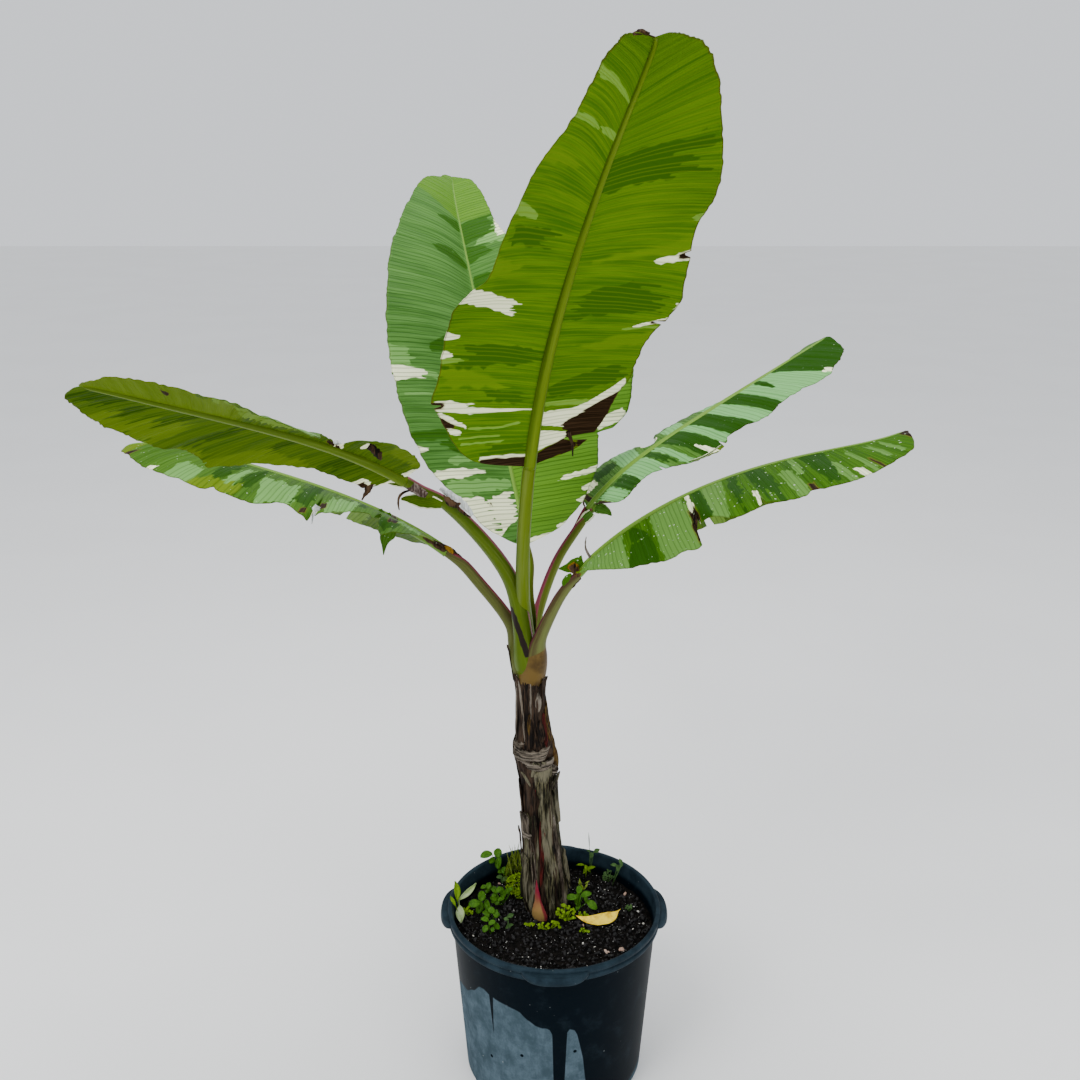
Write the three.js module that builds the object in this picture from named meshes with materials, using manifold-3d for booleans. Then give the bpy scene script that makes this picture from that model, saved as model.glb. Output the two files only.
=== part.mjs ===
import * as THREE from 'three';
import { mergeVertices } from 'three/addons/utils/BufferGeometryUtils.js';
import Module from 'manifold-3d';

// A young variegated banana plant in a nursery pot, in millimetres, +Z up.
// The origin is the centre of the pot's flat underside, and the plant is seen from -Y.
// X runs to the right of that view. The plant has one leaning false stem of dry sheaths,
// six leaf stalks that leave its head, and one big blade on each stalk.

const wasm = await Module();
wasm.setup();

// Gap that is kept between pieces that touch
const CLEARANCE = 0.3;

// The pot: a tapering tub with a rolled rim, a second ridge under it and four grips.
// "shoulder" is how far below the ridge its inside starts to widen to the rim.
const POT = {
  rimRadius: 178,
  height: 305,
  footRadius: 150,
  neckRadius: 170,
  wall: 3,
  floor: 4,
  rimWidth: 8,
  lipHeight: 9,
  ridgeHeight: 8,
  grooveHeight: 5,
  grooveDepth: 3,
  footRounding: 5,
  edgeRounding: 2,
  shoulder: 4,
  sides: 48,
};
const GRIP = {
  count: 4,
  reach: 11,
  halfAngle: 17,
  endReach: 0.5,
  depth: 16,
  endDepth: 8,
  rise: 3,
  rootDepth: 2,
  rounding: 1,
  squareness: 4,
  steps: 8,
};

// The potting soil, filled to a little under the rim, higher in the middle
const SOIL = { depthBelowRim: 38, crown: 4, inset: 1, crownShare: 0.9, crownSlope: 1.6, rings: 3 };

// The false stem: where its middle passes, and how thick its sheaths make it there
const STEM = {
  foot: [-12, 40],
  head: [-43, 40],
  top: 745,
  coreTop: 800,
  coreRadius: 13,
  coreShoulder: 15,
  coreStep: 1,
  // height above the soil as a share of the stem, and radius
  profile: [
    [0.00, 31], [0.05, 36], [0.14, 35.5], [0.30, 30.5], [0.42, 28], [0.53, 28],
    [0.60, 33], [0.64, 33.5], [0.68, 30], [0.77, 25], [0.88, 22.5], [1.00, 23],
  ],
  // overlapping sheaths: seven ripples round the stem on three broad ones, fainter higher up
  lobeDepth: 0.055,
  ripples: { count: 7, twist: 1.4 },
  waves: { count: 3, twist: -2, share: 0.6 },
  fading: 0.5,
  levels: 24,
  sides: 28,
};

// Leaf blades: shape rules that all six share
const BLADE = {
  curlPerMillimetre: 10 / 150,
  thicknessShare: 0.0115,
  rows: 30,
  rowGap: 5,
  ribTipRadius: 2.5,
  ribTop: 0.4,
  fleshBesideRib: 1.5,
  // shares of the blade's length between which the veins turn from one lean to the other
  leanTurn: [0.35, 0.85],
};

// Each leaf: the midrib runs through six control points, stalk and blade together.
// "stalk" is how much of that line is stalk, "facing" the compass way it grows in degrees
// from +X, "lobe" and "beyond" how far the blade reaches back past its base and past the
// rib's tip. The left side is on the left hand of someone who lies face down on the leaf and
// looks to its tip. On each side, "edge" pairs the place where a side vein leaves the midrib
// with the distance across at which it meets the margin, "folds" goes from base to tip and
// droops above zero, and "lean" is the veins' lean towards the tip in degrees, at base and tip.
// A tear opens the edge by "open" millimetres at a place, as far in as the distance "from".
// The stalk starts at "root" on the stem's head and passes through the points "via".
const LEAVES = {
  front: {
    rib: [[-45, 40, 795], [-55, -70, 985], [-50, -150, 1215], [20, -180, 1440],
      [115, -225, 1625], [95, -420, 1630]],
    stalk: 325, facing: -75, lobe: 3, beyond: 13,
    left: {
      edge: [[-3, 1], [0, 20], [12, 70], [27, 90], [60, 112], [108, 124], [134, 138], [150, 141],
        [200, 155], [240, 170], [267, 177], [285, 169], [320, 165], [384, 147], [420, 128],
        [445, 113], [480, 92], [520, 71], [560, 54], [600, 39], [640, 27], [680, 19], [698, 12],
        [703, 1]],
      folds: [-20, -20, -20, 10, -10], lean: [-2, 62],
    },
    right: {
      edge: [[-3, 1], [0, 20], [10, 70], [22, 100], [48, 128], [75, 142], [100, 160], [125, 157],
        [153, 154], [180, 156], [205, 159], [235, 171], [270, 173], [283, 157], [298, 162],
        [312, 170], [339, 167], [367, 156], [395, 139], [434, 104], [475, 80], [495, 70],
        [545, 50], [590, 38], [640, 28], [680, 19], [698, 12], [703, 1]],
      folds: [15, 0, 25, 20, -10], lean: [6, 66],
    },
    tears: [{ side: 'right', at: 103, open: 8, from: 136 }],
    root: [-48, 35, 802], via: [[-50, -4, 877], [-48, -43, 962]], rootRadius: 12, tipRadius: 7,
  },
  back: {
    rib: [[-25, 50, 810], [-45, 65, 930], [-95, 190, 1065], [-120, 320, 1245],
      [-175, 440, 1400], [-185, 585, 1450]],
    stalk: 125, facing: 108, lobe: 15, beyond: 8,
    left: {
      edge: [[-15, 1], [-13, 12], [4, 51], [26, 87], [68, 126], [90, 148], [110, 164], [138, 180],
        [182, 194], [243, 204], [326, 209], [382, 202], [426, 187], [460, 174], [504, 152],
        [549, 129], [599, 103], [632, 86], [665, 71], [699, 49], [724, 24], [744, 14], [751, 1]],
      folds: [-35, -40, -45, -40, -25], lean: [-6, 6],
    },
    right: {
      edge: [[-15, 1], [-13, 14], [1, 70], [20, 102], [43, 127], [70, 143], [93, 157], [126, 161],
        [142, 168], [150, 190], [181, 228], [220, 241], [250, 246], [300, 238], [360, 208],
        [420, 168], [480, 123], [520, 93], [548, 75], [579, 66], [598, 62], [632, 57], [659, 51],
        [707, 38], [737, 14], [751, 1]],
      folds: [15, -15, -25, -10, -15], lean: [6, 22],
    },
    tears: [{ side: 'right', at: 146, open: 10, from: 158 }],
    root: [-41, 47, 802], via: [[-42, 60, 850]], rootRadius: 10, tipRadius: 7,
  },
  left_upper: {
    rib: [[-45, 30, 770], [-80, 15, 990], [-260, -115, 1180], [-385, -360, 1181],
      [-505, -485, 1297], [-515, -505, 1285]],
    stalk: 410, facing: -128, lobe: 17, beyond: -12,
    left: {
      edge: [[-17, 20], [-10, 72], [0, 100], [22, 118], [50, 125], [75, 118], [92, 108], [104, 80],
        [112, 44], [130, 34], [150, 36], [162, 46], [172, 60], [185, 88], [200, 132], [220, 165],
        [240, 182], [256, 186], [272, 180], [290, 165], [305, 150], [322, 135], [340, 122],
        [360, 101], [380, 91], [400, 83], [420, 73], [452, 60], [480, 38], [497, 16], [507, 1]],
      folds: [-5, -15, -10, -15, -20], lean: [30, 45],
    },
    right: {
      edge: [[-17, 1], [-14, 14], [0, 53], [22, 57], [44, 62], [61, 65], [86, 70], [100, 76],
        [127, 92], [150, 101], [166, 110], [194, 126], [205, 132], [222, 123], [238, 118],
        [262, 111], [283, 114], [311, 111], [338, 100], [383, 88], [411, 76], [444, 61], [472, 46],
        [488, 34], [500, 16], [507, 1]],
      folds: [30, 20, 20, 20, 20], lean: [6, 20],
    },
    tears: [{ side: 'left', at: 52, open: 16, from: 40 }],
    root: [-46, 28, 747], via: [[-68, 10, 880], [-160, -72, 1030]], rootRadius: 14, tipRadius: 7,
  },
  left_lower: {
    rib: [[-60, 45, 745], [-90, 50, 905], [-230, 90, 985], [-450, 70, 1035],
      [-610, 5, 1125], [-640, 0, 1090]],
    stalk: 205, facing: 183, lobe: 2, beyond: 3,
    left: {
      edge: [[-2, 1], [10, 30], [25, 52], [38, 70], [57, 118], [70, 135], [80, 146], [100, 140],
        [109, 118], [114, 90], [119, 128], [127, 112], [135, 118], [152, 134], [180, 140],
        [200, 148], [207, 158], [213, 160], [222, 154], [233, 140], [249, 129], [258, 140],
        [274, 148], [302, 137], [318, 128], [322, 122], [327, 134], [347, 126], [363, 112],
        [380, 104], [408, 90], [447, 65], [460, 55], [480, 38], [500, 20], [510, 12], [521, 1]],
      folds: [-20, -20, -10, -5, 5], lean: [6, 40],
    },
    right: {
      edge: [[-2, 1], [8, 40], [40, 107], [80, 138], [120, 143], [200, 145], [280, 139],
        [320, 130], [360, 114], [400, 90], [440, 63], [480, 33], [521, 1]],
      folds: [20, 20, 20, 20, 20], lean: [6, 40],
    },
    tears: [
      { side: 'left', at: 113, open: 12, from: 80 },
      { side: 'left', at: 203, open: 6, from: 112 },
      { side: 'right', at: 150, open: 10, from: 90 },
    ],
    root: [-56, 44, 747], via: [[-70, 48, 795], [-121, 55, 863]], rootRadius: 11, tipRadius: 7,
  },
  right_upper: {
    rib: [[-30, 50, 755], [20, 240, 900], [60, 270, 965], [165, 240, 1030],
      [295, 290, 1104], [480, 400, 1190]],
    stalk: 270, facing: 36, lobe: 5, beyond: 2,
    left: {
      edge: [[-5, 1], [4, 30], [20, 70], [40, 100], [80, 128], [120, 138], [133, 124], [137, 70],
        [150, 48], [166, 90], [172, 150], [200, 162], [240, 158], [280, 150], [320, 140],
        [360, 130], [400, 121], [440, 105], [480, 78], [515, 24], [530, 1]],
      folds: [5, 15, 20, 30, 20], lean: [4, 10],
    },
    right: {
      edge: [[-5, 1], [4, 14], [10, 50], [20, 82], [38, 93], [71, 92], [96, 98], [112, 114],
        [132, 131], [155, 140], [171, 143], [191, 145], [206, 138], [212, 134], [220, 125],
        [238, 125], [260, 128], [282, 126], [305, 117], [321, 113], [343, 112], [377, 118],
        [399, 120], [421, 108], [443, 96], [466, 84], [488, 68], [500, 52], [512, 32], [522, 16],
        [530, 1]],
      folds: [-20, -25, -15, -10, -5], lean: [6, 12],
    },
    tears: [{ side: 'right', at: 206, open: 4, from: 118 }],
    root: [-38, 55, 747], via: [[-32, 86, 783], [3, 168, 857]], rootRadius: 12, tipRadius: 7.5,
  },
  right_lower: {
    rib: [[-20, 20, 740], [-25, 5, 890], [95, -10, 990], [265, -20, 1100],
      [400, -65, 1091], [505, -20, 1121]],
    stalk: 170, facing: -4, lobe: 1, beyond: 4,
    left: {
      edge: [[-1, 1], [8, 30], [40, 71], [80, 104], [120, 125], [160, 138], [200, 147], [240, 150],
        [280, 148], [320, 145], [360, 138], [400, 127], [440, 108], [480, 79], [520, 34],
        [548, 1]],
      folds: [30, 30, 30, 30, 30], lean: [-6, 15],
    },
    right: {
      edge: [[-1, 1], [2, 18], [8, 43], [20, 58], [40, 82], [60, 101], [80, 116], [97, 124],
        [125, 132], [147, 140], [175, 146], [199, 152], [203, 112], [212, 116], [225, 127],
        [236, 134], [253, 146], [275, 152], [290, 147], [292, 140], [295, 146], [325, 137],
        [342, 127], [356, 115], [369, 118], [386, 121], [403, 116], [431, 103], [447, 96],
        [470, 82], [492, 68], [508, 50], [520, 34], [535, 12], [548, 1]],
      folds: [-10, 5, -5, 0, 0], lean: [6, 15],
    },
    tears: [
      { side: 'right', at: 205, open: 10, from: 78 },
      { side: 'right', at: 292, open: 4, from: 124 },
      { side: 'left', at: 215, open: 12, from: 90 },
    ],
    root: [-31, 24, 747], via: [[-26, 16, 777], [3, 8, 847]], rootRadius: 13, tipRadius: 6.5,
  },
};

// Stalks are cut clear of those that wrap round them, outermost first
const STALK_ORDER = ['right_lower', 'left_lower', 'right_upper', 'left_upper', 'front', 'back'];
const STALK = { sides: 12, steps: 12, channel: 0.62, taper: 0.6, join: 30 };

// Dry pieces on the stem: a sheath tongue, a cut stalk's stub and the young shoot at its foot.
// Each has its height above the stem's foot, its compass way, its length and its half width.
// All of them thin out to the tip and to both edges, in the shares that SCALE_FORM gives.
const SCALE_FORM = { steps: 5, least: 1.5, taperPower: 3, tipThinning: 0.6, edgeThinning: 0.35 };
const SCALES = {
  sheath_tongue: {
    above: 262, way: -14, length: 100, halfWidth: 11, thickness: 5, stand: -3, lean: 3,
  },
  stalk_stub: {
    above: 238, way: -22, length: 36, halfWidth: 9, thickness: 9, stand: 0, lean: 3,
  },
  foot_shoot: {
    above: 0, way: -108, length: 66, halfWidth: 10, thickness: 8, stand: 1, lean: -4,
  },
};

const SOIL_TOP = POT.height - SOIL.depthBelowRim;
const STEM_FOOT = SOIL_TOP + SOIL.crown + CLEARANCE;

const DEGREE = Math.PI / 180;
const UP = new THREE.Vector3(0, 0, 1);
const SIDES = ['left', 'right'];

// Builds one closed body from rings of points that all have the same count.
// Every ring goes round the same way, counter-clockwise seen from the last ring.
function loft(rings) {
  const count = rings[0].length;
  const positions = rings.flat().flatMap((p) => [p.x, p.y, p.z]);
  const index = [];
  for (let r = 0; r + 1 < rings.length; r += 1) {
    for (let i = 0; i < count; i += 1) {
      const j = (i + 1) % count;
      const [a, b] = [r * count + i, r * count + j];
      index.push(a, b, b + count, a, b + count, a + count);
    }
  }
  const last = (rings.length - 1) * count;
  for (const cap of THREE.ShapeUtils.triangulateShape(flatten(rings[0]), [])) {
    index.push(cap[2], cap[1], cap[0]);
  }
  for (const cap of THREE.ShapeUtils.triangulateShape(flatten(rings.at(-1)), [])) {
    index.push(last + cap[0], last + cap[1], last + cap[2]);
  }
  const geometry = new THREE.BufferGeometry();
  geometry.setAttribute('position', new THREE.Float32BufferAttribute(positions, 3));
  geometry.setIndex(index);
  return geometry;
}

// Lays a nearly flat ring out in two dimensions, counter-clockwise, to cap it
function flatten(ring) {
  const centre = ring.reduce((sum, p) => sum.add(p), new THREE.Vector3()).divideScalar(ring.length);
  const normal = new THREE.Vector3();
  ring.forEach((p, i) => {
    const next = ring[(i + 1) % ring.length];
    const toNext = next.clone().sub(centre);
    normal.add(p.clone().sub(centre).cross(toNext));
  });
  normal.normalize();
  const across = new THREE.Vector3().crossVectors(normal, Math.abs(normal.z) > 0.9
    ? new THREE.Vector3(1, 0, 0) : UP).normalize();
  const along = new THREE.Vector3().crossVectors(normal, across);
  return ring.map((p) => {
    const d = p.clone().sub(centre);
    return new THREE.Vector2(d.dot(across), d.dot(along));
  });
}

// Joins the points that coincide and drops the faces that this leaves without an area
function welded(geometry) {
  const bare = geometry.clone();
  bare.deleteAttribute('normal');
  bare.deleteAttribute('uv');
  const merged = mergeVertices(bare, 1e-4);
  const faces = [];
  for (let i = 0; i < merged.index.count; i += 3) {
    const [a, b, c] = [0, 1, 2].map((k) => merged.index.getX(i + k));
    if (a !== b && b !== c && c !== a) faces.push(a, b, c);
  }
  merged.setIndex(faces);
  return merged;
}

function toSolid(geometry) {
  const merged = welded(geometry);
  return new wasm.Manifold(new wasm.Mesh({
    numProp: 3,
    vertProperties: new Float32Array(merged.attributes.position.array),
    triVerts: new Uint32Array(merged.index.array),
  }));
}

function toGeometry(solid) {
  const { vertProperties, triVerts } = solid.getMesh();
  const geometry = new THREE.BufferGeometry();
  geometry.setAttribute('position', new THREE.BufferAttribute(vertProperties, 3));
  geometry.setIndex(new THREE.BufferAttribute(triVerts, 1));
  return geometry;
}

// Keeps the largest of the bodies that a cut leaves
function largestBody(solid) {
  return solid.decompose().sort((a, b) => b.volume() - a.volume())[0];
}

function polar(radius, angle, height, centre = [0, 0]) {
  return new THREE.Vector3(
    centre[0] + radius * Math.cos(angle),
    centre[1] + radius * Math.sin(angle),
    height,
  );
}

// Straight-line value of a list of [position, value] pairs
function along(pairs, position) {
  const i = Math.max(1, pairs.findIndex(([x]) => x >= position));
  const [[x0, y0], [x1, y1]] = [pairs[i - 1], pairs[i]];
  return y0 + (y1 - y0) * THREE.MathUtils.clamp((position - x0) / (x1 - x0), 0, 1);
}

// A smooth curve through values at given stations that never overshoots them
class SmoothProfile {
  constructor(stations, values) {
    this.stations = stations;
    this.values = values;
    const steps = stations.slice(1).map((x, i) => x - stations[i]);
    const rises = steps.map((h, i) => (values[i + 1] - values[i]) / h);
    this.slopes = values.map((_, i) => {
      if (i === 0) return SmoothProfile.endSlope(steps[0], steps[1], rises[0], rises[1]);
      if (i === rises.length) {
        return SmoothProfile.endSlope(steps.at(-1), steps.at(-2), rises.at(-1), rises.at(-2));
      }
      if (rises[i - 1] * rises[i] <= 0) return 0;
      const before = 2 * steps[i] + steps[i - 1];
      const after = steps[i] + 2 * steps[i - 1];
      return (before + after) / (before / rises[i - 1] + after / rises[i]);
    });
  }

  static endSlope(near, far, nearRise, farRise) {
    const slope = ((2 * near + far) * nearRise - near * farRise) / (near + far);
    if (slope * nearRise <= 0) return 0;
    if (nearRise * farRise < 0 && Math.abs(slope) > 3 * Math.abs(nearRise)) return 3 * nearRise;
    return slope;
  }

  at(x) {
    const last = this.stations.length - 1;
    if (x <= this.stations[0]) return this.values[0];
    if (x >= this.stations[last]) return this.values[last];
    const i = this.stations.findIndex((station) => station > x) - 1;
    const h = this.stations[i + 1] - this.stations[i];
    const u = (x - this.stations[i]) / h;
    const [v0, v1] = [this.values[i], this.values[i + 1]];
    const [m0, m1] = [this.slopes[i] * h, this.slopes[i + 1] * h];
    return v0 * (1 + 2 * u) * (1 - u) ** 2 + m0 * u * (1 - u) ** 2
      + v1 * u * u * (3 - 2 * u) + m1 * u * u * (u - 1);
  }
}

// A curve drawn by control points, of any degree
class Midrib extends THREE.Curve {
  constructor(controls) {
    super();
    this.controls = controls.map((p) => new THREE.Vector3(...p));
    this.arcLengthDivisions = 400;
  }

  getPoint(t, target = new THREE.Vector3()) {
    let points = this.controls;
    while (points.length > 1) {
      points = points.slice(1).map((p, i) => points[i].clone().lerp(p, t));
    }
    return target.copy(points[0]);
  }
}

// The blade's surface: s is the distance from the blade's base along the midrib,
// t the distance from the midrib across the blade on one side
class LeafSurface {
  constructor(spec) {
    this.spec = spec;
    this.curve = new Midrib(spec.rib);
    this.total = this.curve.getLength();
    this.blade = this.total - spec.stalk;
    this.thickness = BLADE.thicknessShare * (this.blade + spec.lobe + spec.beyond);
    const facing = spec.facing * DEGREE;
    this.level = new THREE.Vector3().crossVectors(
      UP,
      new THREE.Vector3(Math.cos(facing), Math.sin(facing), 0),
    );
    this.edges = {};
    for (const side of SIDES) {
      const { edge } = spec[side];
      this.edges[side] = new SmoothProfile(edge.map(([place]) => place), edge.map(([, t]) => t));
    }
  }

  get from() { return -this.spec.lobe; }

  get to() { return this.blade + this.spec.beyond; }

  share(s) { return (s - this.from) / (this.to - this.from); }

  frame(s) {
    const distance = this.spec.stalk + s;
    const inside = THREE.MathUtils.clamp(distance, 0, this.total);
    const u = inside / this.total;
    const tangent = this.curve.getTangentAt(u);
    const middle = this.curve.getPointAt(u).addScaledVector(tangent, distance - inside);
    const across = this.level.clone().addScaledVector(tangent, -tangent.dot(this.level)).normalize();
    const up = new THREE.Vector3().crossVectors(tangent, across);
    return { middle, tangent, across, up };
  }

  fold(s, t, side) {
    const { folds } = this.spec[side];
    const place = THREE.MathUtils.clamp(s / this.blade, 0, 1) * (folds.length - 1);
    const i = Math.min(Math.floor(place), folds.length - 2);
    const angle = folds[i] + (folds[i + 1] - folds[i]) * (place - i);
    return (angle + BLADE.curlPerMillimetre * t) * DEGREE;
  }

  // A point on the blade, lifted off its middle layer by "lift"
  point(s, t, side, lift = 0) {
    const { middle, across, up } = this.frame(s);
    const hand = side === 'left' ? 1 : -1;
    const angle = this.fold(s, t, side);
    const outward = across.clone().multiplyScalar(hand * Math.cos(angle))
      .addScaledVector(up, -Math.sin(angle));
    const level = t > 0 ? angle : 0;
    const normal = across.clone().multiplyScalar(hand * Math.sin(level))
      .addScaledVector(up, Math.cos(level));
    return middle.clone().addScaledVector(outward, t).addScaledVector(normal, lift);
  }

  // How far the blade runs along the midrib for each millimetre that a side vein runs across
  slant(place, side) {
    const [base, tip] = this.spec[side].lean;
    const turned = THREE.MathUtils.smoothstep(this.share(place), ...BLADE.leanTurn);
    return Math.tan((base + (tip - base) * turned) * DEGREE);
  }

  // Distance across at which the side vein that leaves the midrib at a place meets the edge
  reach(place, side) {
    const whole = this.edges[side].at(place);
    const torn = this.spec.tears.filter((tear) => tear.side === side).map((tear) => {
      const away = Math.min(1, Math.abs(place - tear.at) / (tear.open / 2));
      return tear.from + (whole - tear.from) * away;
    });
    return Math.min(whole, ...torn);
  }

  // A point at distance t across on the side vein that leaves the midrib at a place. No vein
  // runs back past the blade's base, where the stalk ends.
  onVein(place, t, side, lift) {
    const s = Math.max(this.from, place + t * this.slant(place, side));
    return this.point(s, t, side, lift);
  }

  // Where the rows of the mesh leave the midrib: evenly along rib and edge taken together,
  // with a row at the middle and at both shoulders of every tear
  rowPlaces() {
    const samples = 300;
    const travel = [[0, this.from]];
    const endsAt = (place) => SIDES.map((side) => this.onVein(
      place,
      this.edges[side].at(place),
      side,
    ));
    let before = endsAt(this.from);
    for (let i = 1; i <= samples; i += 1) {
      const place = this.from + (this.to - this.from) * (i / samples);
      const [run, last] = travel.at(-1);
      const ends = endsAt(place);
      const step = (place - last) * 2 + ends[0].distanceTo(before[0]) + ends[1].distanceTo(before[1]);
      travel.push([run + step, place]);
      before = ends;
    }
    const whole = travel.at(-1)[0];
    const even = Array.from({ length: BLADE.rows }, (_, i) => along(
      travel,
      whole * (i / (BLADE.rows - 1)),
    ));
    const tears = this.spec.tears.flatMap(({ at, open }) => [at - open / 2, at, at + open / 2]);
    const kept = even.filter((place, i) => i === 0 || i === even.length - 1
      || tears.every((tear) => Math.abs(tear - place) > BLADE.rowGap));
    return [...kept, ...tears].sort((a, b) => a - b);
  }

  // Half thickness of the midrib at s
  ribRadius(s) {
    const x = this.share(s);
    return this.spec.tipRadius + (BLADE.ribTipRadius - this.spec.tipRadius) * x;
  }
}

// Blade and midrib as one solid: rings from base to tip, each of two sides' veins
function bladeGeometry(surface) {
  const half = surface.thickness / 2;
  const rings = surface.rowPlaces().map((place) => {
    const radius = surface.ribRadius(place);
    const upper = [];
    const lower = [];
    for (const side of SIDES) {
      const reach = Math.max(surface.reach(place, side), radius + BLADE.fleshBesideRib);
      const distances = [radius, (radius + reach) / 2, reach];
      upper.push(distances.map((t) => surface.onVein(place, t, side, half)));
      lower.push(distances.map((t) => surface.onVein(place, t, side, -half)));
    }
    const top = surface.point(place, 0, 'left', half * BLADE.ribTop);
    const keel = surface.point(place, 0, 'left', -half - radius);
    return [
      keel, ...lower[0], ...upper[0].reverse(), top, ...upper[1], ...lower[1].reverse(),
    ];
  });
  return loft(rings);
}

// The line a stalk follows: up from its root on the stem, into the midrib's own line
class StalkLine {
  constructor(surface) {
    const { spec } = surface;
    this.surface = surface;
    const end = surface.from - CLEARANCE;
    const points = [spec.root, ...spec.via].map((p) => new THREE.Vector3(...p));
    points.push(surface.frame(end - STALK.join).middle, surface.frame(end).middle);
    this.curve = new THREE.CatmullRomCurve3(points, false, 'centripetal');
  }

  // A tapering stalk with a shallow channel on its upper side, grown by "extra" all round
  geometry(extra = 0) {
    const { spec, level } = this.surface;
    const rings = [];
    for (let k = 0; k <= STALK.steps; k += 1) {
      const u = k / STALK.steps;
      const tangent = k === STALK.steps ? this.surface.frame(this.surface.from).tangent
        : this.curve.getTangentAt(u);
      const pastEnd = (k === STALK.steps) - (k === 0);
      const centre = this.curve.getPointAt(u).addScaledVector(tangent, extra * pastEnd);
      const across = level.clone().addScaledVector(tangent, -tangent.dot(level)).normalize();
      const up = new THREE.Vector3().crossVectors(tangent, across);
      const radius = THREE.MathUtils.lerp(spec.rootRadius, spec.tipRadius, u ** STALK.taper)
        + extra;
      const ring = [];
      for (let i = 0; i < STALK.sides; i += 1) {
        const angle = (i / STALK.sides) * 2 * Math.PI;
        const lift = Math.sin(angle);
        ring.push(centre.clone()
          .addScaledVector(across, radius * Math.cos(angle))
          .addScaledVector(up, radius * lift * (lift > 0 ? STALK.channel : 1)));
      }
      rings.push(ring);
    }
    return loft(rings);
  }
}

// Middle of the stem at a height
function stemAxis(height) {
  const share = (height - SOIL_TOP) / (STEM.top - SOIL_TOP);
  return [0, 1].map((i) => STEM.foot[i] + (STEM.head[i] - STEM.foot[i]) * share);
}

// Stem radius at a height and compass angle: overlapping sheaths make shallow lobes
function stemRadius(height, angle) {
  const share = (height - SOIL_TOP) / (STEM.top - SOIL_TOP);
  const smooth = along(STEM.profile, THREE.MathUtils.clamp(share, 0, 1));
  const { ripples, waves } = STEM;
  const relief = Math.cos(ripples.count * angle + ripples.twist * Math.PI * share)
    + waves.share * Math.cos(waves.count * angle + waves.twist * Math.PI * share);
  return smooth * (1 + STEM.lobeDepth * relief * (1 - STEM.fading * share));
}

function stemGeometry(extra = 0) {
  const rings = [];
  const ringAt = (height, radiusAt) => Array.from({ length: STEM.sides }, (_, i) => {
    const angle = (i / STEM.sides) * 2 * Math.PI;
    return polar(radiusAt(angle) + extra, angle, height, stemAxis(height));
  });
  const foot = STEM_FOOT - extra;
  for (let k = 0; k <= STEM.levels; k += 1) {
    const height = foot + (STEM.top + extra - foot) * (k / STEM.levels);
    rings.push(ringAt(height, (angle) => stemRadius(height, angle)));
  }
  rings.push(ringAt(STEM.top + extra + STEM.coreStep, () => STEM.coreShoulder));
  rings.push(ringAt(STEM.coreTop + extra, () => STEM.coreRadius));
  return loft(rings);
}

// A dry tongue or shoot that hugs the stem: a thin tapering plate bent to the stem's round
function scaleGeometry(scale) {
  const { steps, least, taperPower, tipThinning, edgeThinning } = SCALE_FORM;
  const way = scale.way * DEGREE;
  const rings = [];
  for (let k = 0; k <= steps; k += 1) {
    const u = k / steps;
    const height = STEM_FOOT + scale.above + scale.length * u;
    const inner = stemRadius(height, way) + scale.stand + scale.lean * u;
    const spread = Math.max(scale.halfWidth * (1 - u ** taperPower), least) / inner;
    const thick = Math.max(scale.thickness * (1 - tipThinning * u), least);
    const centre = stemAxis(height);
    const at = (radius, offset) => polar(radius, way + spread * offset, height, centre);
    rings.push([
      at(inner + thick * (1 - edgeThinning), -1),
      at(inner + thick, 0),
      at(inner + thick * (1 - edgeThinning), 1),
      at(inner, 1),
      at(inner, 0),
      at(inner, -1),
    ]);
  }
  return loft(rings);
}

// Height at which the pot's ridge begins, over its plain tapering wall
const RIDGE_FOOT = POT.height - POT.lipHeight - POT.grooveHeight - POT.ridgeHeight;

function potGeometry() {
  const {
    rimRadius, height, footRadius, neckRadius, wall, floor, rimWidth, footRounding,
    edgeRounding: edge,
  } = POT;
  const lipFoot = height - POT.lipHeight;
  const grooveFoot = lipFoot - POT.grooveHeight;
  const grooveRadius = rimRadius - POT.grooveDepth;
  const profile = [
    [0, 0],
    [footRadius - footRounding, 0],
    [footRadius, footRounding],
    [neckRadius, RIDGE_FOOT - edge],
    [rimRadius - edge, RIDGE_FOOT],
    [rimRadius - edge / 2, grooveFoot],
    [grooveRadius, grooveFoot + edge / 2],
    [grooveRadius, lipFoot - edge / 2],
    [rimRadius, lipFoot],
    [rimRadius, height - edge],
    [rimRadius - edge, height],
    [rimRadius - rimWidth + edge / 2, height],
    [rimRadius - rimWidth, height - edge],
    [neckRadius - wall, RIDGE_FOOT - POT.shoulder],
    [footRadius - wall, floor],
    [0, floor],
  ];
  const tub = new THREE.LatheGeometry(
    profile.map(([r, z]) => new THREE.Vector2(r, z)),
    POT.sides,
  );
  tub.rotateX(Math.PI / 2);
  let pot = toSolid(tub);
  for (let i = 0; i < GRIP.count; i += 1) {
    pot = pot.add(toSolid(gripGeometry((i / GRIP.count) * 2 * Math.PI)));
  }
  return toGeometry(pot);
}

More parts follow.
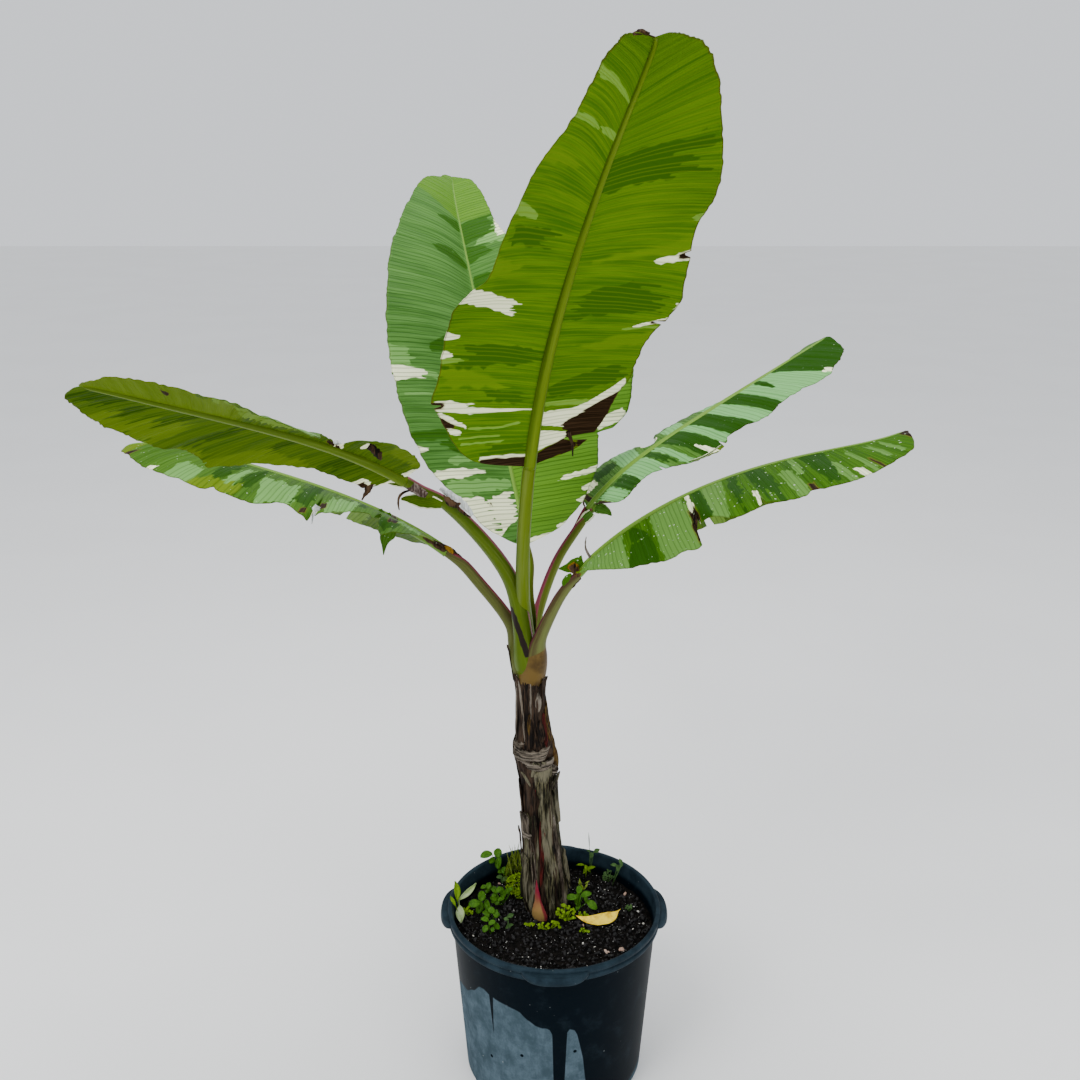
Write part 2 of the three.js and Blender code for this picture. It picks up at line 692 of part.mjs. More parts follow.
// A grip: a lip that stands out from the rim over an arc and runs out at both ends
function gripGeometry(way) {
  const { rise, rounding } = GRIP;
  const rings = [];
  const top = POT.height - POT.lipHeight + rise;
  const root = POT.rimRadius - POT.grooveDepth - GRIP.rootDepth;
  for (let k = 0; k <= GRIP.steps; k += 1) {
    const u = (k / GRIP.steps) * 2 - 1;
    const swell = 1 - u ** GRIP.squareness;
    const angle = way + u * GRIP.halfAngle * DEGREE;
    const rim = POT.rimRadius + GRIP.endReach + GRIP.reach * swell;
    const foot = top - GRIP.endDepth - (GRIP.depth - GRIP.endDepth) * swell;
    rings.push([
      polar(root, angle, top),
      polar(rim - rounding, angle, top - rounding),
      polar(rim, angle, top - rise),
      polar(rim - rounding, angle, foot),
      polar(root, angle, foot + rounding),
    ]);
  }
  return loft(rings);
}

function soilGeometry() {
  const { footRadius, neckRadius, wall, floor } = POT;
  const slope = (neckRadius - footRadius) / (RIDGE_FOOT - POT.shoulder - floor);
  const innerAt = (z) => footRadius - wall - CLEARANCE - SOIL.inset + slope * (z - floor);
  const bottom = floor + CLEARANCE;
  const rim = innerAt(SOIL_TOP);
  const profile = [[0, bottom], [innerAt(bottom) - SOIL.inset, bottom], [rim, SOIL_TOP]];
  for (let ring = SOIL.rings - 1; ring >= 0; ring -= 1) {
    const u = ring / SOIL.rings;
    const rise = SOIL.crown * Math.min(1, SOIL.crownSlope * (1 - u));
    profile.push([rim * u * SOIL.crownShare, SOIL_TOP + rise]);
  }
  const soil = new THREE.LatheGeometry(
    profile.map(([r, z]) => new THREE.Vector2(r, z)),
    POT.sides,
  );
  return soil.rotateX(Math.PI / 2);
}

const FINISHES = {
  plastic: { color: 0x1d2a35, roughness: 0.5 },
  earth: { color: 0x1c1714, roughness: 0.95 },
  drySheath: { color: 0x5a4a38, roughness: 0.85 },
  tanSheath: { color: 0x9a7a3c, roughness: 0.7 },
  shoot: { color: 0xb04a55, roughness: 0.5 },
  stalk: { color: 0x7d8a35, roughness: 0.45 },
  blade: { color: 0x5d9a2c, roughness: 0.4 },
};

const plant = new THREE.Group();

function addPiece(name, geometry, finish) {
  const material = new THREE.MeshStandardMaterial({ metalness: 0, ...FINISHES[finish] });
  const piece = new THREE.Mesh(geometry, material);
  piece.name = name;
  plant.add(piece);
}

addPiece('pot', potGeometry(), 'plastic');
addPiece('soil', soilGeometry(), 'earth');
addPiece('false_stem', stemGeometry(), 'drySheath');

// Everything on the stem is cut clear of it, and each piece of those before it
const around = [toSolid(stemGeometry(CLEARANCE))];

function clearOfOthers(geometry) {
  return around.reduce((solid, other) => solid.subtract(other), toSolid(geometry));
}

for (const [name, scale] of Object.entries(SCALES)) {
  const solid = largestBody(clearOfOthers(scaleGeometry(scale)));
  addPiece(name, toGeometry(solid), name === 'foot_shoot' ? 'shoot' : 'tanSheath');
}

for (const name of STALK_ORDER) {
  const surface = new LeafSurface(LEAVES[name]);
  const line = new StalkLine(surface);
  addPiece(`stalk_${name}`, toGeometry(largestBody(clearOfOthers(line.geometry()))), 'stalk');
  around.push(toSolid(line.geometry(CLEARANCE)));
  addPiece(`leaf_${name}`, bladeGeometry(surface), 'blade');
}

export default plant;
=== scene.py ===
"""A young variegated banana plant in its nursery pot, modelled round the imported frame.

Lengths in the classes are in millimetres, +Z up, seen from -Y. A mesh is placed in metres.
Each leaf is told by its midrib, by how far its side veins run to the margin, and by patches
of colour that follow the veins. "s" is the distance from the blade's base along the midrib,
"row" the place where a side vein leaves the midrib and "t" the distance across the blade.
"""

import logging
import math
from dataclasses import dataclass
from enum import Enum
from typing import Callable, ClassVar, Optional, Sequence

import bpy
import numpy as np
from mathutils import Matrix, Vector


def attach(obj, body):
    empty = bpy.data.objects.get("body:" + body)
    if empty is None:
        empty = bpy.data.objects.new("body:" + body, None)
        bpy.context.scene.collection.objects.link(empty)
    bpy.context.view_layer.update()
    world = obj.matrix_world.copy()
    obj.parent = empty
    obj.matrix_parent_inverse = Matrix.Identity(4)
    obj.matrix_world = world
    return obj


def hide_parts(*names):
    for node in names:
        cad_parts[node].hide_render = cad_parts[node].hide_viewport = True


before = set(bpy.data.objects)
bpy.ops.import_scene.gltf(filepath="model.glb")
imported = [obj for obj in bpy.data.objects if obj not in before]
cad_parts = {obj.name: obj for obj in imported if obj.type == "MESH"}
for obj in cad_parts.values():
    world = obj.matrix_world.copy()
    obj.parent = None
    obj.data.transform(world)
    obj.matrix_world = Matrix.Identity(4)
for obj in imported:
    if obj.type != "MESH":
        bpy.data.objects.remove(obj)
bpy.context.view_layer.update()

log = logging.getLogger("banana_plant")

MM = 0.001
SEAM = 1e-6
BODY = "root"
Array = np.ndarray
Colour = tuple[float, float, float]
Pair = tuple[float, float]
Triple = tuple[float, float, float]


class Tone(Enum):
    """The kinds of colour patch on a blade, each kept as one attribute of its mesh."""

    PALE = "pale"
    DARK = "dark"
    YELLOW = "yellow"
    CREAM = "cream"
    BROWN = "brown"


class Side(Enum):
    """The two halves of a blade, for someone who lies face down on it, head to its tip."""

    LEFT = 1
    RIGHT = -1


class Dry(Enum):
    """The looks of dead tissue."""

    UMBER = "umber"
    OLIVE = "olive"
    TAN = "tan"
    STRAW = "straw"
    RED = "red"
    BAND = "band"
    DEAD = "dead"
    GREY = "grey"
    MEMBRANE = "membrane"
    RUST = "rust"


class Tint(Enum):
    """The greens of the weeds."""

    FRESH = "fresh"
    BRIGHT = "bright"
    DULL = "dull"
    PALE = "pale"
    STRAW = "straw"


# Curves and noise


class SmoothCurve:
    """A curve through values at given stations that never overshoots them."""

    def __init__(self, stations: Sequence[float], values: Sequence[float]) -> None:
        """Works out the slope at each station.

        Args:
            stations: Rising positions.
            values: The value at each position.
        """
        self.x = np.array(stations, float)
        self.y = np.array(values, float)
        steps, rises = np.diff(self.x), np.diff(self.y)
        rises = rises / steps
        slopes = np.zeros(len(self.x))
        for i in range(1, len(self.x) - 1):
            if rises[i - 1] * rises[i] > 0:
                before = 2 * steps[i] + steps[i - 1]
                after = steps[i] + 2 * steps[i - 1]
                slopes[i] = (before + after) / (before / rises[i - 1] + after / rises[i])
        slopes[0] = self._end_slope(steps[0], steps[1], rises[0], rises[1])
        slopes[-1] = self._end_slope(steps[-1], steps[-2], rises[-1], rises[-2])
        self.slopes = slopes

    @staticmethod
    def _end_slope(near: float, far: float, near_rise: float, far_rise: float) -> float:
        """Slope at an end of the curve.

        Args:
            near: Length of the outermost step.
            far: Length of the next step.
            near_rise: Slope of the outermost step.
            far_rise: Slope of the next step.

        Returns:
            The slope, kept from overshooting.
        """
        slope = ((2 * near + far) * near_rise - near * far_rise) / (near + far)
        if slope * near_rise <= 0:
            return 0.0
        if near_rise * far_rise < 0 and abs(slope) > 3 * abs(near_rise):
            return 3 * near_rise
        return slope

    def at(self, x: Array) -> Array:
        """Values at positions x, held at the ends beyond the first and last station."""
        x = np.clip(np.asarray(x, float), self.x[0], self.x[-1])
        i = np.clip(np.searchsorted(self.x, x, side="right") - 1, 0, len(self.x) - 2)
        h = self.x[i + 1] - self.x[i]
        u = (x - self.x[i]) / h
        rise = self.slopes[i] * h * u * (1 - u) ** 2 + self.slopes[i + 1] * h * u * u * (u - 1)
        return self.y[i] * (1 + 2 * u) * (1 - u) ** 2 + self.y[i + 1] * u * u * (3 - 2 * u) + rise


class Noise:
    """Repeatable noise from one seed, along a line or over a plane."""

    size = 512
    shift = 200.5

    def __init__(self, seed: int) -> None:
        """Draws the values that the noise is made of.

        Args:
            seed: Any whole number.
        """
        self.values = np.random.RandomState(seed).uniform(-1, 1, (self.size, self.size))

    def _between(self, x: Array, length: float) -> tuple[Array, Array, Array]:
        """Numbers of the values on either side of x, and how far x has come between them."""
        p = np.asarray(x, float) / length + self.shift
        i = np.floor(p).astype(int)
        u = p - i
        return i % self.size, (i + 1) % self.size, u * u * (3 - 2 * u)

    def soft(self, x: Array, length: float) -> Array:
        """Smooth noise along a line, from -1 to 1, with bumps about "length" apart."""
        a, b, u = self._between(x, length)
        line = self.values[0]
        return line[a] * (1 - u) + line[b] * u

    def steps(self, x: Array, length: float) -> Array:
        """Noise along a line that jumps at every "length", from -1 to 1."""
        return self.values[1][self._between(x, length)[0]]

    def plane(self, x: Array, y: Array, length: float) -> Array:
        """Smooth noise over a plane, from -1 to 1, with bumps about "length" apart."""
        a, b, u = self._between(x, length)
        c, d, v = self._between(y, length)
        grid = self.values
        low = grid[a, c] * (1 - u) + grid[b, c] * u
        high = grid[a, d] * (1 - u) + grid[b, d] * u
        return low * (1 - v) + high * v


def smoothstep(low: float, high: float, x: Array) -> Array:
    """Rises smoothly from 0 at "low" to 1 at "high"."""
    u = np.clip((np.asarray(x, float) - low) / (high - low), 0, 1)
    return u * u * (3 - 2 * u)


def unit(vectors: Array) -> Array:
    """The same vectors with length 1."""
    return vectors / np.linalg.norm(vectors, axis=-1, keepdims=True)


def line_through(points: Sequence[Triple], places: Array) -> Array:
    """Points on a smooth line that passes through given points, evenly spaced by length.

    Args:
        points: The points that the line passes through.
        places: Shares of the line's length, from 0 to 1.

    Returns:
        One point for each place.
    """
    knots = np.array(points, float)
    gaps = np.sqrt(np.linalg.norm(np.diff(knots, axis=0), axis=1))
    spots = np.concatenate([[0], np.cumsum(gaps)])
    fine = np.linspace(0, spots[-1], 600)
    padded = np.vstack([2 * knots[0] - knots[1], knots, 2 * knots[-1] - knots[-2]])
    times = np.concatenate([[-gaps[0]], spots, [spots[-1] + gaps[-1]]])
    i = np.clip(np.searchsorted(spots, fine, side="right") - 1, 0, len(knots) - 2)
    t0, t1, t2, t3 = (times[i + k][:, None] for k in range(4))
    p0, p1, p2, p3 = (padded[i + k] for k in range(4))
    t = fine[:, None]
    a1 = ((t1 - t) * p0 + (t - t0) * p1) / (t1 - t0)
    a2 = ((t2 - t) * p1 + (t - t1) * p2) / (t2 - t1)
    a3 = ((t3 - t) * p2 + (t - t2) * p3) / (t3 - t2)
    b1 = ((t2 - t) * a1 + (t - t0) * a2) / (t2 - t0)
    b2 = ((t3 - t) * a2 + (t - t1) * a3) / (t3 - t1)
    line = ((t2 - t) * b1 + (t - t1) * b2) / (t2 - t1)
    run = np.concatenate([[0], np.cumsum(np.linalg.norm(np.diff(line, axis=0), axis=1))])
    want = np.clip(places, 0, 1) * run[-1]
    return np.stack([np.interp(want, run, line[:, k]) for k in range(3)], axis=-1)


def placed_matrix(x_axis: Array, y_axis: Array, z_axis: Array, origin: Array) -> Array:
    """A 4 by 4 matrix in metres from three axes and an origin in millimetres."""
    matrix = np.eye(4)
    for column, vector in enumerate((x_axis, y_axis, z_axis, origin)):
        matrix[:3, column] = np.asarray(vector, float) * MM
    return matrix


def turned_matrix(turns: Sequence[float]) -> Array:
    """A 4 by 4 matrix that turns by three angles, about x, then y, then z."""
    matrix = np.eye(4)
    for axis, angle in enumerate(turns):
        a, b = [k for k in range(3) if k != axis]
        step = np.eye(4)
        step[a, a] = step[b, b] = math.cos(angle)
        step[a, b], step[b, a] = -math.sin(angle), math.sin(angle)
        matrix = step @ matrix
    return matrix


# Modelling with Blender's operators


class Workshop:
    """The modelling steps that all pieces share."""

    copy_shades = 97

    @staticmethod
    def clear() -> None:
        """Leaves edit mode and deselects everything."""
        if bpy.context.object and bpy.context.object.mode != "OBJECT":
            bpy.ops.object.mode_set(mode="OBJECT")
        bpy.ops.object.select_all(action="DESELECT")

    @staticmethod
    def pick(piece: bpy.types.Object) -> None:
        """Makes one piece the only selected and the active one."""
        Workshop.clear()
        piece.select_set(True)
        bpy.context.view_layer.objects.active = piece

    @staticmethod
    def edit(piece: bpy.types.Object) -> None:
        """Opens a piece in edit mode, with all of it selected."""
        Workshop.pick(piece)
        bpy.ops.object.mode_set(mode="EDIT")
        bpy.ops.mesh.select_all(action="SELECT")

    @staticmethod
    def close_up(piece: bpy.types.Object) -> None:
        """Turns the normals of an open piece outwards, and shades it smooth."""
        bpy.ops.mesh.select_all(action="SELECT")
        bpy.ops.mesh.normals_make_consistent(inside=False)
        bpy.ops.object.mode_set(mode="OBJECT")
        piece.data.shade_smooth()

    @staticmethod
    def named(name: str) -> bpy.types.Object:
        """Names the active object and its mesh.

        Args:
            name: The piece's name.

        Returns:
            The object.
        """
        piece = bpy.context.active_object
        piece.name = name
        piece.data.name = name
        return piece

    @staticmethod
    def sheet(
        name: str,
        rows: int,
        columns: int,
        place: Callable[[Array, Array], Array],
        closed: bool = False,
    ) -> bpy.types.Object:
        """Adds a grid and lays it on a surface.

        Args:
            name: The piece's name.
            rows: Number of points along the surface.
            columns: Number of points across or around it.
            place: Gives points in millimetres for row and column numbers.
            closed: Whether the last column meets the first one, with both ends filled.

        Returns:
            The new object, smooth shaded, with its normals pointing out.
        """
        Workshop.clear()
        bpy.ops.mesh.primitive_grid_add(
            x_subdivisions=rows - 1, y_subdivisions=columns - 1, size=1.0
        )
        piece = Workshop.named(name)
        flat = np.empty(len(piece.data.vertices) * 3)
        piece.data.vertices.foreach_get("co", flat)
        flat = flat.reshape(-1, 3)
        i = np.rint((flat[:, 0] + 0.5) * (rows - 1)).astype(int)
        j = np.rint((flat[:, 1] + 0.5) * (columns - 1)).astype(int)
        spots = place(i, j) * MM
        piece.data.vertices.foreach_set("co", spots.reshape(-1))
        Workshop.keep(piece, "row", i.astype(float))
        Workshop.keep(piece, "column", j.astype(float))
        piece.data.shade_smooth()
        if closed:
            Workshop.edit(piece)
            bpy.ops.mesh.remove_doubles(threshold=SEAM)
            bpy.ops.mesh.fill_holes(sides=0)
            Workshop.close_up(piece)
        return piece

    @staticmethod
    def keep(piece: bpy.types.Object, name: str, values: Array) -> None:
        """Keeps one number for each point of a mesh.

        Args:
            piece: The piece.
            name: The attribute's name.
            values: One number for each point.
        """
        layer = piece.data.attributes.get(name)
        if layer is None:
            layer = piece.data.attributes.new(name, "FLOAT", "POINT")
        layer.data.foreach_set("value", np.asarray(values, np.float32).reshape(-1))

    @staticmethod
    def read(piece: bpy.types.Object, name: str) -> Array:
        """The numbers that keep() stored under a name."""
        values = np.empty(len(piece.data.vertices), np.float32)
        piece.data.attributes[name].data.foreach_get("value", values)
        return values

    @staticmethod
    def spots(piece: bpy.types.Object) -> Array:
        """The places of a mesh's points, a row for each."""
        flat = np.empty(3 * len(piece.data.vertices), np.float32)
        piece.data.vertices.foreach_get("co", flat)
        return flat.reshape(-1, 3) / MM

    @staticmethod
    def unwrap(piece: bpy.types.Object, u: Array, v: Array) -> None:
        """Gives a piece a UV map from one pair of numbers for each point.

        Args:
            piece: The piece.
            u: First coordinate of each point.
            v: Second coordinate of each point.
        """
        mesh = piece.data
        layer = mesh.uv_layers[0] if mesh.uv_layers else mesh.uv_layers.new(name="UVMap")
        corners = np.empty(len(mesh.loops), np.int32)
        mesh.loops.foreach_get("vertex_index", corners)
        pairs = np.stack([np.asarray(u)[corners], np.asarray(v)[corners]], axis=-1)
        layer.data.foreach_set("uv", pairs.astype(np.float32).reshape(-1))

    @staticmethod
    def thicken(piece: bpy.types.Object, thickness: float, under: bool = False) -> None:
        """Gives a sheet its thickness.

        Args:
            piece: The sheet.
            thickness: Thickness in millimetres, half of it on each side.
            under: Whether the far side takes the piece's second material.
        """
        Workshop.pick(piece)
        bpy.ops.object.modifier_add(type="SOLIDIFY")
        wall = piece.modifiers[-1]
        wall.thickness = thickness * MM
        wall.offset = 0.0
        wall.use_rim = True
        wall.material_offset = 1 if under else 0
        wall.material_offset_rim = 0
        bpy.ops.object.modifier_apply(modifier=wall.name)

    @staticmethod
    def turned(name: str, profile: Sequence[Pair], sides: int) -> bpy.types.Object:
        """Turns a profile into a round body: a filled circle, extruded from ring to ring.

        Args:
            name: The piece's name.
            profile: Radius and height of each ring, in millimetres.
            sides: Number of points around.

        Returns:
            The new closed object.
        """
        Workshop.clear()
        radius, height = profile[0]
        bpy.ops.mesh.primitive_circle_add(
            vertices=sides, radius=radius * MM, fill_type="NGON", location=(0, 0, 0)
        )
        piece = Workshop.named(name)
        Workshop.edit(piece)
        bpy.ops.transform.translate(value=(0, 0, height * MM))
        for next_radius, next_height in profile[1:]:
            bpy.ops.mesh.extrude_region_move(
                TRANSFORM_OT_translate={"value": (0, 0, (next_height - height) * MM)}
            )
            ratio = next_radius / radius
            bpy.ops.transform.resize(
                value=(ratio, ratio, 1), center_override=(0, 0, next_height * MM)
            )
            radius, height = next_radius, next_height
        Workshop.close_up(piece)
        return piece

    @staticmethod
    def smooth_by_angle(piece: bpy.types.Object, degrees: float) -> None:
        """Shades a piece smooth, apart from edges sharper than an angle."""
        Workshop.pick(piece)
        bpy.ops.object.shade_smooth_by_angle(angle=math.radians(degrees))

    @staticmethod
    def scattered(
        name: str, pattern: bpy.types.Object, places: Sequence[Array]
    ) -> bpy.types.Object:
        """Joins many turned and scaled copies of one small pattern piece.

        Args:
            name: The joined piece's name.
            pattern: The piece to copy, in metres, which is removed.
            places: One 4 by 4 matrix for each copy.

        Returns:
            The joined object, with a value from 0 to 1 for each copy as attribute "copy".
        """
        mesh = pattern.data
        points = np.empty(len(mesh.vertices) * 3)
        mesh.vertices.foreach_get("co", points)
        points = np.c_[points.reshape(-1, 3), np.ones(len(mesh.vertices))]
        faces = [tuple(face.vertices) for face in mesh.polygons]
        spots = np.concatenate([(points @ matrix.T)[:, :3] for matrix in places])
        count = len(points)
        all_faces = [
            tuple(corner + k * count for corner in face)
            for k in range(len(places)) for face in faces
        ]
        joined = bpy.data.meshes.new(name)
        joined.from_pydata(spots.tolist(), [], all_faces)
        piece = bpy.data.objects.new(name, joined)
        bpy.context.scene.collection.objects.link(piece)
        shades = np.arange(len(places)) % Workshop.copy_shades / Workshop.copy_shades
        Workshop.keep(piece, "copy", np.repeat(shades, count))
        bpy.data.objects.remove(pattern)
        joined.shade_smooth()
        return piece


def hand_over(
    piece: bpy.types.Object,
    node: str,
    material: Optional[bpy.types.Material] = None,
) -> None:
    """Ties a finished piece to the frame and dresses it.

    Args:
        piece: The piece.
        node: The frame's node that it stands for.
        material: Its material, for a piece that has none yet.
    """
    if material is not None:
        piece.data.materials.append(material)
    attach(piece, BODY)
    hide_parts(node)
    log.info("%s: %d faces", piece.name, len(piece.data.polygons))


# Shader building


class Board:
    """A node tree with short calls to add and join its nodes."""

    def __init__(self, tree: bpy.types.NodeTree) -> None:
        """Starts on a tree.

        Args:
            tree: A material's tree or a group's tree.
        """
        self.tree = tree

    def add(self, kind: str, inputs: Optional[dict] = None, **settings: object) -> bpy.types.Node:
        """Adds a node.

        Args:
            kind: Blender's name of the node's type.
            inputs: Values or sockets for its inputs, by name or number.
            **settings: Properties of the node.

        Returns:
            The node.
        """
        node = self.tree.nodes.new(kind)
        for key, value in settings.items():
            setattr(node, key, value)
        for key, value in (inputs or {}).items():
            self.feed(node.inputs[key], value)
        return node

    def feed(self, socket: bpy.types.NodeSocket, value: object) -> None:
        """Links a socket to an input, or sets the input's value."""
        if isinstance(value, bpy.types.NodeSocket):
            self.tree.links.new(value, socket)
        elif socket.type == "RGBA" and len(value) == 3:
            socket.default_value = (*value, 1.0)
        else:
            socket.default_value = value

    def math(self, operation: str, a: object, b: object) -> object:
        """A maths node's output."""
        return self.add("ShaderNodeMath", {0: a, 1: b}, operation=operation).outputs[0]

    def plus(self, a: object, b: object) -> object:
        """One value and another."""
        return self.math("ADD", a, b)

    def minus(self, a: object, b: object) -> object:
        """One value less another."""
        return self.math("SUBTRACT", a, b)

    def times(self, a: object, b: object) -> object:
        """One value by another."""
        return self.math("MULTIPLY", a, b)

    def blend(self, a: object, a_share: float, b: object, b_share: float) -> object:
        """Two values added, each by its share."""
        return self.plus(self.times(a, a_share), self.times(b, b_share))

    def frayed(self, value: object, noise: object, amount: object) -> object:
        """A value that a noise round 0.5 moves up and down by half of an amount."""
        return self.plus(value, self.times(self.minus(noise, 0.5), amount))

    def mix(self, share: object, a: object, b: object) -> object:
        """Colour a turning into colour b as the share rises from 0 to 1."""
        node = self.add("ShaderNodeMix", data_type="RGBA")
        self.feed(node.inputs[0], share)
        self.feed(node.inputs[6], a)
        self.feed(node.inputs[7], b)
        return node.outputs[2]

    def span(self, value: object, low: float, high: float, to: Pair = (0.0, 1.0)) -> object:
        """A value turned smoothly from the range low to high into another range."""
        node = self.add("ShaderNodeMapRange", interpolation_type="SMOOTHSTEP")
        for number, item in enumerate((value, low, high, *to)):
            self.feed(node.inputs[number], item)
        return node.outputs[0]

    def noise(self, vector: object, scale: float, detail: float = 2.0,
              roughness: float = 0.5) -> object:
        """A noise texture's value."""
        node = self.add("ShaderNodeTexNoise", {
            "Vector": vector, "Scale": scale, "Detail": detail, "Roughness": roughness,
        })
        return node.outputs["Fac"]

    def stretched(self, vector: object, scale: Triple, shift: Triple = (0, 0, 0)) -> object:
        """A vector scaled and shifted along each axis."""
        node = self.add("ShaderNodeMapping", {
            "Vector": vector, "Scale": scale, "Location": shift,
        })
        return node.outputs[0]

    def object_place(self) -> object:
        """The place of a point on its piece, in metres."""
        return self.add("ShaderNodeTexCoord").outputs["Object"]

    def map_place(self) -> object:
        """The place of a point on its piece's UV map."""
        return self.add("ShaderNodeUVMap", uv_map="UVMap").outputs["UV"]

    def group(self, tree: bpy.types.NodeTree, inputs: dict) -> bpy.types.Node:
        """Adds a shared effect with its inputs."""
        return self.add("ShaderNodeGroup", inputs, node_tree=tree)

    def attribute(self, name: str) -> object:
        """The value of a mesh attribute."""
        return self.add("ShaderNodeAttribute", attribute_name=name).outputs["Fac"]

    def ramp(self, value: object, stops: Sequence[tuple[float, Colour]]) -> object:
        """A colour ramp.

        Args:
            value: The value that runs along it.
            stops: Position and colour of each stop.

        Returns:
            The colour.
        """
        node = self.add("ShaderNodeValToRGB", {"Fac": value})
        elements = node.color_ramp.elements
        while len(elements) < len(stops):
            elements.new(0.5)
        for element, (position, colour) in zip(elements, stops):
            element.position = position
            element.color = (*colour, 1.0)
        return node.outputs["Color"]


class EffectGroups:
    """Effects that several materials share, each built once as a node group."""

    def __init__(self) -> None:
        """Builds the groups."""
        self.veins = self._veins()
        self.patch = self._patch()
        self.specks = self._specks()
        self.fibres = self._fibres()

    @staticmethod
    def _start(name: str, inputs: Sequence[tuple[str, str, float]],
               outputs: Sequence[tuple[str, str]]) -> tuple[Board, object, object]:
        """Starts a group.

        Args:
            name: The group's name.
            inputs: Name, kind and starting value of each input.
            outputs: Name and kind of each output.

        Returns:
            Its board, its input node and its output node.
        """
        tree = bpy.data.node_groups.new(name, "ShaderNodeTree")
        for label, kind, value in inputs:
            socket = tree.interface.new_socket(
                name=label, in_out="INPUT", socket_type=f"NodeSocket{kind}"
            )
            if kind == "Float":
                socket.default_value = value
        for label, kind in outputs:
            tree.interface.new_socket(
                name=label, in_out="OUTPUT", socket_type=f"NodeSocket{kind}"
            )
        board = Board(tree)
        return board, board.add("NodeGroupInput"), board.add("NodeGroupOutput")

    def _veins(self) -> bpy.types.NodeTree:
        """Streaks that run along a blade's side veins: fine, broad, and a relief."""
        board, source, out = self._start(
            "side_veins", [("Map", "Vector", 0.0)],
            [("Fine", "Float"), ("Broad", "Float"), ("Relief", "Float"), ("Line", "Float")],
        )
        place = source.outputs["Map"]
        fine = board.noise(board.stretched(place, (620, 9, 1)), 1.0, 2.0)
        broad = board.noise(board.stretched(place, (75, 7, 1), (3, 1, 5)), 1.0, 3.0)
        ridges = board.noise(board.stretched(place, (1250, 3, 1), (0, 2, 9)), 1.0, 1.0)
        relief = board.plus(board.times(ridges, 0.6), fine)
        row = board.add("ShaderNodeSeparateXYZ", {0: place}).outputs[0]
        wander = board.noise(board.stretched(place, (20, 12, 1), (7, 1, 2)), 1.0, 1.0)
        cells = board.add("ShaderNodeTexVoronoi", {
            "W": board.plus(row, board.times(wander, 0.006)),
            "Scale": 150.0, "Randomness": 0.7,
        }, voronoi_dimensions="1D", feature="DISTANCE_TO_EDGE")
        line = board.span(cells.outputs["Distance"], 0.02, 0.22, (1.0, 0.0))
        relief = board.minus(relief, board.times(line, 0.8))
        for label, value in (("Fine", fine), ("Broad", broad), ("Relief", relief),
                             ("Line", line)):
            board.feed(out.inputs[label], value)
        return board.tree

    def _patch(self) -> bpy.types.NodeTree:
        """Edge of a colour patch: a field of distance, frayed along the veins."""
        board, source, out = self._start(
            "patch_edge",
            [("Field", "Float", 0.0), ("Fray", "Float", 0.5), ("Amount", "Float", 0.2),
             ("Soft", "Float", 0.03)],
            [("Mask", "Float")],
        )
        frayed = board.frayed(source.outputs["Field"], source.outputs["Fray"],
                              source.outputs["Amount"])
        share = board.math("DIVIDE", board.minus(frayed, 0.5), source.outputs["Soft"])
        board.feed(out.inputs["Mask"], board.span(share, -1.0, 1.0))
        return board.tree

    def _specks(self) -> bpy.types.NodeTree:
        """Small round spots strewn over a map."""
        board, source, out = self._start(
            "strewn_specks",
            [("Map", "Vector", 0.0), ("Scale", "Float", 100.0), ("Size", "Float", 0.1)],
            [("Mask", "Float")],
        )
        cells = board.add("ShaderNodeTexVoronoi", {
            "Vector": source.outputs["Map"], "Scale": source.outputs["Scale"],
        })
        draw = board.add("ShaderNodeSeparateColor", {"Color": cells.outputs["Color"]})
        size = board.times(source.outputs["Size"], draw.outputs[0])
        gap = board.minus(size, cells.outputs["Distance"])
        board.feed(out.inputs["Mask"], board.span(gap, -0.01, 0.03))
        return board.tree

    def _fibres(self) -> bpy.types.NodeTree:
        """Long fibres and mottling, for stalks and dry sheaths: x runs across the fibres."""
        board, source, out = self._start(
            "long_fibres", [("Map", "Vector", 0.0)], [("Fibre", "Float"), ("Mottle", "Float")],
        )
        place = source.outputs["Map"]
        fibre = board.noise(board.stretched(place, (520, 520, 24)), 1.0, 3.0, 0.6)
        mottle = board.noise(board.stretched(place, (60, 60, 16), (5, 2, 1)), 1.0, 4.0, 0.6)
        board.feed(out.inputs["Fibre"], fibre)
        board.feed(out.inputs["Mottle"], mottle)
        return board.tree


def new_material(name: str) -> tuple[bpy.types.Material, Board, bpy.types.Node]:
    """Starts a material.

    Args:
        name: The material's name.

    Returns:
        The material, its board and its surface shader.
    """
    material = bpy.data.materials.new(name)
    material.use_nodes = True
    board = Board(material.node_tree)
    return material, board, material.node_tree.nodes["Principled BSDF"]


def finish_surface(board: Board, shader: bpy.types.Node, colour: object, roughness: object,
                   height: object, relief: float, gloss: float) -> None:
    """Feeds a surface shader.

    Args:
        board: The material's board.
        shader: Its surface shader.
        colour: Base colour.
        roughness: Roughness, a value or a socket.
        height: Height of the fine relief, from 0 to 1.
        relief: What a height of 1 stands for, in millimetres.
        gloss: Strength of its mirror-like share.
    """
    shader.inputs["Specular IOR Level"].default_value = gloss
    board.feed(shader.inputs["Base Color"], colour)
    board.feed(shader.inputs["Roughness"], roughness)
    bump = board.add("ShaderNodeBump", {
        "Height": height, "Distance": relief * MM, "Strength": 1.0,
    })
    board.feed(shader.inputs["Normal"], bump.outputs["Normal"])


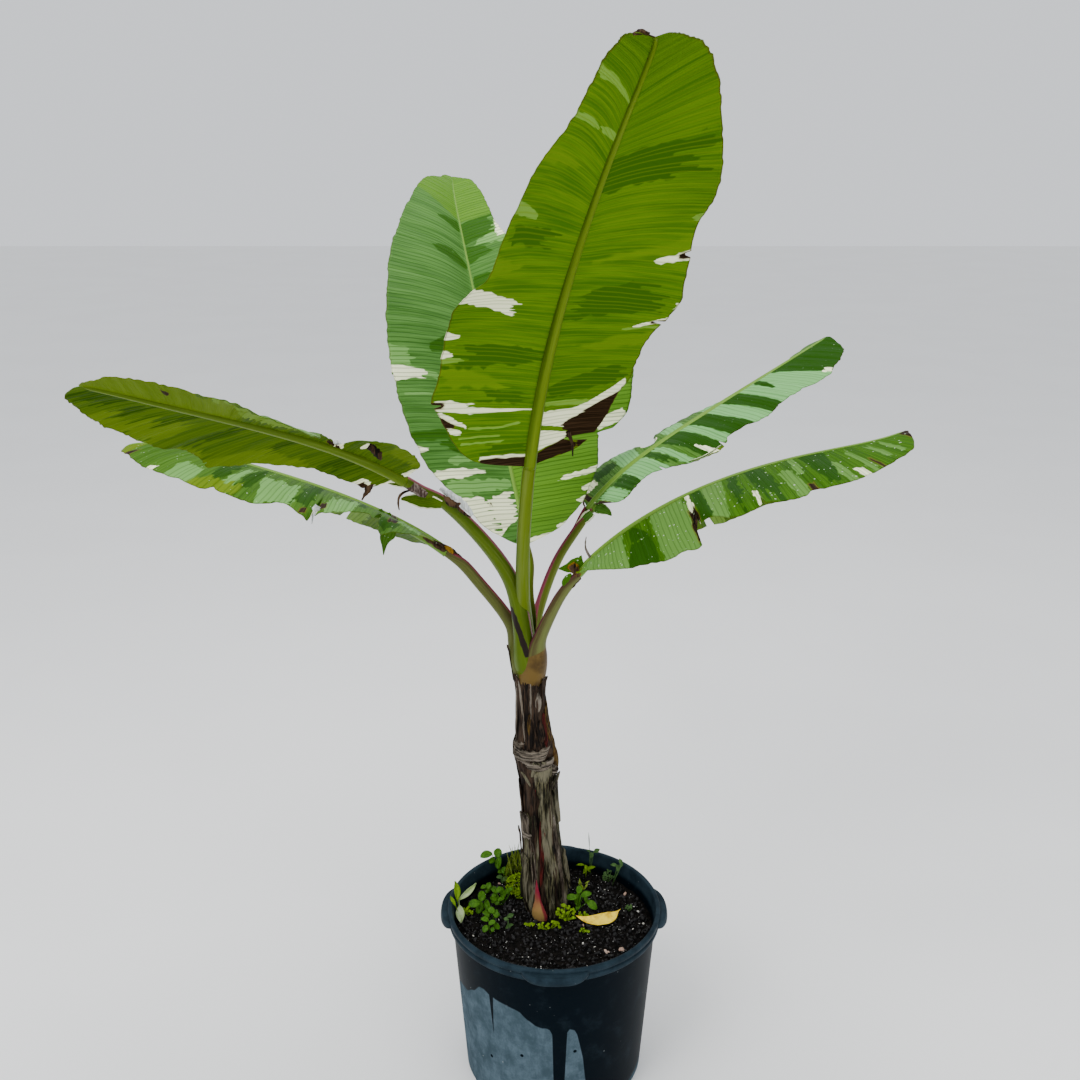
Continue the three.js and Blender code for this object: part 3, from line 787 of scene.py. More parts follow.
@dataclass(frozen=True)
class BladeFinish:
    """Living leaf tissue on one side of a blade, with all its patches."""

    name: str
    green: Colour
    light: Colour
    pale: Colour
    dark: Colour
    yellow: Colour = (0.13, 0.20, 0.001)
    cream: Colour = (0.95, 0.97, 0.64)
    brown: Colour = (0.010, 0.005, 0.002)
    brown_streak: Colour = (0.042, 0.022, 0.010)
    halo: Colour = (0.17, 0.12, 0.01)
    rim: Colour = (0.07, 0.04, 0.01)
    rim_share: float = 0.25
    line: Colour = (0.012, 0.048, 0.0)
    line_share: float = 0.35
    roughness: float = 0.5
    # Water droplets, drawn as pale specks whose brightness paints the light that glints on them
    droplets: float = 0.0
    droplet_glint: Colour = (0.42, 0.52, 0.36)
    droplet_scale: float = 150.0
    relief: float = 0.35
    gloss: float = 0.05

    def build(self, effects: EffectGroups) -> bpy.types.Material:
        """Builds the material.

        Args:
            effects: The shared node groups.

        Returns:
            The material.
        """
        material, board, shader = new_material(self.name)
        place = board.map_place()
        veins = board.group(effects.veins, {"Map": place})
        fine, broad = veins.outputs["Fine"], veins.outputs["Broad"]
        streaks = board.blend(fine, 0.45, broad, 0.55)
        colour = board.mix(board.span(streaks, 0.36, 0.64), self.green, self.light)
        # Tone, its colour, how much it frays, how soft its edge is, how much green shows in it
        layers = (
            (Tone.PALE, self.pale, 0.30, 0.05, 0.32),
            (Tone.DARK, self.dark, 0.34, 0.07, 0.16),
            (Tone.YELLOW, self.yellow, 0.5, 0.2, 0.60),
            (Tone.CREAM, self.cream, 0.26, 0.04, 0.16),
        )
        for tone, shade, amount, soft, variety in layers:
            mask = self._mask(board, effects, tone, fine, amount, soft)
            uneven = board.mix(board.times(broad, variety), shade, self.green)
            colour = board.mix(mask, colour, uneven)
        line = board.times(veins.outputs["Line"], self.line_share)
        colour = board.mix(line, colour, self.line)
        halo = board.span(board.attribute(Tone.BROWN.value), 0.34, 0.5)
        colour = board.mix(board.times(halo, 0.4), colour, self.halo)
        brown = self._mask(board, effects, Tone.BROWN, broad, 0.16, 0.04)
        dead = board.mix(board.span(fine, 0.35, 0.75), self.brown, self.brown_streak)
        colour = board.mix(brown, colour, dead)
        rim = board.span(board.attribute("rim"), 0.35, 0.8)
        colour = board.mix(board.times(rim, self.rim_share), colour, self.rim)
        # Droplets: pale specks, with their glints of light painted into the colour
        if self.droplets > 0:
            dots = board.group(effects.specks, {
                "Map": place, "Scale": self.droplet_scale, "Size": 0.20 * self.droplets,
            })
            colour = board.mix(dots.outputs["Mask"], colour, self.droplet_glint)
        rough = board.span(broad, 0.3, 0.7, (self.roughness - 0.07, self.roughness + 0.07))
        finish_surface(board, shader, colour, rough, veins.outputs["Relief"], self.relief,
                       self.gloss)
        return material

    @staticmethod
    def _mask(board: Board, effects: EffectGroups, tone: Tone, fray: object,
              amount: float, soft: float) -> object:
        """The mask of one tone's patches.

        Args:
            board: The material's board.
            effects: The shared node groups.
            tone: Which patches.
            fray: The noise that frays their ends.
            amount: How much it frays them.
            soft: How soft the edge is.

        Returns:
            The mask.
        """
        node = board.group(effects.patch, {
            "Field": board.attribute(tone.value), "Fray": fray, "Amount": amount, "Soft": soft,
        })
        return node.outputs["Mask"]


@dataclass(frozen=True)
class StalkFinish:
    """Firm green tissue of stalks, midribs and the shoot, with coloured margins and a painted
    highlight line.
    """

    name: str
    middle: Colour
    flank: Colour
    margin: Colour
    # The streaks' colour, also used for the highlight painted as a light line along a stalk's flank
    streak: Colour = (0.15, 0.19, 0.04)
    rot: Colour = (0.002, 0.001, 0.001)
    rot_streak: Colour = (0.022, 0.012, 0.008)
    papery: Colour = (0.115, 0.070, 0.016)
    papery_dark: Colour = (0.05, 0.028, 0.008)
    roughness: float = 0.4
    relief: float = 0.25
    gloss: float = 0.09

    def build(self) -> bpy.types.Material:
        """Builds the material from its attributes: across, edge, the painted highlight line, rot and
        papery.

        Returns:
            The material.
        """
        material, board, shader = new_material(self.name)
        place = board.map_place()
        rows = board.noise(board.stretched(place, (7, 260, 1)), 1.0, 3.0, 0.6)
        blotch = board.noise(board.stretched(place, (28, 55, 1), (4, 2, 0)), 1.0, 4.0, 0.6)
        flank = board.span(board.frayed(board.attribute("across"), blotch, 0.5), 0.25, 0.8)
        colour = board.mix(flank, self.middle, self.flank)
        streak = board.times(board.span(rows, 0.45, 0.75), 0.35)
        colour = board.mix(streak, colour, self.streak)
        # Painted highlight: a light line along one flank, in the streaks' colour
        colour = board.mix(board.attribute("shine"), colour, self.streak)
        edge = board.plus(board.attribute("edge"), board.times(rows, 0.12))
        colour = board.mix(board.times(board.span(edge, 0.5, 0.95), 0.9), colour, self.margin)
        rot = board.span(board.frayed(board.attribute("rot"), blotch, 0.8), 0.45, 0.6)
        colour = board.mix(rot, colour, board.mix(rows, self.rot, self.rot_streak))
        dry = board.span(board.frayed(board.attribute("papery"), blotch, 0.3), 0.42, 0.58)
        papery = board.mix(board.span(blotch, 0.4, 0.65), self.papery, self.papery_dark)
        colour = board.mix(dry, colour, papery)
        finish_surface(board, shader, colour, self.roughness, rows, self.relief, self.gloss)
        return material


@dataclass(frozen=True)
class DryFinish:
    """Dead sheath tissue: dark and light fibres, mottled, up the stem or lying across it."""

    name: str
    dark: Colour
    light: Colour
    tint: Colour
    tint_share: float = 0.4
    roughness: float = 0.8
    relief: float = 1.1
    gloss: float = 0.12
    lying: bool = False
    lying_stretch: Triple = (0.09, 0.09, 14)

    def build(self, effects: EffectGroups) -> bpy.types.Material:
        """Builds the material.

        Args:
            effects: The shared node groups.

        Returns:
            The material.
        """
        material, board, shader = new_material(self.name)
        place = board.object_place()
        if self.lying:
            place = board.stretched(place, self.lying_stretch)
        group = board.group(effects.fibres, {"Map": place})
        fibre, mottle = group.outputs["Fibre"], group.outputs["Mottle"]
        blend = board.blend(fibre, 0.6, mottle, 0.4)
        colour = board.mix(board.span(blend, 0.43, 0.60), self.dark, self.light)
        tint = board.times(board.span(mottle, 0.46, 0.62), self.tint_share)
        colour = board.mix(tint, colour, self.tint)
        finish_surface(board, shader, colour, self.roughness, fibre, self.relief, self.gloss)
        return material


# The leaves


@dataclass
class Half:
    """One half of a blade.

    Attributes:
        edge: Pairs of row and distance t at which the side vein meets the margin.
        folds: Droop of the half, in degrees, evenly from base to tip.
        lean: Lean of the veins towards the tip, in degrees, at base and tip.
    """

    edge: Sequence[Pair]
    folds: Sequence[float]
    lean: Pair


@dataclass
class Patch:
    """A patch of colour between two veins.

    Attributes:
        tone: Its colour.
        side: The half that it lies on.
        across: The distances t that it lies between.
        inner: The rows that it lies between at its inner end.
        outer: The same at its outer end, or empty for the same rows.
        fray: How far its ends reach in and out from vein to vein.
    """

    tone: Tone
    side: Side
    across: Pair
    inner: Pair
    outer: Sequence[float] = ()
    fray: float = 8.0


@dataclass
class Curl:
    """A place where the margin lifts or hangs.

    Attributes:
        side: The half that it lies on.
        row: The row at its middle.
        width: How far it reaches along the midrib.
        lift: Lift of the margin, below zero where it hangs.
        begin: Share of the width at which it begins.
    """

    side: Side
    row: float
    width: float
    lift: float
    begin: float = 0.3


@dataclass
class Tear:
    """A split between two veins.

    Attributes:
        side: The half that it lies on.
        row: The row that it follows.
        open: How far it gapes at the margin.
        reach: Distance t at which it begins.
    """

    side: Side
    row: float
    open: float
    reach: float


@dataclass
class Leaf:
    """One leaf: its stalk and blade follow one line.

    Attributes:
        name: Short name, as in the frame's nodes.
        rib: Control points of the midrib's line, stalk included.
        stalk: How much of the line is stalk.
        facing: The compass way it grows, in degrees from +X.
        lobe: How far the blade reaches back past its base.
        beyond: How far it reaches past the rib's tip.
        left: Its left half.
        right: Its right half.
        root: Where its stalk leaves the stem.
        via: Points that its stalk passes.
        root_radius: The stalk's radius at its root.
        tip_radius: The stalk's radius where the blade begins.
        wrap: Half angle of the sheath round the stem, in degrees.
        foot: Height at which its sheath begins.
        seen_from_below: Whether the photograph's side is its underside.
        roll: How far the stalk's channel turns about its line, in degrees.
        opening: How far up its sheath stays open, as a multiple of the root's run.
        papery: Height up to which its sheath is dry and papery.
        rotten: Ends of a rotten line across its sheath, each as x and z.
        patches: Its patches of colour.
        curls: Its lifted and hanging margins.
        tears: Its splits.
        pleat: Height of its pleats.
    """

    name: str
    rib: Sequence[Triple]
    stalk: float
    facing: float
    lobe: float
    beyond: float
    left: Half
    right: Half
    root: Triple
    via: Sequence[Triple]
    root_radius: float
    tip_radius: float
    wrap: float
    foot: float
    seen_from_below: bool = False
    opening: float = 1.5
    roll: float = 0.0
    papery: float = 0
    rotten: Sequence[Pair] = ()
    patches: Sequence[Patch] = ()
    curls: Sequence[Curl] = ()
    tears: Sequence[Tear] = ()
    pleat: float = 0.7


L, R = Side.LEFT, Side.RIGHT
PALE, DARK, YELLOW, CREAM, BROWN = Tone.PALE, Tone.DARK, Tone.YELLOW, Tone.CREAM, Tone.BROWN

FRONT = Leaf(
    name="front",
    rib=((-45, 40, 795), (-55, -70, 985), (-50, -150, 1215), (20, -180, 1440),
         (115, -225, 1625), (95, -420, 1630)),
    stalk=325, facing=-75, lobe=3, beyond=13,
    left=Half(
        edge=((-3, 1), (0, 20), (12, 70), (27, 90), (60, 112), (108, 124), (134, 138),
              (150, 141), (200, 155), (240, 170), (267, 177), (285, 169), (320, 165),
              (384, 147), (420, 128), (445, 113), (480, 92), (520, 71), (560, 54),
              (600, 39), (640, 27), (680, 19), (698, 12), (703, 1)),
        folds=(-20, -20, -20, 10, -10), lean=(-2, 62),
    ),
    right=Half(
        edge=((-3, 1), (0, 20), (10, 70), (22, 100), (48, 128), (75, 142), (100, 160),
              (125, 157), (153, 154), (180, 156), (205, 159), (235, 171), (270, 173),
              (283, 157), (298, 162), (312, 170), (339, 167), (367, 156), (395, 139),
              (434, 104), (475, 80), (495, 70), (545, 50), (590, 38), (640, 28), (680, 19),
              (698, 12), (703, 1)),
        folds=(15, 0, 25, 20, -10), lean=(6, 66),
    ),
    root=(-48, 35, 802), via=((-50, -4, 877), (-48, -43, 962)),
    root_radius=12, tip_radius=9.5, wrap=150, foot=735, seen_from_below=True,
    patches=(
        Patch(CREAM, R, (66, 190), (225, 248), (256, 281), 14),
        Patch(CREAM, R, (134, 175), (188, 192), (180, 202), 5),
        Patch(CREAM, R, (136, 175), (160, 164), (158, 174), 8),
        Patch(PALE, R, (124, 175), (152, 158), (150, 160), 8),
        Patch(CREAM, R, (98, 152), (80, 95), (88, 102), 10),
        Patch(CREAM, R, (4, 50), (89, 92), (84, 88), 1),
        Patch(CREAM, R, (50, 104), (84, 88), (80, 91), 1),
        Patch(BROWN, R, (140, 160), (91, 98), (90, 100), 2),
        Patch(CREAM, R, (99, 150), (60, 63), (78, 88), 6),
        Patch(PALE, R, (20, 60), (67, 71), (58, 62), 2),
        Patch(PALE, R, (60, 104), (58, 62), (60, 64), 2),
        Patch(CREAM, R, (110, 134), (54, 59), (58, 67), 6),
        Patch(BROWN, R, (122, 146), (64, 67), (66, 79), 2),
        Patch(PALE, R, (45, 112), (40, 43), (), 2),
        Patch(PALE, R, (50, 118), (48, 50), (), 2),
        Patch(CREAM, R, (6, 84), (13, 19), (16, 21), 2),
        Patch(BROWN, R, (0, 84), (-8, 13), (12, 18), 3),
        Patch(PALE, L, (4, 98), (94, 101), (89, 98), 6),
        Patch(CREAM, L, (4, 56), (65, 84), (52, 85), 3),
        Patch(CREAM, L, (54, 84), (60, 84), (80, 95), 4),
        Patch(CREAM, L, (82, 128), (80, 95), (112, 132), 5),
        Patch(CREAM, L, (4, 56), (18, 55), (34, 46), 2),
        Patch(BROWN, L, (48, 86), (42, 62), (22, 79), 9),
        Patch(BROWN, L, (76, 140), (12, 79), (12, 122), 6),
        Patch(BROWN, L, (0, 52), (-8, 12), (8, 34), 2),
        Patch(BROWN, L, (50, 72), (4, 34), (4, 24), 2),
        Patch(CREAM, L, (122, 178), (213, 217), (232, 243), 4),
        Patch(PALE, L, (106, 168), (208, 212), (218, 224), 4),
        Patch(BROWN, L, (146, 172), (224, 227), (229, 236), 1),
        Patch(CREAM, L, (118, 180), (305, 310), (315, 326), 5),
        Patch(BROWN, L, (151, 180), (313, 318), (316, 325), 1),
        Patch(CREAM, L, (171, 190), (254, 263), (), 3),
        Patch(PALE, L, (148, 180), (351, 358), (346, 369), 4),
        Patch(PALE, R, (4, 38), (472, 484), (461, 467), 6),
        Patch(PALE, R, (38, 92), (460, 467), (458, 466), 3),
        # A painted glint: a thin pale wedge where light glances along the blade
        Patch(PALE, R, (2, 60), (525, 528), (511, 530), 5),
        Patch(PALE, R, (104, 168), (350, 358), (355, 369), 6),
        Patch(BROWN, R, (1, 16), (693, 706), (), 2),
        Patch(YELLOW, L, (30, 180), (303, 308), (321, 336), 10),
        Patch(YELLOW, L, (40, 170), (176, 186), (190, 214), 24),
        Patch(YELLOW, R, (58, 160), (411, 417), (400, 432), 18),
        Patch(YELLOW, R, (90, 185), (286, 300), (290, 316), 24),
        Patch(YELLOW, R, (60, 160), (118, 130), (120, 150), 30),
        Patch(DARK, L, (10, 120), (102, 124), (128, 158), 14),
        Patch(DARK, L, (0, 100), (398, 446), (404, 450), 30),
        Patch(DARK, L, (20, 130), (226, 262), (244, 290), 30),
        Patch(DARK, R, (60, 160), (322, 342), (326, 344), 24),
        Patch(DARK, R, (10, 130), (160, 182), (140, 178), 30),
        Patch(DARK, R, (6, 90), (96, 112), (100, 118), 30),
        Patch(DARK, R, (10, 70), (22, 38), (), 14),
    ),
    curls=(Curl(L, 200, 40, 6), Curl(L, 290, 40, -5), Curl(R, 280, 40, 5)),
    tears=(Tear(L, 228, 6, 150), Tear(L, 318, 5, 158), Tear(L, 33, 12, 52), Tear(R, 94, 5, 144)),
)

BACK = Leaf(
    name="back",
    rib=((-25, 50, 810), (-45, 65, 930), (-95, 190, 1065), (-120, 320, 1245),
         (-175, 440, 1400), (-185, 585, 1450)),
    stalk=125, facing=108, lobe=15, beyond=8,
    left=Half(
        edge=((-15, 1), (-13, 12), (4, 51), (26, 87), (68, 126), (90, 148), (110, 164),
              (138, 180), (182, 194), (243, 204), (326, 209), (382, 202), (426, 187),
              (460, 174), (504, 152), (549, 129), (599, 103), (632, 86), (665, 71),
              (699, 49), (724, 24), (744, 14), (751, 1)),
        folds=(-35, -40, -45, -40, -25), lean=(-6, 6),
    ),
    right=Half(
        edge=((-15, 1), (-13, 14), (1, 70), (20, 102), (43, 127), (70, 143), (93, 157),
              (126, 161), (142, 168), (150, 190), (181, 228), (220, 241), (250, 246),
              (300, 238), (360, 208), (420, 168), (480, 123), (520, 93), (548, 75),
              (579, 66), (598, 62), (632, 57), (659, 51), (707, 38), (737, 14), (751, 1)),
        folds=(15, -15, -25, -10, -15), lean=(6, 22),
    ),
    root=(-41, 47, 802), via=((-42, 60, 850),),
    root_radius=10, tip_radius=7, wrap=120, foot=770,
    patches=(
        Patch(YELLOW, R, (0, 270), (-20, 420), (), 40),
        Patch(YELLOW, L, (0, 95), (606, 760), (650, 760), 10),
        Patch(YELLOW, R, (0, 95), (600, 760), (), 12),
        Patch(YELLOW, L, (0, 60), (250, 320), (240, 260), 26),
        Patch(DARK, L, (2, 48), (574, 603), (585, 592), 5),
        Patch(DARK, L, (2, 34), (492, 503), (493, 520), 4),
        Patch(DARK, L, (34, 78), (493, 522), (498, 512), 5),
        Patch(DARK, L, (86, 136), (309, 343), (304, 316), 10),
        Patch(DARK, L, (120, 194), (160, 178), (158, 172), 10),
        Patch(DARK, L, (40, 126), (124, 160), (142, 176), 18),
        Patch(DARK, L, (4, 90), (120, 134), (134, 142), 24),
        Patch(DARK, R, (0, 58), (546, 596), (556, 606), 8),
        Patch(DARK, R, (0, 46), (503, 544), (514, 528), 8),
        Patch(DARK, R, (0, 60), (450, 478), (430, 470), 14),
        Patch(DARK, R, (0, 100), (86, 94), (88, 94), 34),
        Patch(DARK, R, (6, 120), (60, 74), (64, 76), 34),
        Patch(DARK, R, (0, 90), (24, 34), (28, 36), 30),
        Patch(PALE, R, (14, 60), (606, 613), (626, 635), 6),
        Patch(PALE, R, (24, 84), (538, 548), (530, 595), 12),
        Patch(PALE, L, (172, 215), (282, 308), (278, 315), 10),
        Patch(PALE, L, (124, 170), (259, 270), (262, 277), 12),
        Patch(PALE, L, (140, 196), (232, 236), (), 4),
        Patch(PALE, R, (175, 255), (214, 246), (216, 242), 5),
        Patch(PALE, R, (170, 240), (177, 207), (174, 213), 5),
        Patch(PALE, R, (156, 185), (132, 148), (), 4),
        Patch(PALE, R, (64, 165), (98, 114), (99, 116), 34),
        Patch(PALE, L, (3, 140), (80, 96), (74, 96), 26),
        Patch(PALE, L, (84, 125), (124, 136), (118, 132), 12),
        Patch(PALE, L, (96, 144), (56, 94), (60, 94), 3),
        Patch(CREAM, L, (146, 218), (262, 273), (253, 284), 14),
        Patch(CREAM, L, (164, 190), (144, 147), (137, 152), 4),
        Patch(CREAM, L, (110, 166), (98, 114), (97, 112), 8),
        Patch(CREAM, L, (58, 112), (107, 110), (98, 115), 8),
        Patch(CREAM, L, (8, 60), (28, 76), (0, 66), 16),
        Patch(CREAM, L, (60, 124), (0, 66), (40, 68), 16),
        Patch(PALE, L, (16, 104), (18, 22), (20, 27), 24),
        Patch(YELLOW, L, (20, 90), (44, 46), (46, 51), 24),
        Patch(PALE, R, (10, 110), (126, 132), (130, 139), 30),
        Patch(CREAM, R, (70, 150), (198, 200), (201, 206), 24),
        Patch(PALE, R, (10, 120), (168, 174), (170, 180), 34),
        Patch(PALE, R, (4, 90), (40, 44), (42, 50), 30),
        Patch(PALE, L, (10, 100), (180, 184), (183, 190), 30),
        Patch(CREAM, R, (160, 220), (150, 168), (164, 182), 5),
        Patch(CREAM, R, (84, 160), (78, 83), (83, 94), 8),
        Patch(CREAM, R, (120, 165), (58, 62), (55, 71), 8),
        Patch(CREAM, R, (110, 140), (39, 43), (36, 51), 5),
        Patch(CREAM, R, (66, 110), (3, 6), (2, 15), 5),
        Patch(CREAM, R, (8, 78), (-14, -6), (-13, -2), 5),
        Patch(CREAM, R, (62, 82), (545, 584), (), 3),
        Patch(BROWN, L, (60, 64), (54, 58), (), 1),
        Patch(DARK, L, (22, 62), (56, 61), (57, 60), 18),
        Patch(DARK, L, (22, 56), (13, 19), (11, 15), 16),
        Patch(DARK, L, (2, 22), (-14, 6), (-14, -4), 4),
    ),
    curls=(Curl(R, 150, 30, -10), Curl(L, 500, 120, -8), Curl(L, 100, 60, 8)),
    tears=(Tear(R, 146, 10, 164), Tear(L, 62, 4, 112)),
    pleat=0.8,
)

LEFT_UPPER = Leaf(
    name="left_upper",
    rib=((-45, 30, 770), (-80, 15, 990), (-260, -115, 1180), (-385, -360, 1181),
         (-505, -485, 1297), (-515, -505, 1285)),
    stalk=410, facing=-128, lobe=17, beyond=-12,
    left=Half(
        edge=((-17, 1), (-9, 50), (-4, 84), (5, 98), (13, 105), (29, 117), (45, 122),
              (54, 118), (70, 127), (78, 121), (84, 106), (92, 106), (101, 102), (107, 84),
              (111, 55), (116, 26), (126, 12), (138, 26), (150, 36), (162, 46), (172, 60),
              (185, 88), (200, 132), (220, 165), (240, 182), (256, 186), (272, 180), (290, 165),
              (305, 150), (322, 135), (340, 122), (360, 101), (380, 91), (400, 83),
              (420, 73), (452, 60), (480, 38), (497, 16), (507, 1)),
        folds=(-5, -15, -10, -15, -20), lean=(30, 45),
    ),
    right=Half(
        edge=((-17, 1), (-14, 14), (0, 53), (22, 57), (44, 62), (61, 65), (86, 70),
              (100, 76), (127, 92), (150, 101), (166, 110), (194, 126), (205, 132),
              (222, 123), (238, 118), (262, 111), (283, 114), (311, 111), (338, 100),
              (383, 88), (411, 76), (444, 61), (472, 46), (488, 34), (500, 16), (507, 1)),
        folds=(30, 20, 20, 20, 20), lean=(6, 20),
    ),
    root=(-46, 28, 747), via=((-68, 10, 880), (-160, -72, 1030)),
    root_radius=17, tip_radius=9.5, wrap=150, foot=712, seen_from_below=True,
    rotten=((-42, 752), (-68, 829)),
    patches=(
        Patch(YELLOW, R, (108, 150), (222, 272), (), 10),
        Patch(YELLOW, R, (60, 150), (80, 190), (110, 230), 16),
        Patch(YELLOW, L, (0, 120), (290, 520), (), 40),
        Patch(YELLOW, L, (70, 130), (-10, 50), (0, 70), 16),
        Patch(YELLOW, R, (50, 110), (300, 420), (), 30),
        Patch(PALE, R, (104, 130), (300, 330), (), 8),
        Patch(PALE, L, (40, 120), (200, 330), (), 26),
        Patch(CREAM, R, (112, 125), (140, 156), (), 4),
        Patch(CREAM, R, (38, 66), (-4, 22), (), 4),
        Patch(CREAM, L, (1, 28), (110, 124), (116, 136), 5),
        Patch(CREAM, L, (42, 78), (84, 95), (), 5),
        Patch(CREAM, R, (0, 40), (-16, -8), (), 5),
        Patch(CREAM, L, (14, 66), (-14, -4), (), 5),
        Patch(BROWN, L, (46, 84), (-16, -9), (), 4),
        Patch(BROWN, L, (2, 12), (112, 120), (118, 126), 3),
        Patch(BROWN, L, (10, 24), (128, 142), (130, 146), 3),
        Patch(BROWN, R, (46, 70), (-8, 12), (), 3),
        Patch(BROWN, L, (46, 62), (382, 390), (), 3),
        Patch(BROWN, L, (20, 70), (166, 176), (180, 192), 3),
        Patch(DARK, R, (10, 90), (250, 268), (), 26),
        Patch(DARK, R, (10, 80), (330, 346), (), 26),
        Patch(DARK, R, (10, 60), (390, 410), (), 18),
        Patch(DARK, R, (10, 100), (166, 184), (), 26),
        Patch(DARK, R, (4, 40), (430, 490), (), 12),
        Patch(DARK, R, (8, 50), (60, 90), (), 16),
    ),
    curls=(Curl(L, 250, 60, -3), Curl(L, 60, 60, 3), Curl(R, 230, 30, 3)),
    tears=(Tear(L, 81, 4, 96), Tear(R, 212, 4, 124), Tear(R, 146, 4, 104)),
    pleat=1.1,
)

LEFT_LOWER = Leaf(
    name="left_lower",
    rib=((-60, 45, 745), (-90, 50, 905), (-230, 90, 985), (-450, 70, 1035),
         (-610, 5, 1125), (-640, 0, 1090)),
    stalk=205, facing=183, lobe=2, beyond=3,
    left=Half(
        edge=((-2, 1), (10, 30), (25, 52), (38, 70), (57, 118), (70, 135), (80, 146),
              (100, 140), (109, 118), (114, 90), (119, 128), (127, 112), (135, 118),
              (152, 134), (180, 140), (200, 148), (207, 158), (213, 160), (222, 154),
              (233, 140), (249, 129), (258, 140), (274, 148), (302, 137), (318, 128),
              (322, 122), (327, 134), (347, 126), (363, 112), (380, 104), (408, 90),
              (447, 65), (460, 55), (480, 38), (500, 20), (510, 12), (521, 1)),
        folds=(-20, -20, -10, -5, 5), lean=(6, 40),
    ),
    right=Half(
        edge=((-2, 1), (8, 40), (40, 107), (80, 138), (120, 143), (200, 145), (280, 139),
              (320, 130), (360, 114), (400, 90), (440, 63), (480, 33), (521, 1)),
        folds=(20, 20, 20, 20, 20), lean=(6, 40),
    ),
    root=(-56, 44, 747), via=((-70, 48, 795), (-121, 55, 863)),
    root_radius=13, tip_radius=10, wrap=135, foot=700, roll=-32,
    patches=(
        Patch(BROWN, L, (30, 70), (466, 482), (), 4),
        Patch(CREAM, L, (80, 105), (402, 412), (), 3),
        Patch(PALE, L, (66, 130), (356, 386), (342, 380), 14),
        Patch(PALE, L, (40, 135), (306, 318), (308, 322), 24),
        Patch(PALE, L, (50, 145), (240, 288), (234, 274), 14),
        Patch(PALE, L, (60, 150), (150, 192), (), 16),
        Patch(PALE, L, (20, 84), (40, 84), (), 8),
        Patch(DARK, L, (36, 90), (136, 147), (), 12),
        Patch(DARK, L, (8, 130), (208, 228), (212, 236), 26),
        Patch(DARK, L, (10, 120), (288, 302), (290, 306), 26),
        Patch(DARK, L, (84, 124), (78, 112), (), 6),
        Patch(DARK, L, (10, 90), (324, 340), (), 26),
        Patch(YELLOW, L, (100, 145), (298, 348), (), 12),
        Patch(YELLOW, L, (0, 40), (480, 525), (), 8),
        Patch(YELLOW, L, (20, 90), (20, 44), (), 12),
        Patch(CREAM, L, (124, 175), (198, 207), (202, 206), 1),
        Patch(BROWN, L, (136, 150), (214, 222), (), 2),
        Patch(BROWN, L, (60, 92), (84, 98), (), 4),
        Patch(BROWN, L, (0, 56), (-4, 22), (), 8),
        Patch(BROWN, L, (104, 128), (192, 200), (), 5),
        Patch(PALE, R, (0, 150), (120, 200), (), 24),
        Patch(PALE, R, (0, 160), (250, 268), (264, 280), 20),
        Patch(PALE, R, (20, 150), (330, 352), (344, 364), 20),
    ),
    curls=(Curl(L, 205, 6, -8, 0.7), Curl(L, 96, 12, -12, 0.5), Curl(L, 320, 14, -3)),
    tears=(Tear(L, 203, 6, 106), Tear(L, 113, 10, 60), Tear(R, 150, 10, 90)),
    pleat=1.0,
)

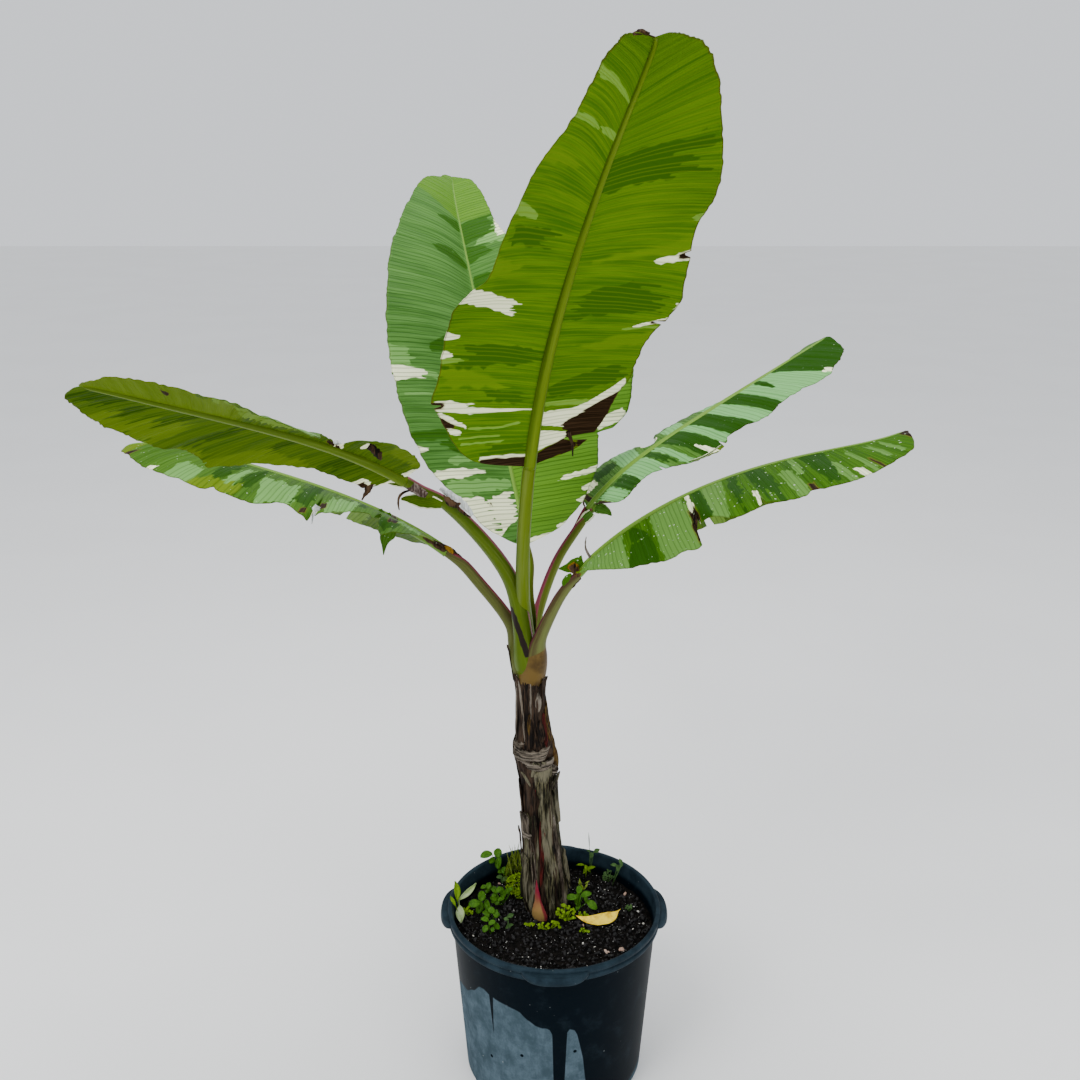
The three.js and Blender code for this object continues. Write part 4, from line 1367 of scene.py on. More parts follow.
RIGHT_UPPER = Leaf(
    name="right_upper",
    rib=((-30, 50, 755), (20, 240, 900), (60, 270, 965), (165, 240, 1030),
         (295, 290, 1104), (480, 400, 1190)),
    stalk=270, facing=36, lobe=5, beyond=2,
    left=Half(
        edge=((-5, 1), (4, 30), (20, 70), (40, 100), (80, 128), (120, 138), (133, 124),
              (137, 70), (150, 48), (166, 90), (172, 150), (200, 162), (240, 158),
              (280, 150), (320, 140), (360, 130), (400, 121), (440, 105), (480, 78),
              (515, 24), (530, 1)),
        folds=(5, 15, 20, 30, 20), lean=(4, 10),
    ),
    right=Half(
        edge=((-5, 1), (4, 14), (10, 50), (20, 82), (38, 93), (71, 92), (96, 98),
              (112, 114), (132, 131), (155, 140), (171, 143), (191, 145), (206, 138),
              (212, 134), (220, 125), (238, 125), (260, 128), (282, 126), (305, 117),
              (321, 113), (343, 112), (377, 118), (399, 120), (421, 108), (443, 96),
              (466, 84), (488, 68), (500, 52), (512, 32), (522, 16), (530, 1)),
        folds=(-20, -25, -15, -10, -5), lean=(6, 12),
    ),
    root=(-38, 55, 747), via=((-32, 86, 783), (3, 168, 857)),
    root_radius=12, tip_radius=9.5, wrap=140, foot=722, roll=38,
    patches=(
        Patch(DARK, R, (0, 125), (390, 530), (412, 530), 4),
        Patch(PALE, R, (60, 106), (444, 450), (436, 445), 4),
        Patch(PALE, R, (0, 126), (322, 390), (320, 412), 4),
        Patch(DARK, R, (2, 56), (352, 366), (346, 354), 6),
        Patch(DARK, R, (0, 126), (285, 322), (296, 320), 5),
        Patch(PALE, R, (0, 136), (253, 285), (262, 296), 5),
        Patch(DARK, R, (0, 132), (217, 253), (226, 262), 6),
        Patch(PALE, R, (0, 130), (197, 217), (208, 226), 8),
        Patch(DARK, R, (0, 152), (158, 197), (172, 208), 8),
        Patch(PALE, R, (6, 142), (138, 150), (142, 158), 14),
        Patch(DARK, R, (0, 110), (122, 136), (124, 138), 18),
        Patch(PALE, R, (0, 140), (76, 120), (76, 122), 12),
        Patch(DARK, R, (16, 90), (48, 76), (), 12),
        Patch(PALE, R, (10, 96), (14, 46), (), 12),
        Patch(YELLOW, R, (138, 160), (150, 216), (), 2),
        Patch(CREAM, R, (104, 150), (179, 185), (183, 196), 10),
        Patch(CREAM, R, (132, 150), (240, 262), (), 4),
        Patch(CREAM, R, (98, 112), (404, 418), (), 4),
        Patch(BROWN, R, (16, 72), (4, 13), (), 6),
        Patch(BROWN, R, (140, 152), (150, 160), (), 3),
        Patch(PALE, L, (0, 160), (256, 400), (), 10),
        Patch(PALE, L, (0, 80), (178, 216), (), 14),
        Patch(DARK, L, (78, 140), (216, 256), (), 10),
        Patch(DARK, L, (0, 160), (400, 420), (), 12),
        Patch(CREAM, L, (36, 70), (133, 166), (), 6),
        Patch(PALE, L, (0, 130), (84, 124), (), 24),
        Patch(DARK, L, (38, 82), (42, 82), (), 8),
        Patch(CREAM, L, (34, 68), (16, 40), (), 6),
        Patch(BROWN, L, (6, 40), (6, 14), (), 5),
    ),
    curls=(Curl(R, 180, 40, -8), Curl(L, 150, 30, -10), Curl(R, 250, 40, 6),
           Curl(R, 400, 60, 6)),
    tears=(Tear(R, 206, 4, 120), Tear(R, 113, 4, 96)),
    pleat=1.1,
)

RIGHT_LOWER = Leaf(
    name="right_lower",
    rib=((-20, 20, 740), (-25, 5, 890), (95, -10, 990), (265, -20, 1100),
         (400, -65, 1091), (505, -20, 1121)),
    stalk=170, facing=-4, lobe=1, beyond=4,
    left=Half(
        edge=((-1, 1), (8, 30), (40, 71), (80, 104), (120, 125), (160, 138), (200, 147),
              (240, 150), (280, 148), (320, 145), (360, 138), (400, 127), (440, 108),
              (480, 79), (520, 34), (548, 1)),
        folds=(30, 30, 30, 30, 30), lean=(-6, 15),
    ),
    right=Half(
        edge=((-1, 1), (2, 18), (8, 43), (20, 58), (40, 82), (60, 101), (80, 116),
              (97, 124), (125, 132), (147, 140), (175, 146), (199, 152), (203, 112),
              (212, 116), (225, 127), (236, 134), (253, 146), (275, 152), (290, 147),
              (292, 140), (295, 146), (325, 137), (342, 127), (356, 115), (369, 118),
              (386, 121), (403, 116), (431, 103), (447, 96), (470, 82), (492, 68),
              (508, 50), (520, 34), (535, 12), (548, 1)),
        folds=(-10, 5, -5, 0, 0), lean=(6, 15),
    ),
    root=(-31, 24, 747), via=((-26, 16, 777), (3, 8, 847)),
    root_radius=14, tip_radius=8.5, wrap=160, foot=700, roll=30,
    papery=752,
    patches=(
        Patch(BROWN, R, (2, 24), (-2, 6), (), 3),
        Patch(PALE, R, (0, 140), (12, 92), (), 16),
        Patch(DARK, R, (8, 60), (106, 113), (102, 136), 4),
        Patch(DARK, R, (60, 138), (100, 136), (84, 132), 5),
        Patch(PALE, R, (0, 160), (142, 199), (), 14),
        Patch(CREAM, R, (4, 82), (202, 208), (204, 212), 12),
        Patch(CREAM, R, (80, 130), (204, 210), (), 12),
        Patch(BROWN, R, (60, 112), (199, 211), (201, 212), 6),
        Patch(BROWN, R, (100, 142), (198, 203), (), 4),
        Patch(DARK, R, (0, 120), (212, 227), (214, 231), 8),
        Patch(PALE, R, (0, 142), (228, 262), (230, 250), 8),
        Patch(DARK, R, (0, 120), (268, 280), (), 34),
        Patch(DARK, R, (0, 120), (296, 322), (), 30),
        Patch(PALE, R, (50, 132), (330, 350), (336, 353), 8),
        Patch(PALE, R, (2, 70), (358, 369), (352, 362), 8),
        Patch(DARK, R, (4, 114), (374, 412), (378, 389), 8),
        Patch(PALE, R, (50, 126), (393, 409), (396, 407), 8),
        Patch(CREAM, R, (82, 114), (414, 424), (), 5),
        Patch(PALE, R, (24, 104), (430, 440), (), 14),
        Patch(BROWN, R, (60, 112), (443, 446), (), 3),
        Patch(BROWN, R, (98, 126), (354, 362), (), 3),
        Patch(CREAM, R, (104, 160), (287, 292), (), 8),
        Patch(PALE, R, (20, 60), (462, 470), (), 14),
        Patch(PALE, R, (16, 60), (484, 492), (), 14),
        Patch(BROWN, R, (0, 34), (528, 550), (518, 550), 4),
        Patch(YELLOW, R, (0, 60), (-4, 14), (), 12),
        Patch(PALE, L, (0, 160), (60, 96), (), 16),
        Patch(PALE, L, (0, 160), (210, 240), (), 16),
        Patch(PALE, L, (0, 160), (350, 372), (), 16),
    ),
    curls=(Curl(R, 200, 24, -12, 0.4), Curl(R, 222, 18, 10, 0.4), Curl(R, 356, 24, -5),
           Curl(R, 292, 18, 6), Curl(R, 60, 60, 8)),
    tears=(Tear(R, 205, 10, 78), Tear(R, 292, 4, 128), Tear(L, 215, 12, 90)),
    pleat=0.9,
)

LEAVES = (FRONT, BACK, LEFT_UPPER, LEFT_LOWER, RIGHT_UPPER, RIGHT_LOWER)


class LeafShape:
    """The line and surface of one leaf, by the same rule as the frame's solids."""

    lean_from, lean_to = 0.35, 0.85
    curl_per_mm = 10 / 150
    rib_tip_radius = 2.5
    line_points = 1201
    tangent_step = 4.0

    def __init__(self, leaf: Leaf) -> None:
        """Works out the midrib's line.

        Args:
            leaf: The leaf.
        """
        self.leaf = leaf
        points = np.repeat(np.array(leaf.rib, float)[None], self.line_points, axis=0)
        u = np.linspace(0, 1, self.line_points)[:, None, None]
        while points.shape[1] > 1:
            points = points[:, :-1] * (1 - u) + points[:, 1:] * u
        self.line = points[:, 0]
        gaps = np.linalg.norm(np.diff(self.line, axis=0), axis=1)
        self.run = np.concatenate([[0], np.cumsum(gaps)])
        self.total = self.run[-1]
        self.blade = self.total - leaf.stalk
        self.start = -leaf.lobe
        self.end = self.blade + leaf.beyond
        way = math.radians(leaf.facing)
        self.level = np.cross([0, 0, 1], [math.cos(way), math.sin(way), 0])
        self.halves = {Side.LEFT: leaf.left, Side.RIGHT: leaf.right}
        self.edges = {
            side: SmoothCurve([p[0] for p in half.edge], [p[1] for p in half.edge])
            for side, half in self.halves.items()
        }
        self.folds = {
            side: SmoothCurve(np.linspace(0, 1, len(half.folds)), half.folds)
            for side, half in self.halves.items()
        }

    def frame(self, s: Array) -> tuple[Array, Array, Array, Array]:
        """Middle, tangent, level direction across and upper side's normal at s."""
        distance = self.leaf.stalk + np.asarray(s, float)
        inside = np.clip(distance, 0, self.total)

        def on_line(run: Array) -> Array:
            """Points of the midrib's line."""
            run = np.clip(run, 0, self.total)
            return np.stack([np.interp(run, self.run, self.line[:, k]) for k in range(3)], -1)

        tangent = unit(on_line(inside + self.tangent_step) - on_line(inside - self.tangent_step))
        middle = on_line(inside) + tangent * (distance - inside)[..., None]
        across = unit(self.level - tangent * (tangent @ self.level)[..., None])
        return middle, tangent, across, np.cross(tangent, across)

    def share(self, s: Array) -> Array:
        """Place along the blade, from 0 at its base to 1 at its tip."""
        return (np.asarray(s, float) - self.start) / (self.end - self.start)

    def lean(self, row: Array, side: Side) -> Array:
        """Tangent of the veins' lean at a row."""
        base, tip = self.halves[side].lean
        rise = smoothstep(self.lean_from, self.lean_to, self.share(row))
        return np.tan(np.radians(base + (tip - base) * rise))

    def point(self, row: Array, t: Array, side: Side, lift: Array) -> Array:
        """Points of the blade.

        Args:
            row: Where the vein leaves the midrib.
            t: Distance across.
            side: The half.
            lift: Lift off the middle layer, towards the upper side.

        Returns:
            Points in millimetres.
        """
        s = row + t * self.lean(row, side)
        middle, _, across, up = self.frame(s)
        angle = np.radians(self.folds[side].at(np.clip(s / self.blade, 0, 1))
                           + self.curl_per_mm * t)[..., None]
        out = across * side.value * np.cos(angle) - up * np.sin(angle)
        normal = across * side.value * np.sin(angle) + up * np.cos(angle)
        return middle + out * t[..., None] + normal * lift[..., None]

    def rib_radius(self, s: Array) -> Array:
        """Half thickness of the midrib at s."""
        tip = self.leaf.tip_radius
        return tip + (self.rib_tip_radius - tip) * np.clip(self.share(s), 0, 1)


class BladePiece:
    """The blade of one leaf: a thin pleated sheet with torn and curled margins."""

    rows = 520
    columns = 41
    thickness = 0.9
    rim_width = 3.0
    patch_depth = 16.0

    def __init__(self, shape: LeafShape, seed: int) -> None:
        """Keeps the leaf's shape.

        Args:
            shape: The leaf's shape.
            seed: Seed of its noise.
        """
        self.shape = shape
        self.leaf = shape.leaf
        self.noise = Noise(seed)

    def reach(self, row: Array, side: Side) -> Array:
        """Distance t at which the vein of a row meets the margin, splits included."""
        reach = self.shape.edges[side].at(row)
        wave = 1.6 * self.noise.soft(row + side.value * 300, 17)
        wave = wave + 0.8 * self.noise.soft(row - side.value * 100, 5)
        reach = reach + wave * smoothstep(12, 60, reach)
        for tear in self.leaf.tears:
            if tear.side is side:
                away = np.abs(row - tear.row) / (tear.open / 2)
                cut = tear.reach + (reach - tear.reach) * np.clip(away, 0, 1) ** 2
                reach = np.where((away < 1) & (reach > tear.reach), cut, reach)
        return np.maximum(reach, 0.4)

    def lift(self, row: Array, t: Array, reach: Array, side: Side) -> Array:
        """Lift of the sheet off its middle layer: pleats, waves and curled margins."""
        grow = smoothstep(2, 26, t)
        pleats = self.leaf.pleat * grow * (
            0.75 * self.noise.soft(row + side.value * 40, 5.5)
            + 0.6 * self.noise.soft(row, 11) + 0.8 * self.noise.soft(row + 77, 31))
        waves = 3.0 * (t / 150) ** 2 * self.noise.soft(row + side.value * 500, 48)
        lift = pleats + waves
        out = np.clip(t / np.maximum(reach, 1), 0, 1)
        for curl in self.leaf.curls:
            if curl.side is side:
                near = np.exp(-((row - curl.row) / curl.width) ** 2)
                lift = lift + curl.lift * near * smoothstep(curl.begin, 1.0, out) ** 1.5
        return lift * smoothstep(0, 25, reach)

    def fields(self, row: Array, t: Array, side: Array) -> dict[Tone, Array]:
        """How deep each point lies inside the patches of each tone.

        Args:
            row: Row of each point.
            t: Distance across of each point.
            side: 1 on the left half and -1 on the right half.

        Returns:
            For each tone 0.5 on a patch's edge, more inside and less outside.
        """
        fields = {tone: np.zeros(len(row)) for tone in Tone}
        for number, patch in enumerate(self.leaf.patches):
            near, far = patch.across
            jag = patch.fray * (0.6 * self.noise.steps(row + 37 * number, 5.0)
                                + 0.5 * self.noise.steps(row + 91 * number, 2.2))
            jag_far = patch.fray * self.noise.steps(row + 61 * number + 900, 4.2)
            share = np.clip((t - near) / (far - near), -0.2, 1.2)
            inner, outer = np.array(patch.inner), np.array(patch.outer or patch.inner)
            low, high = inner[:, None] * (1 - share) + outer[:, None] * share
            drift = 0.12 * patch.fray + 0.6
            low = low + drift * self.noise.soft(t + 53 * number, 8)
            high = high + drift * self.noise.soft(t + 53 * number + 700, 8)
            inside = np.minimum.reduce([
                row - low, high - row, t - near - jag * (near > 4), far + jag_far - t,
            ])
            value = np.clip(0.5 + inside / self.patch_depth, 0, 1)
            value = np.where(side == patch.side.value, value, 0)
            fields[patch.tone] = np.maximum(fields[patch.tone], value)
        return fields

    def build(self, upper: bpy.types.Material, under: bpy.types.Material) -> bpy.types.Object:
        """Models the blade.

        Args:
            upper: Finish of its upper side.
            under: Finish of its underside.

        Returns:
            The blade, with a UV map of row and t and one attribute for each tone.
        """
        shape = self.shape
        middle = (self.columns - 1) // 2
        rows = np.linspace(shape.start, shape.end, self.rows)
        kept: dict[str, Array] = {}

        def place(i: Array, j: Array) -> Array:
            """Points of the blade for row and column numbers."""
            row = rows[i]
            out = (j - middle) / middle
            spots = np.zeros((len(i), 3))
            distance = np.zeros(len(i))
            margin = np.zeros(len(i))
            for side in Side:
                own = out >= 0 if side is Side.LEFT else out < 0
                reach = self.reach(row[own], side)
                v = np.abs(out[own])
                t = reach * (1 - (1 - v) ** 1.25)
                lift = self.lift(row[own], t, reach, side)
                spots[own] = shape.point(row[own], t, side, lift)
                distance[own] = t
                margin[own] = np.clip(1 - (reach - t) / self.rim_width, 0, 1)
            kept.update(row=row, t=distance, side=np.where(out >= 0, 1, -1), rim=margin)
            return spots

        piece = Workshop.sheet(f"blade_{self.leaf.name}", self.rows, self.columns, place)
        Workshop.unwrap(piece, kept["row"] * MM, kept["t"] * kept["side"] * MM)
        for tone, values in self.fields(kept["row"], kept["t"], kept["side"]).items():
            Workshop.keep(piece, tone.value, values)
        Workshop.keep(piece, "rim", kept["rim"])
        piece.data.materials.append(upper)
        piece.data.materials.append(under)
        Workshop.thicken(piece, self.thickness, under=True)
        return piece


class MidribPiece:
    """The midrib of one blade: a keel below and a shallow channel above."""

    rings = 110
    around = 21

    def __init__(self, shape: LeafShape) -> None:
        """Keeps the leaf's shape."""
        self.shape = shape

    def build(self) -> bpy.types.Object:
        """Models the midrib.

        Returns:
            The midrib, with a UV map and the attributes that stalks have.
        """
        shape = self.shape
        places = np.linspace(shape.start - 1, shape.end - 4, self.rings)

        def place(i: Array, j: Array) -> Array:
            """Points of the midrib for ring and point numbers."""
            s = places[i]
            angle = 2 * math.pi * j / (self.around - 1)
            middle, _, across, up = shape.frame(s)
            radius = shape.rib_radius(s) * smoothstep(-2, 14, shape.end - s)
            side, rise = np.cos(angle), np.sin(angle)
            groove = 0.9 * np.exp(-(side / 0.45) ** 2) * (rise > 0)
            height = np.where(rise > 0, rise * 0.55 - groove * 0.5, rise * 1.15)
            return (middle + across * (radius * side)[:, None]
                    + up * (radius * height)[:, None])

        piece = Workshop.sheet(f"midrib_{shape.leaf.name}", self.rings, self.around, place,
                               closed=True)
        rows = Workshop.read(piece, "row")
        turns = Workshop.read(piece, "column") / (self.around - 1)
        s = np.interp(rows, np.arange(self.rings), places)
        Workshop.unwrap(piece, s * MM, np.abs(turns - 0.5) * 0.05)
        Workshop.keep(piece, "across", np.abs(np.cos(turns * 2 * math.pi)))
        for name in ("edge", "rot", "shine", "papery"):
            Workshop.keep(piece, name, np.zeros(len(rows)))
        return piece


# The false stem and what is on it


@dataclass
class StemShape:
    """The leaning false stem: where its middle passes and how thick it is."""

    foot: Pair = (-12, 40)
    head: Pair = (-43, 40)
    soil_top: float = 267
    foot_height: float = 271.3
    top: float = 745
    profile: Sequence[Pair] = (
        (0.00, 31), (0.05, 35), (0.14, 34.5), (0.30, 29), (0.42, 26.5), (0.53, 26.5),
        (0.60, 31), (0.64, 31.5), (0.68, 28), (0.77, 23), (0.88, 20.5), (1.00, 21),
    )

    def share(self, height: Array) -> Array:
        """Place along the stem, from 0 at the soil to 1 at its head."""
        return (np.asarray(height, float) - self.soil_top) / (self.top - self.soil_top)

    def axis(self, height: Array) -> Array:
        """Middle of the stem at a height, as x and y."""
        u = self.share(height)[..., None]
        return np.array(self.foot, float) * (1 - u) + np.array(self.head, float) * u

    def radius(self, height: Array) -> Array:
        """Mean radius of the stem at a height."""
        stations, values = zip(*self.profile)
        return np.interp(np.clip(self.share(height), 0, 1), stations, values)

    def skin(self, height: Array, angle: Array, stand: Array) -> Array:
        """Points that stand off the stem's mean surface.

        Args:
            height: Height of each point.
            angle: Compass angle of each point, in radians.
            stand: Distance off the surface.

        Returns:
            Points in millimetres.
        """
        radius = self.radius(height) + stand
        centre = self.axis(height)
        return np.stack([centre[..., 0] + radius * np.cos(angle),
                         centre[..., 1] + radius * np.sin(angle), height], -1)


class StalkPiece:
    """A leaf stalk: a sheath round the stem that closes into a channelled stalk."""

    rings = 90
    arc = 15
    closed_half_angle = 118
    sheath_wall = 2.2
    rot_half_width = 5.5

    def __init__(self, shape: LeafShape, stem: StemShape, layer: float, seed: int) -> None:
        """Keeps what the stalk grows from.

        Args:
            shape: The leaf's shape.
            stem: The false stem.
            layer: How far its sheath lies off the stem's own radius.
            seed: Seed of its noise.
        """
        self.shape, self.stem, self.layer = shape, stem, layer
        self.noise = Noise(seed)

    def build(self) -> bpy.types.Object:
        """Models the stalk.

        Returns:
            The stalk, with a UV map and the attributes of its colours.
        """
        leaf, shape, stem = self.shape.leaf, self.shape, self.stem
        foot = leaf.foot
        low = stem.axis(np.array(foot))
        end = shape.frame(np.array([shape.start + 1.0]))[0][0]
        before = shape.frame(np.array([shape.start - 30.0]))[0][0]
        points = [(low[0], low[1], foot), leaf.root, *leaf.via, tuple(before), tuple(end)]
        share = np.linspace(0, 1, self.rings)
        line = line_through(points, share)
        tangent = unit(np.gradient(line, axis=0))
        across = unit(shape.level - tangent * (tangent @ shape.level)[:, None])
        up = np.cross(tangent, across)
        length = np.linalg.norm(np.diff(line, axis=0), axis=1).sum()
        run = share * length
        roll = np.radians(leaf.roll * smoothstep(0.1, 0.4, share)
                          * (1 - smoothstep(0.85, 1.0, share)))[:, None]
        across, up = (across * np.cos(roll) - up * np.sin(roll),
                      up * np.cos(roll) + across * np.sin(roll))
        root_run = np.linalg.norm(np.array(leaf.root) - line[0])
        opened = 1 - smoothstep(0.2 * root_run, leaf.opening * root_run + 20, run)
        slim = leaf.root_radius + (leaf.tip_radius - leaf.root_radius) * np.clip(
            (run - root_run) / (length - root_run), 0, 1) ** 0.6
        wide = stem.radius(line[:, 2]) + self.layer
        radius = slim * (1 - opened) + wide * opened
        half = np.radians(self.closed_half_angle
                          + (leaf.wrap - self.closed_half_angle) * opened)
        wall = (0.62 - 0.40 * opened) * radius * (1 - opened) + self.sheath_wall * opened
        around = 2 * self.arc + 1

        def place(i: Array, j: Array) -> Array:
            """Points of the stalk: out along the back, then back along the channel."""
            outer = j <= self.arc
            step = np.where(outer, j, 2 * self.arc - j) / self.arc
            step = np.where(j == 2 * self.arc, 0, step)
            turn = (step * 2 - 1) * half[i]
            thick = wall[i] * (1 - 0.8 * np.abs(step * 2 - 1) ** 2.5) + 0.5
            inner = np.maximum(radius[i] - thick, 0.25 * radius[i])
            reach = np.where(outer | (j == 2 * self.arc), radius[i], inner)
            wobble = 1 + 0.012 * self.noise.soft(turn * 60 / math.pi + i * 0.03, 5)
            side = np.sin(turn) * reach * wobble
            rise = -np.cos(turn) * reach * wobble
            return line[i] + across[i] * side[:, None] + up[i] * rise[:, None]

        piece = Workshop.sheet(f"stalk_skin_{leaf.name}", self.rings, around, place,
                               closed=True)
        rows = Workshop.read(piece, "row")
        column = Workshop.read(piece, "column")
        step = np.where(column <= self.arc, column, 2 * self.arc - column) / self.arc
        centred = step * 2 - 1
        runs = rows / (self.rings - 1) * length
        Workshop.unwrap(piece, runs * MM, centred * 0.02)
        Workshop.keep(piece, "across", np.abs(centred))
        Workshop.keep(piece, "edge", smoothstep(0.62, 1.0, np.abs(centred)))
        height = rows / self.rings
        # A painted highlight: a light line along one flank of the stalk, fading in above its foot
        shine = np.exp(-((centred + 0.28) / 0.06) ** 2) * smoothstep(0.1, 0.3, height)
        Workshop.keep(piece, "shine", 0.6 * shine)
        rot = (1 - smoothstep(0.0, 0.22, height)) * smoothstep(0.6, 1.0, np.abs(centred))
        spots = Workshop.spots(piece)
        if leaf.rotten:
            (x0, z0), (x1, z1) = leaf.rotten
            share = (spots[:, 2] - z0) / (z1 - z0)
            off = (spots[:, 0] - x0 - (x1 - x0) * share) / self.rot_half_width
            rot = np.maximum(rot, np.exp(-off ** 2) * (share > -0.05) * (share < 1.1))
        Workshop.keep(piece, "rot", rot)
        Workshop.keep(piece, "papery", 1 - smoothstep(
            leaf.papery - 8, leaf.papery + 8, spots[:, 2] - 0.5 * (spots[:, 0] + 40)))
        return piece


@dataclass(frozen=True)
class Strip:
    """A dry sheath strip on the stem.

    Attributes:
        name: Its name.
        low: Height of its foot.
        high: Height of its top.
        way: Compass angle of its middle at the foot, in degrees.
        turn: How far its middle turns on the way up, in degrees.
        width: Half its width, in degrees.
        stand: How far it stands off the stem at the foot and at the top.
        finish: Which dry finish it has.
        ragged: How ragged its ends are.
        flare: How far its two edges stand off.
    """

    name: str
    low: float
    high: float
    way: float
    turn: float
    width: float
    stand: Pair
    finish: Dry
    ragged: float = 12.0
    flare: float = 2.0


STRIPS = (
    Strip("old_sheath_right", 268, 560, -46, -8, 38, (1.5, 2.5), Dry.OLIVE),
    Strip("old_sheath_left", 266, 470, -140, 8, 32, (2.0, 3.0), Dry.OLIVE),
    Strip("old_sheath_back", 266, 600, 90, 20, 80, (1.5, 2.0), Dry.UMBER),
    Strip("old_sheath_far_left", 268, 520, 175, -10, 40, (2.0, 2.0), Dry.UMBER),
    Strip("old_sheath_far_right", 268, 540, 0, 10, 40, (2.0, 2.0), Dry.OLIVE),
    Strip("middle_sheath_front", 300, 700, -100, 10, 34, (0.8, 1.4), Dry.UMBER),
    Strip("middle_gap", 340, 462, -96, 10, 6, (1.6, 1.8), Dry.RED, 14),
    Strip("upper_sheath_left", 560, 712, -135, 12, 40, (1.0, 2.4), Dry.UMBER, 16),
    Strip("upper_sheath_right", 575, 706, -55, -4, 36, (1.5, 2.0), Dry.UMBER, 18),
    Strip("upper_sheath_back", 560, 720, 80, 10, 75, (1.0, 1.5), Dry.UMBER, 18),
    Strip("tan_strip", 596, 668, -30, 6, 9, (2.2, 2.6), Dry.TAN, 8),
    Strip("tan_strip_left", 612, 652, -104, 6, 6, (2.0, 2.2), Dry.TAN, 8),
    Strip("red_strip", 590, 650, -52, 4, 7, (2.4, 2.4), Dry.RED, 8),
    Strip("pale_strand_left", 600, 716, -118, -16, 4, (3.0, 4.5), Dry.STRAW, 4),
    Strip("pale_strand_middle", 640, 718, -96, 8, 3, (3.0, 4.0), Dry.STRAW, 4),
    Strip("pale_strand_far_left", 580, 722, -160, 4, 6, (2.4, 4.0), Dry.STRAW, 4),
    Strip("red_streak_low", 335, 440, -99, 20, 3, (3.0, 3.0), Dry.RED, 6),
    Strip("red_streak_high", 470, 516, -112, 16, 4, (2.4, 2.4), Dry.RED, 6),
    Strip("curled_strip", 520, 548, -112, -18, 5, (3.0, 5.0), Dry.OLIVE, 5),
    Strip("top_flap_left", 690, 718, -150, 10, 12, (3.0, 6.0), Dry.UMBER, 9, 3),
    Strip("top_flap_right", 655, 714, -30, -6, 14, (3.0, 5.5), Dry.UMBER, 9, 3),
    Strip("top_spike_left", 700, 764, -168, 4, 4, (6.0, 9.0), Dry.UMBER, 4),
    Strip("flap_above_knot", 600, 640, -70, 6, 12, (5.0, 2.5), Dry.UMBER, 9, 3),
    Strip("flap_below_knot", 540, 574, -86, 8, 16, (2.0, 5.0), Dry.OLIVE, 10, 3),
    Strip("right_low_flap", 440, 540, -18, -8, 14, (3.5, 6.5), Dry.OLIVE, 10, 3),
    Strip("left_low_flap", 300, 392, -150, 8, 14, (6.0, 4.0), Dry.OLIVE, 9, 4),
    Strip("middle_rope", 300, 470, -70, -12, 7, (4.6, 5.6), Dry.OLIVE, 9, 3),
    Strip("middle_rope_left", 340, 520, -120, 22, 6, (4.2, 5.4), Dry.UMBER, 9, 3),
    Strip("left_flap", 356, 436, -176, 8, 12, (3.0, 7.0), Dry.UMBER, 9, 3),
    Strip("left_bump", 424, 470, -142, 4, 20, (3.0, 6.0), Dry.STRAW, 8, 3),
    Strip("right_flap", 316, 402, -14, -10, 9, (7.0, 5.0), Dry.OLIVE, 8, 4),
    Strip("grey_fluff", 655, 690, -66, 10, 11, (2.4, 4.0), Dry.STRAW, 12, 2),
    Strip("low_rope", 290, 520, -80, 30, 6, (3.4, 4.6), Dry.OLIVE, 10),
    Strip("low_rope_left", 290, 430, -110, -8, 6, (4.0, 4.6), Dry.STRAW, 10),
    Strip("low_rope_right", 280, 470, -34, -14, 6, (3.8, 4.2), Dry.STRAW, 10),
    Strip("side_rope", 290, 540, -60, 12, 5, (3.6, 4.4), Dry.UMBER, 10),
    Strip("outer_rope", 300, 500, -48, -20, 5, (4.0, 4.4), Dry.OLIVE, 10),
    Strip("left_rope", 280, 400, -128, 14, 6, (4.0, 4.4), Dry.OLIVE, 10),
)


@dataclass(frozen=True)
class Band:
    """A twisted pale band that a dried stalk leaves across the stem.

    Attributes:
        ways: Compass angles at which it starts and ends, in degrees.
        level: Height of its start.
        size: Half its thickness.
    """

    ways: Pair
    level: float
    size: float


BANDS = (
    Band((-176, -34), 583, 9.0), Band((-128, -20), 563, 6.0), Band((-178, -120), 592, 5.0),
    Band((-44, -6), 552, 8.0), Band((-166, -108), 428, 5.5),
)


@dataclass(frozen=True)
class Scale:
    """A pointed scale that hugs the stem, such as the shoot at its foot.

    Attributes:
        name: Its name.
        way: Its compass angle, in degrees.
        low: Height of its foot.
        high: Height of its tip.
        width: Half its width at its widest.
        stand: How far its foot and its tip stand off the stem.
        seed: Seed of its noise.
    """

    name: str
    way: float
    low: float
    high: float
    width: float
    stand: Pair
    seed: int


